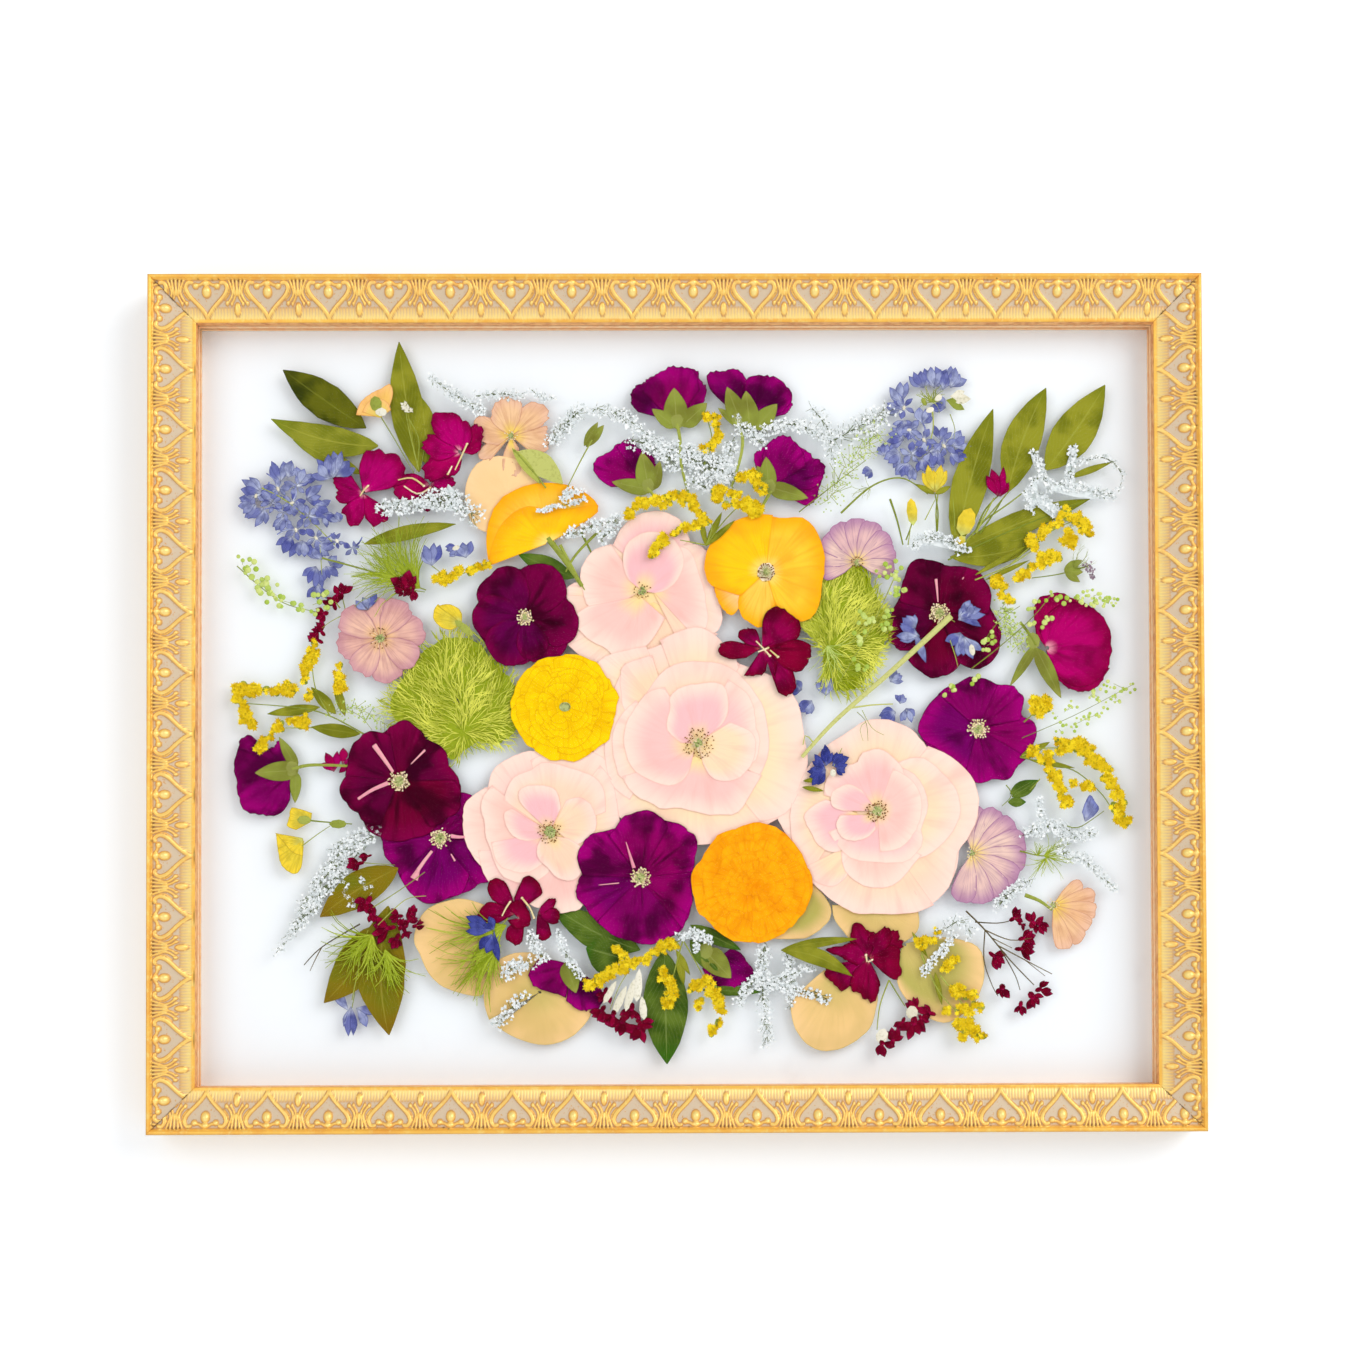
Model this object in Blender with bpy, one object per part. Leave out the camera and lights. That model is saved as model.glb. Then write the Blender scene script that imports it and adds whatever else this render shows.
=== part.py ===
"""Pressed flower frame: a gilded, mitred picture frame that holds pressed flowers between two panes.

Units are metres, +Z is up, and the front faces -Y.  The origin is the middle of the top rail's back
face, where the frame hangs on the wall.  Places of the specimens are given from the middle of the frame.
"""
import math

import bmesh
import bpy
from mathutils import Vector
from mathutils.geometry import tessellate_polygon

MM = 0.001

# ---- driving dimensions, in millimetres -------------------------------------------------------------
WIDTH = 546.0             # outside of the frame
HEIGHT = 444.5
RAIL_WIDTH = 24.0         # visible face of the moulding
BACK_WIDTH = 18.5         # moulding behind the lip
BEAD_FRONT = 28.0         # highest line of the moulding, at its outer bead
FRIEZE_OUT = (3.6, 26.0)  # inset from the outside and height, where the ornament band starts
FRIEZE_IN = (22.4, 21.0)  # the same, where it ends
LIP_FRONT = 20.6
LIP_BACK = 15.0
JOINT_GAP = 0.15          # half of the gap between two pieces that touch

ORNAMENT_PITCH = 31.5
ORNAMENT_RISE = 1.2
ORNAMENT_SINK = 1.5
TOP_PHASE = -242.7        # first heart on the long rails
SIDE_PHASE = -204.75      # first heart on the short rails

GLASS_THICK = 2.0
GLASS_FRONT = 14.6        # front of the front pane, from the wall
FLOWER_GAP = 4.0          # between the panes
SPACER_WIDTH = 4.6
BOARD_FRONT = 3.8
BOARD_THICK = 2.5
PANE_CLEARANCE = 0.6      # round the edge of panes and board
TOUCH = 0.3               # gap between pieces that rest on each other

LAYER_THICK = 0.6         # one pressed specimen
LAYER_PITCH = 0.95        # one specimen and the gap in front of it
FIRST_LAYER = 0.25        # gap behind the rearmost specimen
EDGE_THICK = 0.3          # a petal or leaf at its outline
RIM_THICK = 0.5           # a bloom round its eye
NEST = 0.02               # how much thinner each further body of a fused specimen is, front and back

HANGER_LENGTH = 46.0
HANGER_WIDTH = 9.0
HANGER_THICK = 1.2
HANGER_PLACE = 150.0      # from the middle to each hanger
HANGER_TEETH = 9

CENTRE_Z = -(HEIGHT - BACK_WIDTH) / 2
GLASS_BACK_FRONT = GLASS_FRONT - GLASS_THICK - FLOWER_GAP
GLASS_BACK_REAR = GLASS_BACK_FRONT - GLASS_THICK

GOLD = ("gilded_wood", (0.80, 0.50, 0.16), 0.38, 0.75)
GLASS = ("clear_glass", (0.92, 0.97, 0.95), 0.03, 0.0)
PALE_WOOD = ("pale_wood", (0.86, 0.66, 0.52), 0.6, 0.0)
WHITE_BOARD = ("white_board", (0.93, 0.93, 0.93), 0.8, 0.0)
STEEL = ("zinc_steel", (0.6, 0.6, 0.62), 0.35, 1.0)
PALE_PINK = ("pale_pink_petal", (0.95, 0.72, 0.64), 0.7, 0.0)
YELLOW = ("yellow_petal", (0.93, 0.68, 0.04), 0.7, 0.0)
ORANGE = ("orange_petal", (0.95, 0.42, 0.02), 0.7, 0.0)
PLUM = ("plum_petal", (0.22, 0.01, 0.14), 0.75, 0.0)
MAGENTA = ("magenta_petal", (0.40, 0.01, 0.20), 0.75, 0.0)
CRIMSON = ("crimson_petal", (0.33, 0.01, 0.06), 0.75, 0.0)
MAUVE = ("mauve_petal", (0.72, 0.45, 0.50), 0.75, 0.0)
PEACH = ("peach_petal", (0.90, 0.60, 0.36), 0.75, 0.0)
LIME = ("lime_fringe", (0.36, 0.48, 0.05), 0.8, 0.0)
LEAF = ("leaf_green", (0.16, 0.20, 0.03), 0.6, 0.0)
DRY_LEAF = ("dry_leaf", (0.60, 0.45, 0.20), 0.7, 0.0)
BLUE = ("blue_petal", (0.20, 0.24, 0.52), 0.75, 0.0)
GOLDEN = ("golden_flower", (0.85, 0.62, 0.02), 0.85, 0.0)
SILVER = ("silver_flower", (0.70, 0.75, 0.73), 0.85, 0.0)


# ---- making meshes ------------------------------------------------------------------------------------
def clear_scene():
    for item in list(bpy.data.objects):
        bpy.data.objects.remove(item)


def material(finish):
    name, colour, roughness, metallic = finish
    found = bpy.data.materials.get(name)
    if found:
        return found
    made = bpy.data.materials.new(name)
    made.use_nodes = True
    shader = made.node_tree.nodes["Principled BSDF"]
    shader.inputs["Base Color"].default_value = (*colour, 1.0)
    shader.inputs["Roughness"].default_value = roughness
    shader.inputs["Metallic"].default_value = metallic
    made.diffuse_color = (*colour, 1.0)
    return made


def add_object(name, points, faces, finish):
    """Make one closed body from points in millimetres: x, height from the wall, z from the middle."""
    form = bmesh.new()
    verts = [form.verts.new((x * MM, -v * MM, (z + CENTRE_Z) * MM)) for x, v, z in points]
    for face in faces:
        form.faces.new([verts[i] for i in face])
    bmesh.ops.recalc_face_normals(form, faces=form.faces)
    mesh = bpy.data.meshes.new(name)
    form.to_mesh(mesh)
    form.free()
    mesh.materials.append(material(finish))
    made = bpy.data.objects.new(name, mesh)
    bpy.context.collection.objects.link(made)
    return made


def fuse(base, others):
    """Join closed bodies that overlap into the first one."""
    for other in others:
        union = base.modifiers.new("fuse_" + other.name, "BOOLEAN")
        union.operation = "UNION"
        union.object = other
        other.hide_render = True
        other.display_type = "WIRE"
    return base


def prism(name, outline, low, high, finish):
    """Extrude an outline of (x, z) from height low to height high; both may be functions of x, z."""
    low_at = low if callable(low) else lambda x, z: low
    high_at = high if callable(high) else lambda x, z: high
    count = len(outline)
    points = [(x, low_at(x, z), z) for x, z in outline] + [(x, high_at(x, z), z) for x, z in outline]
    fill = tessellate_polygon([[Vector((x, z, 0)) for x, z in outline]])
    faces = [tuple(tri) for tri in fill]
    faces += [tuple(i + count for i in reversed(tri)) for tri in fill]
    faces += [(i, (i + 1) % count, (i + 1) % count + count, i + count) for i in range(count)]
    return add_object(name, points, faces, finish)


def ring_frame(name, outer, width, low, high, finish):
    """A flat rectangular ring: outer is its (width, height) and width is that of its strips."""
    def corners(w, h):
        return [(-w / 2, -h / 2), (w / 2, -h / 2), (w / 2, h / 2), (-w / 2, h / 2)]

    loops = corners(*outer) + corners(outer[0] - 2 * width, outer[1] - 2 * width)
    points = [(x, low, z) for x, z in loops] + [(x, high, z) for x, z in loops]
    faces = []
    for i in range(4):
        j = (i + 1) % 4
        faces.append((i, j, j + 4, i + 4))
        faces.append((i + 8, i + 12, j + 12, j + 8))
        faces.append((i, i + 8, j + 8, j))
        faces.append((i + 4, j + 4, j + 12, i + 12))
    return add_object(name, points, faces, finish)


def terraced(name, rings, finish):
    """A round form: each ring is a loop of (x, z, height), the outermost first, closed by a boss."""
    count = len(rings[0])
    base = rings[0][0][3]
    points = [(x, base, z) for x, z, _, base in rings[0]]
    for ring in rings:
        points += [(x, base + rise, z) for x, z, rise, base in ring]
    middle_x = sum(p[0] for p in rings[-1]) / count
    middle_z = sum(p[1] for p in rings[-1]) / count
    points.append((middle_x, base, middle_z))
    points.append((middle_x, base + rings[-1][0][2] + NEST, middle_z))
    rear, boss = len(points) - 2, len(points) - 1
    faces = []
    for i in range(count):
        j = (i + 1) % count
        faces.append((rear, j, i))
        for level in range(len(rings)):
            near, far = level * count, (level + 1) * count
            faces.append((near + i, near + j, far + j))
            faces.append((near + i, far + j, far + i))
        last = len(rings) * count
        faces.append((last + i, last + j, boss))
    return add_object(name, points, faces, finish)


# ---- frame --------------------------------------------------------------------------------------------
def frieze_height(inset):
    (inset_a, high_a), (inset_b, high_b) = FRIEZE_OUT, FRIEZE_IN
    return high_a + (high_b - high_a) * (inset - inset_a) / (inset_b - inset_a)


def rail_profile():
    """Section of the moulding as (inset from the outside, height from the wall)."""
    bead = [(0.0, 25.4), (0.5, 27.2), (1.7, BEAD_FRONT), (2.9, 27.2)]
    lip = [(RAIL_WIDTH, LIP_FRONT), (RAIL_WIDTH, LIP_BACK)]
    rabbet = [(BACK_WIDTH, LIP_BACK), (BACK_WIDTH, 0.0)]
    return [(0.0, 0.0)] + bead + [FRIEZE_OUT, FRIEZE_IN] + lip + rabbet


def on_rail(side, along, inset):
    """Turn a place on a rail into (x, z) from the middle of the frame."""
    if side == "top":
        return along, HEIGHT / 2 - inset
    if side == "bottom":
        return along, inset - HEIGHT / 2
    if side == "left":
        return inset - WIDTH / 2, along
    return WIDTH / 2 - inset, along


def heart(place):
    """Outline of one heart whose tip points inwards, as (along, inset)."""
    half = [(4.6, 15.4), (11.0, 8.6), (8.6, 4.2)]
    right = [(place + along, inset) for along, inset in half]
    left = [(place - along, inset) for along, inset in reversed(half)]
    return [(place, 21.6)] + right + [(place, 5.9)] + left


def palmette(place):
    """Outline of the palmette between two hearts, as (along, inset)."""
    return [(place - 2.8, 4.2), (place + 2.8, 4.2), (place + 4.0, 14.6), (place, 20.2), (place - 4.0, 14.6)]


def ornament_outlines(length, phase):
    """Every whole heart and palmette that the mitres leave on a rail."""
    outlines = []
    first = math.floor((-length / 2 - phase) / ORNAMENT_PITCH)
    for step in range(2 * first, -2 * first + 60):
        place = phase + step * ORNAMENT_PITCH / 2
        outline = palmette(place) if step % 2 else heart(place)
        if all(abs(along) < length / 2 - inset - 0.5 for along, inset in outline):
            outlines.append(outline)
    return outlines


def make_rail(side, length, phase):
    profile = rail_profile()
    count = len(profile)
    points = []
    for end in (-1, 1):
        for inset, high in profile:
            x, z = on_rail(side, end * (length / 2 - inset - JOINT_GAP), inset)
            points.append((x, high, z))
    fill = tessellate_polygon([[Vector((inset, high, 0)) for inset, high in profile]])
    faces = [tuple(tri) for tri in fill] + [tuple(i + count for i in reversed(tri)) for tri in fill]
    faces += [(i, (i + 1) % count, (i + 1) % count + count, i + count) for i in range(count)]
    rail = add_object("rail_" + side, points, faces, GOLD)

    def depth(shift):
        def at(x, z):
            inset = HEIGHT / 2 - abs(z) if side in ("top", "bottom") else WIDTH / 2 - abs(x)
            return frieze_height(inset) + shift
        return at

    pieces = []
    for number, outline in enumerate(ornament_outlines(length, phase)):
        flat = [on_rail(side, along, inset) for along, inset in outline]
        name = f"{side}_relief_{number}"
        pieces.append(prism(name, flat, depth(-ORNAMENT_SINK), depth(ORNAMENT_RISE), GOLD))
    relief = join(pieces, f"{side}_relief")
    return fuse(rail, [relief])


def join(pieces, name):
    """Put separate bodies in one mesh."""
    form = bmesh.new()
    for piece in pieces:
        form.from_mesh(piece.data)
        bpy.data.objects.remove(piece)
    mesh = bpy.data.meshes.new(name)
    form.to_mesh(mesh)
    form.free()
    made = bpy.data.objects.new(name, mesh)
    bpy.context.collection.objects.link(made)
    return made


def make_glazing():
    opening = (WIDTH - 2 * BACK_WIDTH - 2 * PANE_CLEARANCE, HEIGHT - 2 * BACK_WIDTH - 2 * PANE_CLEARANCE)

    def sheet(name, high, thick, finish):
        w, h = opening
        outline = [(-w / 2, -h / 2), (w / 2, -h / 2), (w / 2, h / 2), (-w / 2, h / 2)]
        return prism(name, outline, high - thick, high, finish)

    sheet("glass_front", GLASS_FRONT, GLASS_THICK, GLASS)
    sheet("glass_back", GLASS_BACK_FRONT, GLASS_THICK, GLASS)
    sheet("backing_board", BOARD_FRONT, BOARD_THICK, WHITE_BOARD)
    ring_frame("pane_spacer", opening, SPACER_WIDTH, GLASS_BACK_FRONT + TOUCH,
               GLASS_FRONT - GLASS_THICK - TOUCH, PALE_WOOD)
    ring_frame("backing_spacer", opening, SPACER_WIDTH, BOARD_FRONT + TOUCH,
               GLASS_BACK_REAR - TOUCH, PALE_WOOD)


def make_hanger(name, place):
    """A sawtooth hanger: a strip with a toothed lower edge, on the top rail's back."""
    middle = HEIGHT / 2 - BACK_WIDTH / 2
    pitch = (HANGER_LENGTH - 12.0) / HANGER_TEETH
    outline = [(place - HANGER_LENGTH / 2, middle + HANGER_WIDTH / 2),
               (place - HANGER_LENGTH / 2, middle - HANGER_WIDTH / 2)]
    start = place - HANGER_TEETH * pitch / 2
    for tooth in range(HANGER_TEETH + 1):
        outline.append((start + tooth * pitch, middle - HANGER_WIDTH / 2))
        if tooth < HANGER_TEETH:
            outline.append((start + (tooth + 0.5) * pitch, middle - HANGER_WIDTH / 2 + 2.2))
    outline += [(place + HANGER_LENGTH / 2, middle - HANGER_WIDTH / 2),
                (place + HANGER_LENGTH / 2, middle + HANGER_WIDTH / 2)]
    return prism(name, outline, -TOUCH - HANGER_THICK, -TOUCH, STEEL)


# ---- specimens ----------------------------------------------------------------------------------------
def layer_base(layer):
    return GLASS_BACK_FRONT + FIRST_LAYER + layer * LAYER_PITCH


def turned(points, centre, angle, scale=1.0):
    """Turn points anticlockwise by an angle in degrees, scale them and put them at a centre."""
    c, s = math.cos(math.radians(angle)), math.sin(math.radians(angle))
    return [(centre[0] + scale * (x * c - z * s), centre[1] + scale * (x * s + z * c)) for x, z in points]


def petal_loop(centre, size, petals, turn, notch, reach=1.0, steps=4):
    """Loop of (x, z, share of a petal) round a bloom whose petals meet in notches."""
    loop = []
    for step in range(petals * steps):
        share = (step % steps) / steps
        angle = math.radians(turn) + 2 * math.pi * step / (petals * steps)
        radius = reach * (1.0 - notch * max(0.0, 1.0 - 4.0 * min(share, 1.0 - share)))
        x = centre[0] + size[0] * radius * math.cos(angle)
        z = centre[1] + size[1] * radius * math.sin(angle)
        loop.append((x, z, share))
    return loop


def make_bloom(name, centre, size, petals, turn, layer, finish, notch=0.12, eye=None, tiers=1, steps=4):
    """An open bloom seen face on; every petal rises from one edge to the other."""
    base = layer_base(layer)
    eye = eye or centre
    rings = []
    for tier in range(tiers):
        outer = 1.0 - 0.38 * tier
        shift = tier * 0.7
        middle = (centre[0] + (eye[0] - centre[0]) * shift, centre[1] + (eye[1] - centre[1]) * shift)
        loop = petal_loop(middle, size, petals, turn + 31.0 * tier, notch, outer, steps)
        low = EDGE_THICK * (0.7 + 0.4 * tier)
        rings.append([(x, z, low + 0.1 * share, base) for x, z, share in loop])
    inner = petal_loop(eye, size, petals, turn, 0.0, 0.24, steps)
    rings.append([(x, z, RIM_THICK, base) for x, z, _ in inner])
    return terraced(name, rings, finish)


def make_fan(name, root, radius, spread, petals, layer, finish):
    """A bloom pressed half open: petals spread round its root between two angles in degrees."""
    base = layer_base(layer)
    steps = petals * 3
    outer = []
    for step in range(steps + 1):
        angle = math.radians(spread[0] + (spread[1] - spread[0]) * step / steps)
        reach = radius * (0.86 if step % 3 == 0 else 1.0)
        outer.append((root[0] + reach * math.cos(angle), root[1] + reach * math.sin(angle)))
    middle_angle = math.radians(sum(spread) / 2)
    behind = (root[0] - 2.0 * math.cos(middle_angle), root[1] - 2.0 * math.sin(middle_angle))
    outer.append(behind)
    eye = (root[0] + radius * 0.3 * math.cos(middle_angle), root[1] + radius * 0.3 * math.sin(middle_angle))
    inner = [(eye[0] + (x - eye[0]) * 0.3, eye[1] + (z - eye[1]) * 0.3) for x, z in outer]
    rings = [[(x, z, EDGE_THICK, base) for x, z in outer], [(x, z, RIM_THICK, base) for x, z in inner]]
    return terraced(name, rings, finish)


def make_leaf(name, base, tip, width, layer, finish, bend=0.0, stations=6, lift=0.0):
    """A pointed leaf from base to tip with a raised midrib; bend bows it to its left."""
    back = layer_base(layer) + lift
    span = Vector((tip[0] - base[0], tip[1] - base[1]))
    side = Vector((-span.y, span.x)).normalized()
    left, middle, right = [], [], []
    for step in range(1, stations):
        t = step / stations
        spot = Vector(base) + span * t + side * bend * 4 * t * (1 - t)
        half = width / 2 * math.sin(math.pi * t ** 0.8) ** 0.8
        left.append(spot + side * half)
        middle.append(spot)
        right.append(spot - side * half)
    edge = EDGE_THICK - 2 * lift
    rib = LAYER_THICK - 2 * lift
    points = [(base[0], back, base[1]), (base[0], back + edge, base[1]),
              (tip[0], back, tip[1]), (tip[0], back + edge, tip[1])]
    for a, m, b in zip(left, middle, right):
        points += [(a.x, back, a.y), (b.x, back, b.y), (a.x, back + edge, a.y),
                   (m.x, back + rib, m.y), (b.x, back + edge, b.y)]
    faces = []
    count = stations - 1
    first, last = 4, 4 + 5 * (count - 1)
    faces += [(0, first, first + 1), (1, first + 2, first + 3), (1, first + 3, first + 4)]
    faces += [(0, 1, first + 2, first), (0, 1, first + 4, first + 1)]
    faces += [(2, last + 1, last), (3, last + 3, last + 2), (3, last + 4, last + 3)]
    faces += [(2, 3, last + 2, last), (2, 3, last + 4, last + 1)]
    for step in range(count - 1):
        here, there = 4 + 5 * step, 9 + 5 * step
        faces.append((here, here + 1, there + 1, there))
        faces.append((here, there, there + 2, here + 2))
        faces.append((here + 2, there + 2, there + 3, here + 3))
        faces.append((here + 3, there + 3, there + 4, here + 4))
        faces.append((here + 1, here + 4, there + 4, there + 1))
    return add_object(name, points, faces, finish)


def make_sprig(name, leaves, layer, finish, stations=6):
    """Leaves that grow from one stem, joined at their bases."""
    parts = []
    for number, (base, tip, width, bend) in enumerate(leaves):
        part_name = name if number == 0 else f"{name}_part_{number}"
        lift = NEST * number
        parts.append(make_leaf(part_name, base, tip, width, layer, finish, bend, stations, lift))
    return fuse(parts[0], parts[1:])


def strip(start, end, width_start, width_end):
    """Outline of a straight tapering strip, such as a stem or a sepal."""
    a, b = Vector(start), Vector(end)
    side = (b - a).orthogonal().normalized()
    corners = [a - side * width_start / 2, b - side * width_end / 2, b + side * width_end / 2,
               a + side * width_start / 2]
    return [(p.x, p.y) for p in corners]


def make_side_rose(name, centre, size, angle, layer, finish, stem=None):
    """A rose seen from the side: a cup of petals over sepals; angle turns the cup from straight up."""
    base = layer_base(layer)
    half_width, half_height = size
    cup = [(0.0, -0.8), (0.62, -0.62), (0.95, -0.1), (1.0, 0.42), (0.62, 0.86), (0.2, 1.0), (-0.05, 0.84),
           (-0.45, 0.96), (-0.9, 0.56), (-1.0, 0.0), (-0.66, -0.6)]
    outline = turned([(x * half_width, z * half_height) for x, z in cup], centre, angle)
    middle = turned([(0.0, 0.1 * half_height)], centre, angle)[0]
    rings = [[(x, z, EDGE_THICK, base) for x, z in outline]]
    rings.append([(middle[0] + (x - middle[0]) * 0.5, middle[1] + (z - middle[1]) * 0.5, RIM_THICK, base)
                  for x, z in outline])
    body = terraced(name, rings, finish)
    root = turned([(0.0, -half_height)], centre, angle)[0]
    sepals = [(-0.72, -0.15), (-0.2, -0.4), (0.0, 0.0), (0.2, -0.42), (0.7, -0.2), (0.22, -1.0),
              (-0.22, -1.0)]
    calyx_outline = turned([(x * half_width, z * half_height) for x, z in sepals], centre, angle)
    added = [prism(name + "_calyx", calyx_outline, base + NEST, base + LAYER_THICK, LEAF)]
    if stem:
        stalk = strip(root, stem, 1.6, 1.2)
        added.append(prism(name + "_stalk", stalk, base + 2 * NEST, base + RIM_THICK, LEAF))
    return fuse(body, added)


def make_cluster(name, florets, layer, finish):
    """Overlapping five-petalled florets grown as one head: each is (x, z, radius, turn)."""
    base = layer_base(layer)
    parts = []
    for number, (x, z, radius, turn) in enumerate(florets):
        lift = NEST * number
        loop = petal_loop((x, z), (radius, radius), 5, turn, 0.35, steps=2)
        rings = [[(px, pz, RIM_THICK - 2 * lift, base + lift) for px, pz, _ in loop]]
        part_name = name if number == 0 else f"{name}_floret_{number}"
        parts.append(terraced(part_name, rings, finish))
    return fuse(parts[0], parts[1:])


def make_tuft(name, centre, size, tips, layer, finish, depth=0.25, angle=0.0):
    """A fringed or sprayed head: its outline runs out to every tip and back between them."""
    base = layer_base(layer)
    outer = []
    for step in range(2 * tips):
        around = math.pi * step / tips
        wander = 0.06 * math.sin(5.0 * around + tips)
        radius = (1.0 - wander if step % 2 == 0 else 1.0 - depth + wander) / 1.06
        outer.append((size[0] * radius * math.cos(around), size[1] * radius * math.sin(around)))
    outer = turned(outer, centre, angle)
    inner = [(centre[0] + (x - centre[0]) * 0.4, centre[1] + (z - centre[1]) * 0.4) for x, z in outer]
    rings = [[(x, z, EDGE_THICK, base) for x, z in outer], [(x, z, RIM_THICK, base) for x, z in inner]]
    return terraced(name, rings, finish)


def make_plume(name, path, widths, layer, finish):
    """A narrow spray along a path, with a knobbed outline that runs out to its tip."""
    base = layer_base(layer)
    left, right = [], []
    for number, (x, z) in enumerate(path):
        ahead = Vector(path[min(number + 1, len(path) - 1)])
        behind = Vector(path[max(number - 1, 0)])
        side = (ahead - behind).orthogonal().normalized() * widths[number] / 2
        left.append((x + side.x, z + side.y))
        right.append((x - side.x, z - side.y))
    return prism(name, left + right[::-1], base, base + RIM_THICK, finish)


def make_blooms():
    for name, centre, size, eye, turn, layer in (
            ("rose_top", (-13.0, 60.5), (44.0, 40.0), (-18.0, 60.0), 12, 0),
            ("rose_left", (-69.5, -66.5), (42.0, 42.0), (-66.5, -66.5), 40, 1),
            ("rose_right", (111.0, -59.5), (46.5, 51.0), (104.5, -55.5), 65, 1),
            ("rose_middle", (17.0, -17.0), (51.5, 51.0), (11.5, -17.5), 25, 1)):
        make_bloom(name, centre, size, 6, turn, layer, PALE_PINK, 0.08, eye, tiers=2)
    make_bloom("ranunculus_yellow", (-65.0, 0.5), (28.0, 28.0), 6, 10, 2, YELLOW, 0.05, (-58.0, -1.0), 2)
    make_bloom("ranunculus_orange", (36.0, -93.0), (30.5, 31.0), 6, 0, 3, ORANGE, 0.05, tiers=2)
    make_bloom("poppy_yellow", (46.5, 70.5), (31.5, 30.0), 5, 60, 2, YELLOW, 0.1)
    for name, centre, size, eye, turn, layer in (
            ("plum_upper_left", (-79.0, 46.5), (27.5, 26.5), (-79.0, 46.0), 100, 1),
            ("plum_left", (-144.0, -40.0), (31.5, 31.5), (-145.0, -39.5), 130, 1),
            ("plum_lower_left", (-125.0, -74.0), (27.5, 29.5), (-123.5, -70.0), 70, 0),
            ("plum_bottom", (-21.0, -90.0), (31.0, 35.0), (-19.5, -90.5), 20, 2),
            ("plum_upper_right", (140.0, 45.5), (28.0, 31.5), (138.0, 49.5), 110, 0),
            ("plum_right", (158.0, -14.0), (30.5, 26.5), (158.0, -14.0), 35, 0)):
        make_bloom(name, centre, size, 5, turn, layer, PLUM, 0.12, eye, steps=3)
    make_bloom("cosmos_pink", (-155.0, 34.0), (23.5, 23.0), 8, 0, 1, MAUVE, 0.12, steps=3)
    for name, root, radius, spread, petals, layer, finish in (
            ("cosmos_fan", (95.0, 74.5), 26.5, (-22.0, 160.0), 6, 1, MAUVE),
            ("cosmos_mauve", (157.5, -80.0), 26.0, (-110.0, 95.0), 7, 0, MAUVE),
            ("cosmos_peach", (196.0, -106.5), 24.5, (-112.0, 42.0), 6, 0, PEACH),
            ("poppy_folded", (-68.0, 81.0), 33.5, (22.0, 198.0), 3, 1, ORANGE)):
        make_fan(name, root, radius, spread, petals, layer, finish)
    make_bloom("peach_bloom", (-85.5, 145.5), (19.5, 15.0), 5, 50, 0, PEACH, 0.15)
    make_bloom("peach_petal", (-89.5, 109.0), (20.5, 19.5), 3, 80, 0, PEACH, 0.06)


def make_side_blooms():
    for name, centre, size, angle, stem, layer in (
            ("spray_rose_top_left", (-3.5, 163.0), (20.0, 14.5), 5, (6.5, 108.0), 0),
            ("spray_rose_top_right", (38.5, 162.0), (21.0, 15.0), -14, (28.0, 112.0), 0),
            ("spray_rose_bud_left", (-27.5, 125.0), (16.0, 15.0), 48, (-11.0, 108.5), 0),
            ("spray_rose_bud_right", (58.5, 122.5), (17.5, 18.0), -50, (42.0, 102.0), 0),
            ("spray_rose_far_left", (-213.0, -36.5), (19.0, 17.0), 85, (-172.0, -31.5), 0),
            ("spray_rose_far_right", (207.0, 31.0), (24.0, 20.0), -75, None, 0),
            ("spray_rose_bottom_left", (-62.0, -144.0), (11.5, 15.0), 35, None, 1),
            ("spray_rose_bottom_right", (27.5, -138.5), (12.0, 12.0), -150, None, 0)):
        finish = MAGENTA if name.endswith("far_right") else PLUM
        make_side_rose(name, centre, size, angle, layer, finish, stem)


def make_clusters():
    make_cluster("phlox_left", [(-161.0, 111.5, 15.0, 20), (-166.0, 122.0, 12.5, 50)], 1, CRIMSON)
    make_cluster("phlox_upper", [(-113.5, 136.5, 13.5, 0), (-124.0, 122.0, 12.5, 30),
                                 (-136.5, 113.5, 9.5, 10)], 2, CRIMSON)
    make_cluster("phlox_centre", [(56.0, 31.5, 15.5, 60), (37.0, 31.0, 12.5, 20), (58.5, 16.0, 9.5, 40)],
                 3, CRIMSON)
    make_cluster("phlox_lower_left", [(-91.0, -102.0, 12.0, 10), (-75.0, -108.0, 13.0, 45)], 2, CRIMSON)
    make_cluster("phlox_lower_right", [(96.0, -130.5, 15.5, 30), (101.0, -143.0, 12.5, 70)], 1, CRIMSON)


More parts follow.
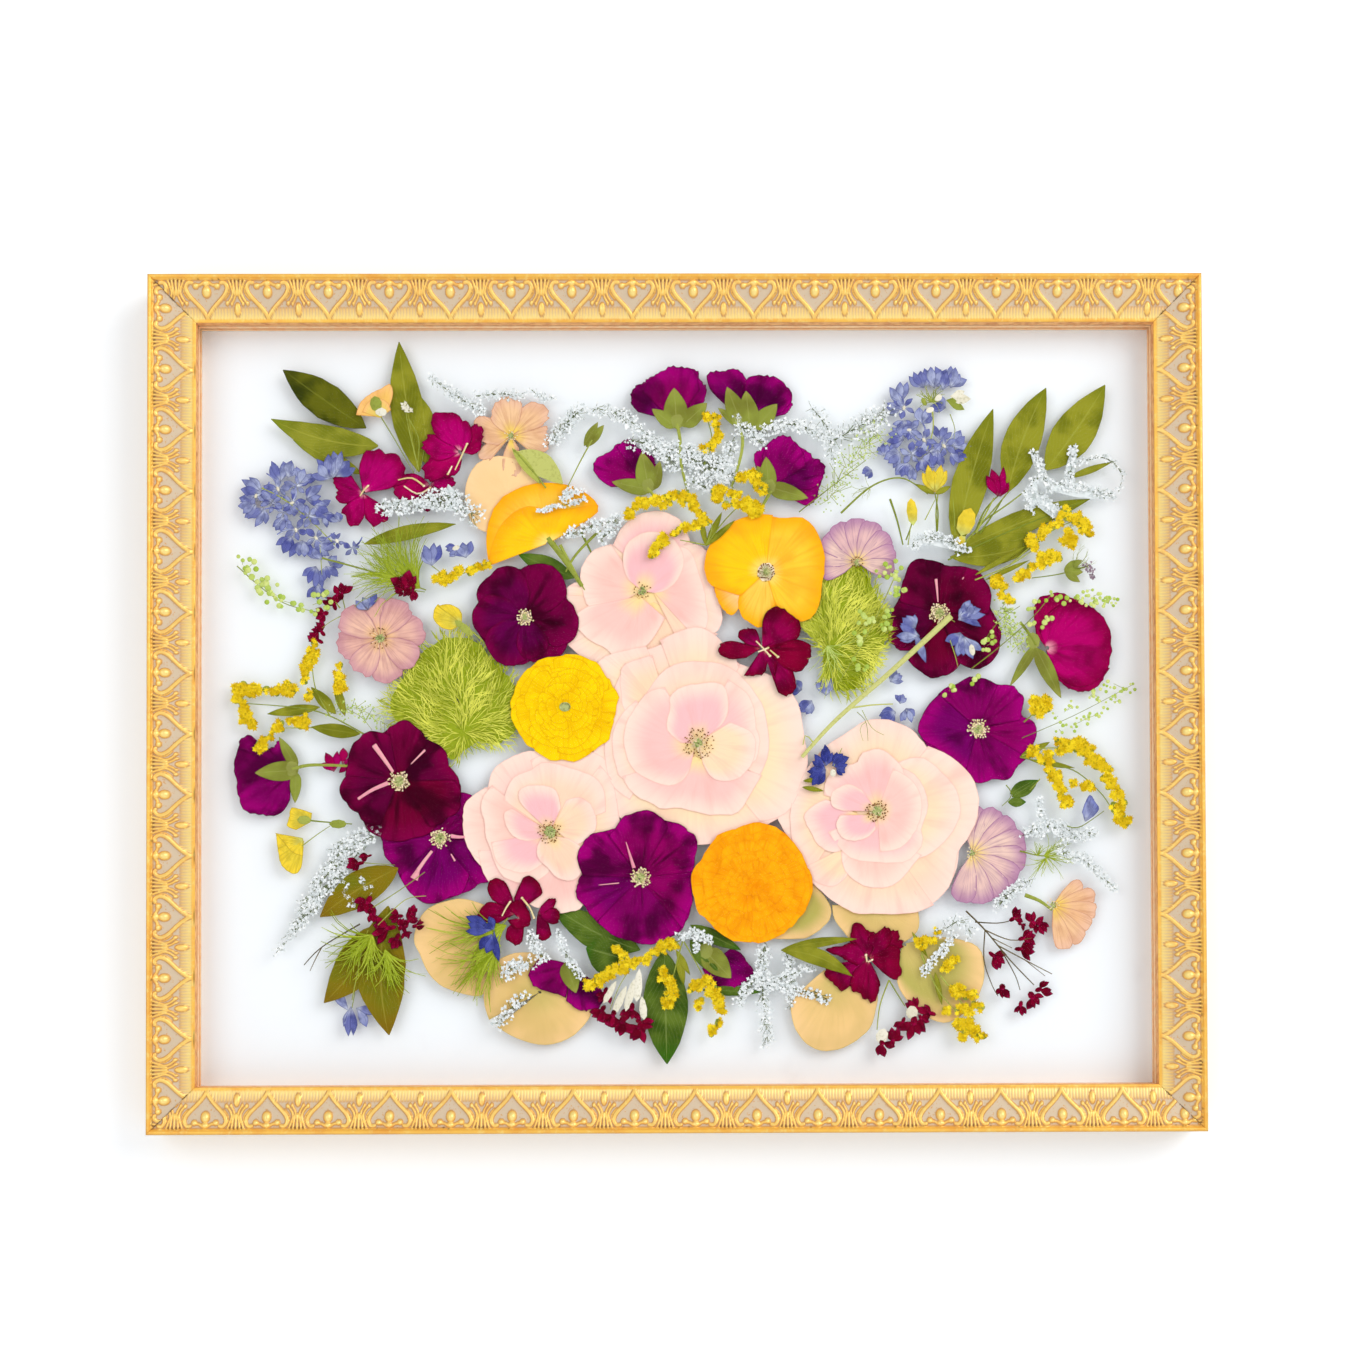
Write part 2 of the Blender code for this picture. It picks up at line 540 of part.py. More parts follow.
def make_foliage():
    make_sprig("leaf_sprig_left", [((-160.0, 133.0), (-205.5, 175.5), 21.0, 3.5),
                                   ((-156.0, 132.5), (-212.0, 150.5), 17.0, -2.0)], 0, LEAF)
    make_leaf("leaf_upright", (-135.0, 124.0), (-145.0, 191.0), 17.0, 0, LEAF, -2.0)
    make_sprig("leaf_sprig_right", [((173.0, 104.0), (194.5, 166.0), 23.0, 4.0),
                                    ((176.0, 108.0), (226.0, 167.0), 24.0, 3.0),
                                    ((168.5, 98.0), (166.5, 154.0), 21.0, -2.0)], 0, LEAF)
    make_leaf("leaf_low_right", (151.0, 77.5), (214.0, 107.5), 15.0, 0, LEAF, 2.0)
    make_sprig("leaf_sprig_hanging", [((-152.0, -106.0), (-150.0, -173.0), 28.0, 4.0),
                                      ((-154.0, -104.0), (-184.0, -156.0), 20.0, -3.0)], 1, LEAF)
    make_leaf("leaf_bottom", (-4.0, -117.0), (-5.5, -187.0), 27.0, 0, LEAF)
    for name, centre, size, turn, layer in (
            ("eucalyptus_left", (-117.5, -126.5), (19.5, 25.0), 80, 0),
            ("eucalyptus_centre", (-72.5, -153.5), (28.0, 23.5), 60, 0),
            ("eucalyptus_right", (81.5, -158.5), (21.5, 22.0), 70, 0),
            ("eucalyptus_far_right", (137.5, -143.0), (23.0, 22.0), 100, 0)):
        make_bloom(name, centre, size, 2, turn, layer, DRY_LEAF, 0.06, steps=8)
    make_tuft("dianthus_left", (-120.5, 4.5), (31.0, 31.5), 12, 0, LIME)
    make_tuft("dianthus_right", (89.0, 42.0), (35.0, 22.5), 12, 0, LIME, angle=80.0)
    make_tuft("delphinium_left", (-200.5, 94.0), (33.0, 23.0), 9, 0, BLUE, 0.3, -50.0)
    make_tuft("delphinium_right", (127.0, 148.5), (30.0, 24.0), 9, 0, BLUE, 0.3, 70.0)
    make_plume("goldenrod_right", [(178.0, -24.0), (190.0, -25.0), (203.0, -28.0), (215.0, -33.0),
                                   (225.0, -42.0), (231.0, -52.0), (234.0, -62.0)],
               [3.0, 12.0, 18.0, 16.0, 13.0, 10.0, 3.0], 1, GOLDEN)
    root = (181.0, 96.0)
    make_sprig("silver_spray_right", [(root, (235.0, 113.5), 13.0, 5.0), (root, (209.0, 135.0), 11.0, -3.0),
                                      (root, (187.0, 131.5), 11.0, 2.0), (root, (207.0, 94.0), 10.0, -1.0)],
               1, SILVER, 4)


def main():
    clear_scene()
    make_rail("top", WIDTH, TOP_PHASE)
    make_rail("bottom", WIDTH, TOP_PHASE)
    make_rail("left", HEIGHT, SIDE_PHASE)
    make_rail("right", HEIGHT, SIDE_PHASE)
    make_glazing()
    make_hanger("hanger_left", HANGER_PLACE)
    make_hanger("hanger_right", -HANGER_PLACE)
    make_blooms()
    make_side_blooms()
    make_clusters()
    make_foliage()


main()
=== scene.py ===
"""Looks of the pressed flower frame: its carved gilding, panes, board, hangers and every specimen.

Lengths are millimetres.  A place on the flat work is (x, z) from the middle of the frame, and a height
is measured from the wall towards the viewer.  Places read from the photo are pixels of its 1357 x 1357.
"""
import logging
import math
import random
from dataclasses import dataclass, field
from enum import Enum
from functools import cache

import bmesh
import bpy
import numpy as np
from mathutils import Matrix, Vector


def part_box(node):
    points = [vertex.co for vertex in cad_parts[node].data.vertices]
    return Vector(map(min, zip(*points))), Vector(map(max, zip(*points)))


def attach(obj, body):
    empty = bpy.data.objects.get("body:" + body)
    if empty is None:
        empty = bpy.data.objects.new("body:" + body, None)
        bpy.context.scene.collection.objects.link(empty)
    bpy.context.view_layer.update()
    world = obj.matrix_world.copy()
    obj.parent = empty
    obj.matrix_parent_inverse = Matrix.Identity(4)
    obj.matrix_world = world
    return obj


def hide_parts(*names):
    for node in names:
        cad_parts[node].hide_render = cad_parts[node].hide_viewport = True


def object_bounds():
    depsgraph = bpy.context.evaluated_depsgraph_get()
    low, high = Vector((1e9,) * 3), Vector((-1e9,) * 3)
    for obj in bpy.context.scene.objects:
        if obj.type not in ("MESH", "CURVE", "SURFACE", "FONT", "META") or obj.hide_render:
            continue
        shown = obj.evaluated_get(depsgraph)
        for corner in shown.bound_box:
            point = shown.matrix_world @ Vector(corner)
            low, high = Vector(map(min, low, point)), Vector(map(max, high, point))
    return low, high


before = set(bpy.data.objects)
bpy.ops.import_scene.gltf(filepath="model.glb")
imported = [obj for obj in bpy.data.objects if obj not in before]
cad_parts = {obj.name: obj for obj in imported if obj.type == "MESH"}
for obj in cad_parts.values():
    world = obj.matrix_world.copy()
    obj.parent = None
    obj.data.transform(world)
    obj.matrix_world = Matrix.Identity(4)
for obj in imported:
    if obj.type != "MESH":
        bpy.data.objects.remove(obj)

LOG = logging.getLogger("pressed_flower_frame")

MM = 0.001
PHOTO_PX = 1357
CAD_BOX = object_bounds()
BODY = "root"

Place = tuple[float, float]
Colour = tuple[float, float, float]

BACK_WIDTH = 18.5                 # moulding behind the lip
RAIL_WIDTH = 24.0                 # visible face of the moulding
HALF_WIDTH = (CAD_BOX[1].x - CAD_BOX[0].x) / MM / 2
HALF_HEIGHT = (CAD_BOX[1].z - CAD_BOX[0].z) / MM / 2
MIDDLE_Z = (CAD_BOX[1].z + CAD_BOX[0].z) / MM / 2
PX_MM = 0.5226                    # a pixel of the photo, where the flowers lie
HALF_PX_MM = 0.261


def srgb(red: int, green: int, blue: int) -> Colour:
    """Turn a screen colour of 0 to 255 into the linear colour that shaders take.

    Args:
        red: Red as the screen shows it.
        green: Green, the same way.
        blue: Blue, the same way.

    Returns:
        The linear colour.
    """
    shares = [level / 255 for level in (red, green, blue)]
    return tuple(((s + 0.055) / 1.055) ** 2.4 if s > 0.04 else s / 12.92 for s in shares)


def off(px: Place, angle: float, reach: float) -> Place:
    """The pixel at some reach from another, with the angle anticlockwise from the right."""
    return px[0] + reach * math.cos(angle), px[1] - reach * math.sin(angle)


def around(spot: Place, angle: float, reach: float) -> Place:
    """The place at some reach from another, with the angle from the first axis to the second."""
    return spot[0] + reach * math.cos(angle), spot[1] + reach * math.sin(angle)


# ---- the camera, and places read from the photo --------------------------------------------------------
@dataclass(frozen=True)
class PhotoCamera:
    """The photo's camera, found from the frame's eight corners; metres and radians."""

    x: float = -0.00666
    y: float = -1.121
    above_middle: float = -0.11521
    pitch: float = 0.020183
    yaw: float = 0.0067527
    roll: float = -0.0030214
    focal_px: float = 2127.5
    shift: float = 0.15

    @property
    def spot(self) -> Vector:
        """Where the camera stands."""
        return Vector((self.x, self.y, self.above_middle + MIDDLE_Z * MM))

    def axes(self) -> tuple[Vector, Vector, Vector]:
        """Work out which way the camera looks.

        Returns:
            Its right, up and forward directions.
        """
        level = math.cos(self.pitch)
        forward = Vector((math.sin(self.yaw) * level, math.cos(self.yaw) * level, math.sin(self.pitch)))
        right = Vector((math.cos(self.yaw), -math.sin(self.yaw), 0.0))
        up = right.cross(forward)
        c, s = math.cos(self.roll), math.sin(self.roll)
        return right * c + up * s, up * c - right * s, forward

    def place(self, px: Place, height: float) -> Place:
        """Find what lies behind a pixel of the photo.

        Args:
            px: The pixel, in the photo's own 1357 x 1357.
            height: How far in front of the wall the thing lies, in millimetres.

        Returns:
            Its (x, z) from the middle of the frame, in millimetres.
        """
        right, up, forward = self.axes()
        half = PHOTO_PX / 2
        ray = forward + right * ((px[0] - half) / self.focal_px)
        ray += up * ((half + self.shift * PHOTO_PX - px[1]) / self.focal_px)
        hit = self.spot + ray * ((-height * MM - self.y) / ray.y)
        return hit.x / MM, hit.z / MM - MIDDLE_Z

    def build(self) -> bpy.types.Object:
        """Add the camera to the scene."""
        data = bpy.data.cameras.new("photo_camera")
        data.sensor_width = 36.0
        data.lens = self.focal_px / PHOTO_PX * data.sensor_width
        data.shift_y = self.shift
        data.clip_start = 0.01
        made = bpy.data.objects.new("photo_camera", data)
        right, up, forward = self.axes()
        turn = Matrix((right, up, -forward)).transposed().to_4x4()
        made.matrix_world = Matrix.Translation(self.spot) @ turn
        bpy.context.collection.objects.link(made)
        bpy.context.scene.camera = made
        return made


CAMERA = PhotoCamera()


# ---- shader helpers ------------------------------------------------------------------------------------
class Shader:
    """One node material under way, with short calls for the nodes that the finishes share."""

    def __init__(self, name: str) -> None:
        """Start a material with only its Principled shader.

        Args:
            name: The name of the material.
        """
        self.material = bpy.data.materials.new(name)
        self.material.use_nodes = True
        self.tree = self.material.node_tree
        self.surface = self.tree.nodes["Principled BSDF"]

    def node(self, kind: str, inputs: dict | None = None, **settings: object) -> bpy.types.Node:
        """Add a node.

        Args:
            kind: The node's type without its ShaderNode prefix.
            inputs: Values or outputs of other nodes for its sockets, by name or number.
            **settings: Properties of the node itself.

        Returns:
            The node.
        """
        made = self.tree.nodes.new("ShaderNode" + kind)
        for name, value in settings.items():
            setattr(made, name, value)
        for name, value in (inputs or {}).items():
            self.put(made.inputs[name], value)
        return made

    def put(self, socket: bpy.types.NodeSocket, value: object) -> None:
        """Fill a socket.

        Args:
            socket: The socket.
            value: An output to link to it, or its own value.
        """
        if isinstance(value, bpy.types.NodeSocket):
            self.tree.links.new(value, socket)
        elif isinstance(value, tuple) and len(value) == 3 and socket.type == "RGBA":
            socket.default_value = (*value, 1.0)
        else:
            socket.default_value = value

    def shade(self, **values: object) -> None:
        """Set the Principled shader's sockets; an underscore stands for a space in their names."""
        for name, value in values.items():
            self.put(self.surface.inputs[name.replace("_", " ").title().replace("Ior", "IOR")], value)

    def blend(self, share: object, first: object, second: object) -> bpy.types.NodeSocket:
        """Mix two colours.

        Args:
            share: How much of the second colour, as a number or an output.
            first: The colour where share is 0.
            second: The colour where share is 1.

        Returns:
            The mixed colour.
        """
        mix = self.node("Mix", data_type="RGBA")
        self.put(mix.inputs[0], share)
        self.put(mix.inputs[6], first)
        self.put(mix.inputs[7], second)
        return mix.outputs[2]

    def maths(self, how: str, first: object, second: object = 0.0) -> bpy.types.NodeSocket:
        """Work out a number from two others."""
        return self.node("Math", {0: first, 1: second}, operation=how).outputs[0]

    def between(self, value: object, low: float, high: float) -> bpy.types.NodeSocket:
        """Stretch a number smoothly, and clamp it.

        Args:
            value: The number.
            low: What becomes 0.
            high: What becomes 1.

        Returns:
            The stretched number.
        """
        made = self.node("MapRange", {"Value": value, "From Min": low, "From Max": high},
                         interpolation_type="SMOOTHSTEP")
        return made.outputs[0]

    def noise(self, scale: float, where: object = None, detail: float = 3.0,
              stretch: Colour = (1.0, 1.0, 1.0)) -> bpy.types.NodeSocket:
        """Make noise of 0 to 1.

        Args:
            scale: How many lumps to the unit of where.
            where: The coordinates; the object's own, in metres, if left out.
            detail: How many finer steps it has.
            stretch: Factors on the coordinates, for noise that runs in lines.

        Returns:
            The noise.
        """
        where = where or self.node("TexCoord").outputs["Object"]
        mapped = self.node("Mapping", {"Vector": where, "Scale": stretch}).outputs[0]
        return self.node("TexNoise", {"Vector": mapped, "Scale": scale, "Detail": detail}).outputs[0]

    def attribute(self, name: str) -> bpy.types.NodeSocket:
        """Read a number that the mesh holds at its points."""
        return self.node("Attribute", attribute_name=name).outputs["Fac"]

    def bump(self, height: object, strength: float, distance: float) -> None:
        """Roughen the surface with fine relief that is too small for the mesh.

        Args:
            height: The relief, of 0 to 1.
            strength: How much of it shows.
            distance: How high it is, in millimetres.
        """
        made = self.node("Bump", {"Height": height, "Strength": strength, "Distance": distance * MM})
        self.put(self.surface.inputs["Normal"], made.outputs[0])


# ---- finishes ------------------------------------------------------------------------------------------
@dataclass(frozen=True)
class GildedFinish:
    """Antique gold on a carved moulding, with a grey-beige wash in its recesses, dark specks, a painted
    highlight on its high ridges, painted shade on their flanks and in the gaps of the flutes, and painted
    reflections on the lip.
    """

    name: str = "antique_gilding"
    gold: Colour = srgb(253, 196, 84)
    # paler gold, for random streaks and for the painted highlight on the high ridges
    light: Colour = srgb(255, 236, 150)
    shade: Colour = srgb(236, 152, 58)
    wash: Colour = srgb(214, 194, 166)
    dark: Colour = srgb(92, 58, 24)
    # painted shade on the flanks of the ridges
    flank_shade: Colour = srgb(190, 122, 46)

    def material(self) -> bpy.types.Material:
        """Build the node material.

        Returns:
            The new material.
        """
        book = Shader(self.name)
        patches = book.between(book.noise(85.0, detail=4.0), 0.42, 0.8)
        colour = book.blend(book.maths("MULTIPLY", patches, 0.6), self.gold, self.shade)
        streaks = book.between(book.noise(420.0, detail=2.0), 0.5, 0.72)
        colour = book.blend(book.maths("MULTIPLY", streaks, 0.35), colour, self.light)
        # painted highlight on the high ridges of the carving
        colour = book.blend(book.attribute("crest_highlight"), colour, self.light)
        recess = book.maths("MULTIPLY", book.attribute("recess"),
                            book.between(book.noise(900.0), 0.1, 0.42))
        # painted shade: orange-brown on the flanks, where the ridges drop into the recesses
        bright = book.maths("SUBTRACT", 1.0, book.maths("MULTIPLY", book.attribute("crest_highlight"), 1.6))
        flank_shade = book.maths("MULTIPLY", recess, bright)
        flank_shade = book.maths("MULTIPLY", flank_shade, book.maths("SUBTRACT", 1.0, recess))
        flank_shade = book.maths("MULTIPLY", flank_shade, 2.3)
        colour = book.blend(recess, colour, self.wash)
        colour = book.blend(flank_shade, colour, self.flank_shade)
        # dark marks: specks and cracks, with painted shade in the flute gaps and painted reflections on the
        # lip
        colour = book.blend(book.attribute("wear_shade_and_reflection"), colour, self.dark)
        rough = book.blend(recess, (0.34, 0.34, 0.34), (0.62, 0.62, 0.62))
        book.shade(base_color=colour, roughness=rough, metallic=0.35)
        book.bump(book.noise(1500.0, detail=3.0), 0.25, 0.12)
        return book.material


@dataclass(frozen=True)
class WoodFinish:
    """Raw wood with faint grain along one axis."""

    name: str
    wood: Colour
    grain: Colour
    along: Colour = (1.0, 1.0, 1.0)

    def material(self) -> bpy.types.Material:
        """Build the node material.

        Returns:
            The new material.
        """
        book = Shader(self.name)
        lines = book.noise(260.0, detail=5.0, stretch=self.along)
        colour = book.blend(book.between(lines, 0.35, 0.7), self.wood, self.grain)
        book.shade(base_color=colour, roughness=0.62)
        book.bump(lines, 0.2, 0.2)
        return book.material


@dataclass(frozen=True)
class GlassFinish:
    """Clear picture glass: almost nothing but its gloss."""

    name: str = "picture_glass"
    cover: float = 0.001

    def material(self) -> bpy.types.Material:
        """Build the node material.

        Returns:
            The new material.
        """
        book = Shader(self.name)
        haze = book.between(book.noise(14.0), 0.3, 0.8)
        book.shade(base_color=(1.0, 1.0, 1.0), alpha=self.cover)
        book.shade(roughness=book.maths("MULTIPLY", haze, 0.03))
        return book.material


@dataclass(frozen=True)
class BoardFinish:
    """White mount board with a fine paper tooth and a few faint marks."""

    name: str = "mount_board"
    white: Colour = srgb(246, 251, 255)
    mark: Colour = srgb(228, 227, 230)

    def material(self) -> bpy.types.Material:
        """Build the node material.

        Returns:
            The new material.
        """
        book = Shader(self.name)
        marks = book.between(book.noise(22.0, detail=6.0), 0.62, 0.9)
        book.shade(base_color=book.blend(marks, self.white, self.mark), roughness=0.85)
        book.bump(book.noise(2500.0, detail=2.0), 0.12, 0.05)
        return book.material


@dataclass(frozen=True)
class SteelFinish:
    """Zinc-plated steel with a faint mottle."""

    name: str = "zinc_plate"
    zinc: Colour = srgb(176, 178, 184)
    light: Colour = srgb(205, 206, 208)

    def material(self) -> bpy.types.Material:
        """Build the node material.

        Returns:
            The new material.
        """
        book = Shader(self.name)
        mottle = book.between(book.noise(300.0, detail=4.0), 0.3, 0.7)
        book.shade(base_color=book.blend(mottle, self.zinc, self.light), metallic=1.0)
        book.shade(roughness=book.maths("ADD", 0.28, book.maths("MULTIPLY", mottle, 0.15)))
        return book.material


@dataclass(frozen=True)
class WallFinish:
    """White painted wall or floor of the studio, seen from its front only."""

    name: str = "studio_white"
    paint: Colour = srgb(252, 252, 253)
    tint: Colour = srgb(216, 240, 255)
    glow: float = 0.14            # stands in for the white room's own light

    def material(self) -> bpy.types.Material:
        """Build the node material.

        Returns:
            The new material.
        """
        book = Shader(self.name)
        book.shade(base_color=self.paint, roughness=0.9)
        book.shade(emission_color=self.tint, emission_strength=self.glow)
        clear = book.node("BsdfTransparent").outputs[0]
        behind = book.node("NewGeometry").outputs["Backfacing"]
        mix = book.node("MixShader", {0: behind, 1: book.surface.outputs[0], 2: clear})
        book.put(book.tree.nodes["Material Output"].inputs[0], mix.outputs[0])
        return book.material


SHEEN = 0.01    # specular level of dry petals


@dataclass(frozen=True)
class PetalFinish:
    """A pressed petal: its colour from base to rim, its veins and blotches, painted shade along its folds,
    and its thin darker edge, partly its own darker rim and partly painted shade of the overlap.
    """

    name: str
    inner: Colour                 # at the base
    body: Colour
    other: Colour                 # the body on petals of high tint
    edge: Colour
    fold: Colour                  # veins, blotches, the outline with its painted shade, and the painted shade along the folds
    inner_end: float = 0.35
    blotch: float = 0.3
    blotch_scale: float = 90.0
    grain: float = 0.25
    # strength of the darker rim line: partly the petal's own rim, partly painted shade of the overlap
    line: float = 0.45
    rough: float = 0.6
    # strength of the painted shade along the petal's folds
    crease_shade: float = 0.15

    def material(self) -> bpy.types.Material:
        """Build the node material.

        Returns:
            The new material.
        """
        book = Shader(self.name)
        place = book.node("SeparateXYZ", {0: book.node("TexCoord").outputs["UV"]}).outputs
        uv = book.node("CombineXYZ", {0: place[0], 1: place[1], 2: book.attribute("tint")}).outputs[0]
        colour = book.blend(book.attribute("tint"), self.body, self.other)
        colour = book.blend(book.between(place[1], 0.62, 1.0), colour, self.edge)
        colour = book.blend(book.between(place[1], self.inner_end, 0.02), colour, self.inner)
        veins = book.between(book.noise(1.0, where=uv, detail=2.0, stretch=(34.0, 1.6, 9.0)), 0.42, 0.75)
        colour = book.blend(book.maths("MULTIPLY", veins, self.grain), colour, self.fold)
        patch = book.between(book.noise(self.blotch_scale, detail=2.0), 0.43, 0.66)
        colour = book.blend(book.maths("MULTIPLY", patch, self.blotch), colour, self.fold)
        # painted shade: darker streaks from base to rim along the petal's folds
        crease_shade = book.between(book.noise(1.0, where=uv, detail=3.0, stretch=(7.0, 1.3, 9.0)), 0.5, 0.78)
        colour = book.blend(book.maths("MULTIPLY", crease_shade, self.crease_shade), colour, self.fold)
        # painted shade: a darker line along the rim, partly the petal's own edge colour, standing for the
        # shade where it overlaps the petal below
        rim = book.between(book.attribute("edge"), 0.55, 0.0)
        colour = book.blend(book.maths("MULTIPLY", rim, self.line), colour, self.fold)
        book.shade(base_color=colour, roughness=self.rough, specular_ior_level=SHEEN)
        book.bump(book.maths("ADD", veins, crease_shade), 0.4, 0.1)
        return book.material


@dataclass(frozen=True)
class LeafFinish:
    """A dried leaf: midrib, side veins and blotches of a second colour."""

    name: str
    body: Colour
    other: Colour
    rib: Colour
    tip: Colour
    veins: float = 0.2

    def material(self) -> bpy.types.Material:
        """Build the node material.

        Returns:
            The new material.
        """
        book = Shader(self.name)
        place = book.node("SeparateXYZ", {0: book.node("TexCoord").outputs["UV"]}).outputs
        away = book.maths("ABSOLUTE", book.maths("SUBTRACT", place[0], 0.5))
        colour = book.blend(book.between(book.noise(75.0, detail=4.0), 0.36, 0.66), self.body, self.other)
        colour = book.blend(book.between(place[1], 0.72, 1.0), colour, self.tip)
        climb = book.maths("SUBTRACT", book.maths("MULTIPLY", place[1], 78.0),
                           book.maths("MULTIPLY", away, 58.0))
        side = book.between(book.maths("SINE", climb), 0.72, 1.0)
        colour = book.blend(book.maths("MULTIPLY", side, self.veins), colour, self.rib)
        rib = book.maths("MULTIPLY", book.between(away, 0.035, 0.01), 0.45)
        colour = book.blend(rib, colour, self.rib)
        rim = book.between(book.attribute("edge"), 0.5, 0.0)
        colour = book.blend(book.maths("MULTIPLY", rim, 0.5), colour, self.other)
        book.shade(base_color=colour, roughness=0.5, specular_ior_level=2 * SHEEN)
        book.bump(book.maths("ADD", side, book.noise(900.0)), 0.2, 0.08)
        return book.material


@dataclass(frozen=True)
class TintFinish:
    """Stems, florets, stamens and buds: a colour between two, by each one's own number, with a mottle."""

    name: str
    low: Colour
    high: Colour
    mottle: Colour
    share: float = 0.35
    scale: float = 700.0
    rough: float = 0.6

    def material(self) -> bpy.types.Material:
        """Build the node material.

        Returns:
            The new material.
        """
        book = Shader(self.name)
        colour = book.blend(book.attribute("tint"), self.low, self.high)
        spots = book.between(book.noise(self.scale, detail=2.0), 0.5, 0.7)
        colour = book.blend(book.maths("MULTIPLY", spots, self.share), colour, self.mottle)
        book.shade(base_color=colour, roughness=self.rough, specular_ior_level=SHEEN)
        return book.material


Finish = PetalFinish | LeafFinish | TintFinish


@cache
def material_of(finish: Finish) -> bpy.types.Material:
    """Build a finish's material, once."""
    return finish.material()


ROSE = PetalFinish("pale_rose_petal", srgb(255, 226, 152), srgb(248, 192, 196), srgb(255, 226, 184),
                   srgb(254, 224, 208), srgb(236, 168, 158), inner_end=0.42, blotch=0.12, blotch_scale=45.0,
                   grain=0.12, line=0.4, crease_shade=0.3)
PLUM = PetalFinish("plum_velvet_petal", srgb(132, 0, 80), srgb(146, 0, 90), srgb(118, 0, 96),
                   srgb(164, 0, 116), srgb(48, 0, 30), inner_end=0.22, blotch=0.75, blotch_scale=62.0,
                   grain=0.25, line=0.8, rough=0.75, crease_shade=0.75)
PLUM_DARK = PetalFinish("dark_plum_velvet_petal", srgb(112, 0, 50), srgb(112, 0, 58), srgb(98, 0, 70),
                        srgb(124, 0, 66), srgb(42, 0, 16), inner_end=0.22, blotch=0.75, blotch_scale=62.0,
                        grain=0.25, line=0.8, rough=0.75, crease_shade=0.75)
MAROON = PetalFinish("maroon_velvet_petal", srgb(104, 0, 30), srgb(112, 0, 44), srgb(94, 0, 54),
                     srgb(128, 0, 64), srgb(34, 0, 14), inner_end=0.3, blotch=0.75, blotch_scale=62.0,
                     grain=0.25, line=0.8, rough=0.75, crease_shade=0.7)
MAGENTA = PetalFinish("magenta_petal", srgb(240, 160, 176), srgb(184, 0, 108), srgb(170, 0, 78),
                      srgb(150, 0, 72), srgb(92, 0, 36), inner_end=0.2, blotch=0.5, blotch_scale=90.0,
                      grain=0.35, line=0.9, rough=0.7, crease_shade=0.6)
CRIMSON = PetalFinish("crimson_petal", srgb(196, 90, 100), srgb(136, 0, 44), srgb(154, 0, 82),
                      srgb(124, 0, 40), srgb(60, 0, 18), inner_end=0.2, blotch=0.6, blotch_scale=90.0,
                      grain=0.35, line=0.9, rough=0.7, crease_shade=0.6)
SUN = PetalFinish("yellow_poppy_petal", srgb(255, 232, 130), srgb(255, 204, 24), srgb(255, 214, 150),
                  srgb(254, 180, 20), srgb(242, 150, 30), inner_end=0.34, blotch=0.35, blotch_scale=60.0,
                  grain=0.35, line=0.7, crease_shade=0.3)
LEMON = PetalFinish("yellow_buttercup_petal", srgb(250, 206, 8), srgb(255, 214, 8), srgb(252, 200, 6),
                    srgb(255, 216, 12), srgb(224, 152, 4), inner_end=0.5, blotch=0.22, blotch_scale=110.0,
                    grain=0.35, line=0.62, crease_shade=0.45)
TANGERINE = PetalFinish("orange_buttercup_petal", srgb(255, 150, 8), srgb(255, 162, 8), srgb(255, 178, 18),
                        srgb(255, 176, 16), srgb(228, 112, 4), inner_end=0.4, blotch=0.25,
                        blotch_scale=110.0, grain=0.35, line=0.42, crease_shade=0.5)
DUSK = PetalFinish("dusty_pink_petal", srgb(253, 208, 128), srgb(242, 196, 172), srgb(232, 180, 164),
                   srgb(210, 156, 162), srgb(172, 112, 122), inner_end=0.5, blotch=0.25, blotch_scale=120.0,
                   grain=0.4, line=0.5, crease_shade=0.45)
MAUVE = PetalFinish("mauve_petal", srgb(253, 222, 120), srgb(240, 206, 190), srgb(230, 186, 184),
                    srgb(188, 140, 170), srgb(150, 100, 136), inner_end=0.42, blotch=0.15,
                    blotch_scale=120.0, grain=0.4, line=0.7, crease_shade=0.3)
PEACH = PetalFinish("peach_petal", srgb(255, 224, 84), srgb(244, 202, 156), srgb(238, 188, 142),
                    srgb(238, 192, 162), srgb(196, 132, 96), inner_end=0.5, blotch=0.25, blotch_scale=120.0,
                    grain=0.4, line=0.7, crease_shade=0.4)
PALE_PEACH = PetalFinish("pale_peach_petal", srgb(252, 214, 160), srgb(253, 213, 156), srgb(249, 206, 146),
                         srgb(253, 214, 160), srgb(226, 176, 116), inner_end=0.3, blotch=0.12,
                         blotch_scale=60.0, grain=0.06, line=0.5, crease_shade=0.1)
GOLDEN_PEACH = PetalFinish("golden_peach_petal", srgb(206, 196, 70), srgb(246, 196, 104),
                           srgb(238, 206, 110), srgb(250, 196, 124), srgb(214, 146, 70), inner_end=0.5,
                           blotch=0.2, blotch_scale=160.0, grain=0.3, line=0.7)
BLUE = PetalFinish("delphinium_petal", srgb(214, 220, 232), srgb(176, 184, 216), srgb(92, 98, 170),
                   srgb(128, 136, 196), srgb(50, 54, 112), inner_end=0.4, blotch=0.5, blotch_scale=230.0,
                   grain=0.55, line=0.6)
DEEP_BLUE = PetalFinish("deep_delphinium_petal", srgb(150, 160, 214), srgb(86, 94, 174), srgb(56, 62, 142),
                        srgb(66, 74, 152), srgb(30, 34, 84), inner_end=0.3, blotch=0.5, blotch_scale=230.0,
                        grain=0.55, line=0.6)
SILVER_DISC = PetalFinish("eucalyptus_leaf", srgb(214, 192, 116), srgb(248, 204, 138), srgb(180, 174, 88),
                          srgb(248, 206, 144), srgb(190, 166, 90), inner_end=0.6, blotch=0.36,
                          blotch_scale=34.0, grain=0.12, line=0.6)
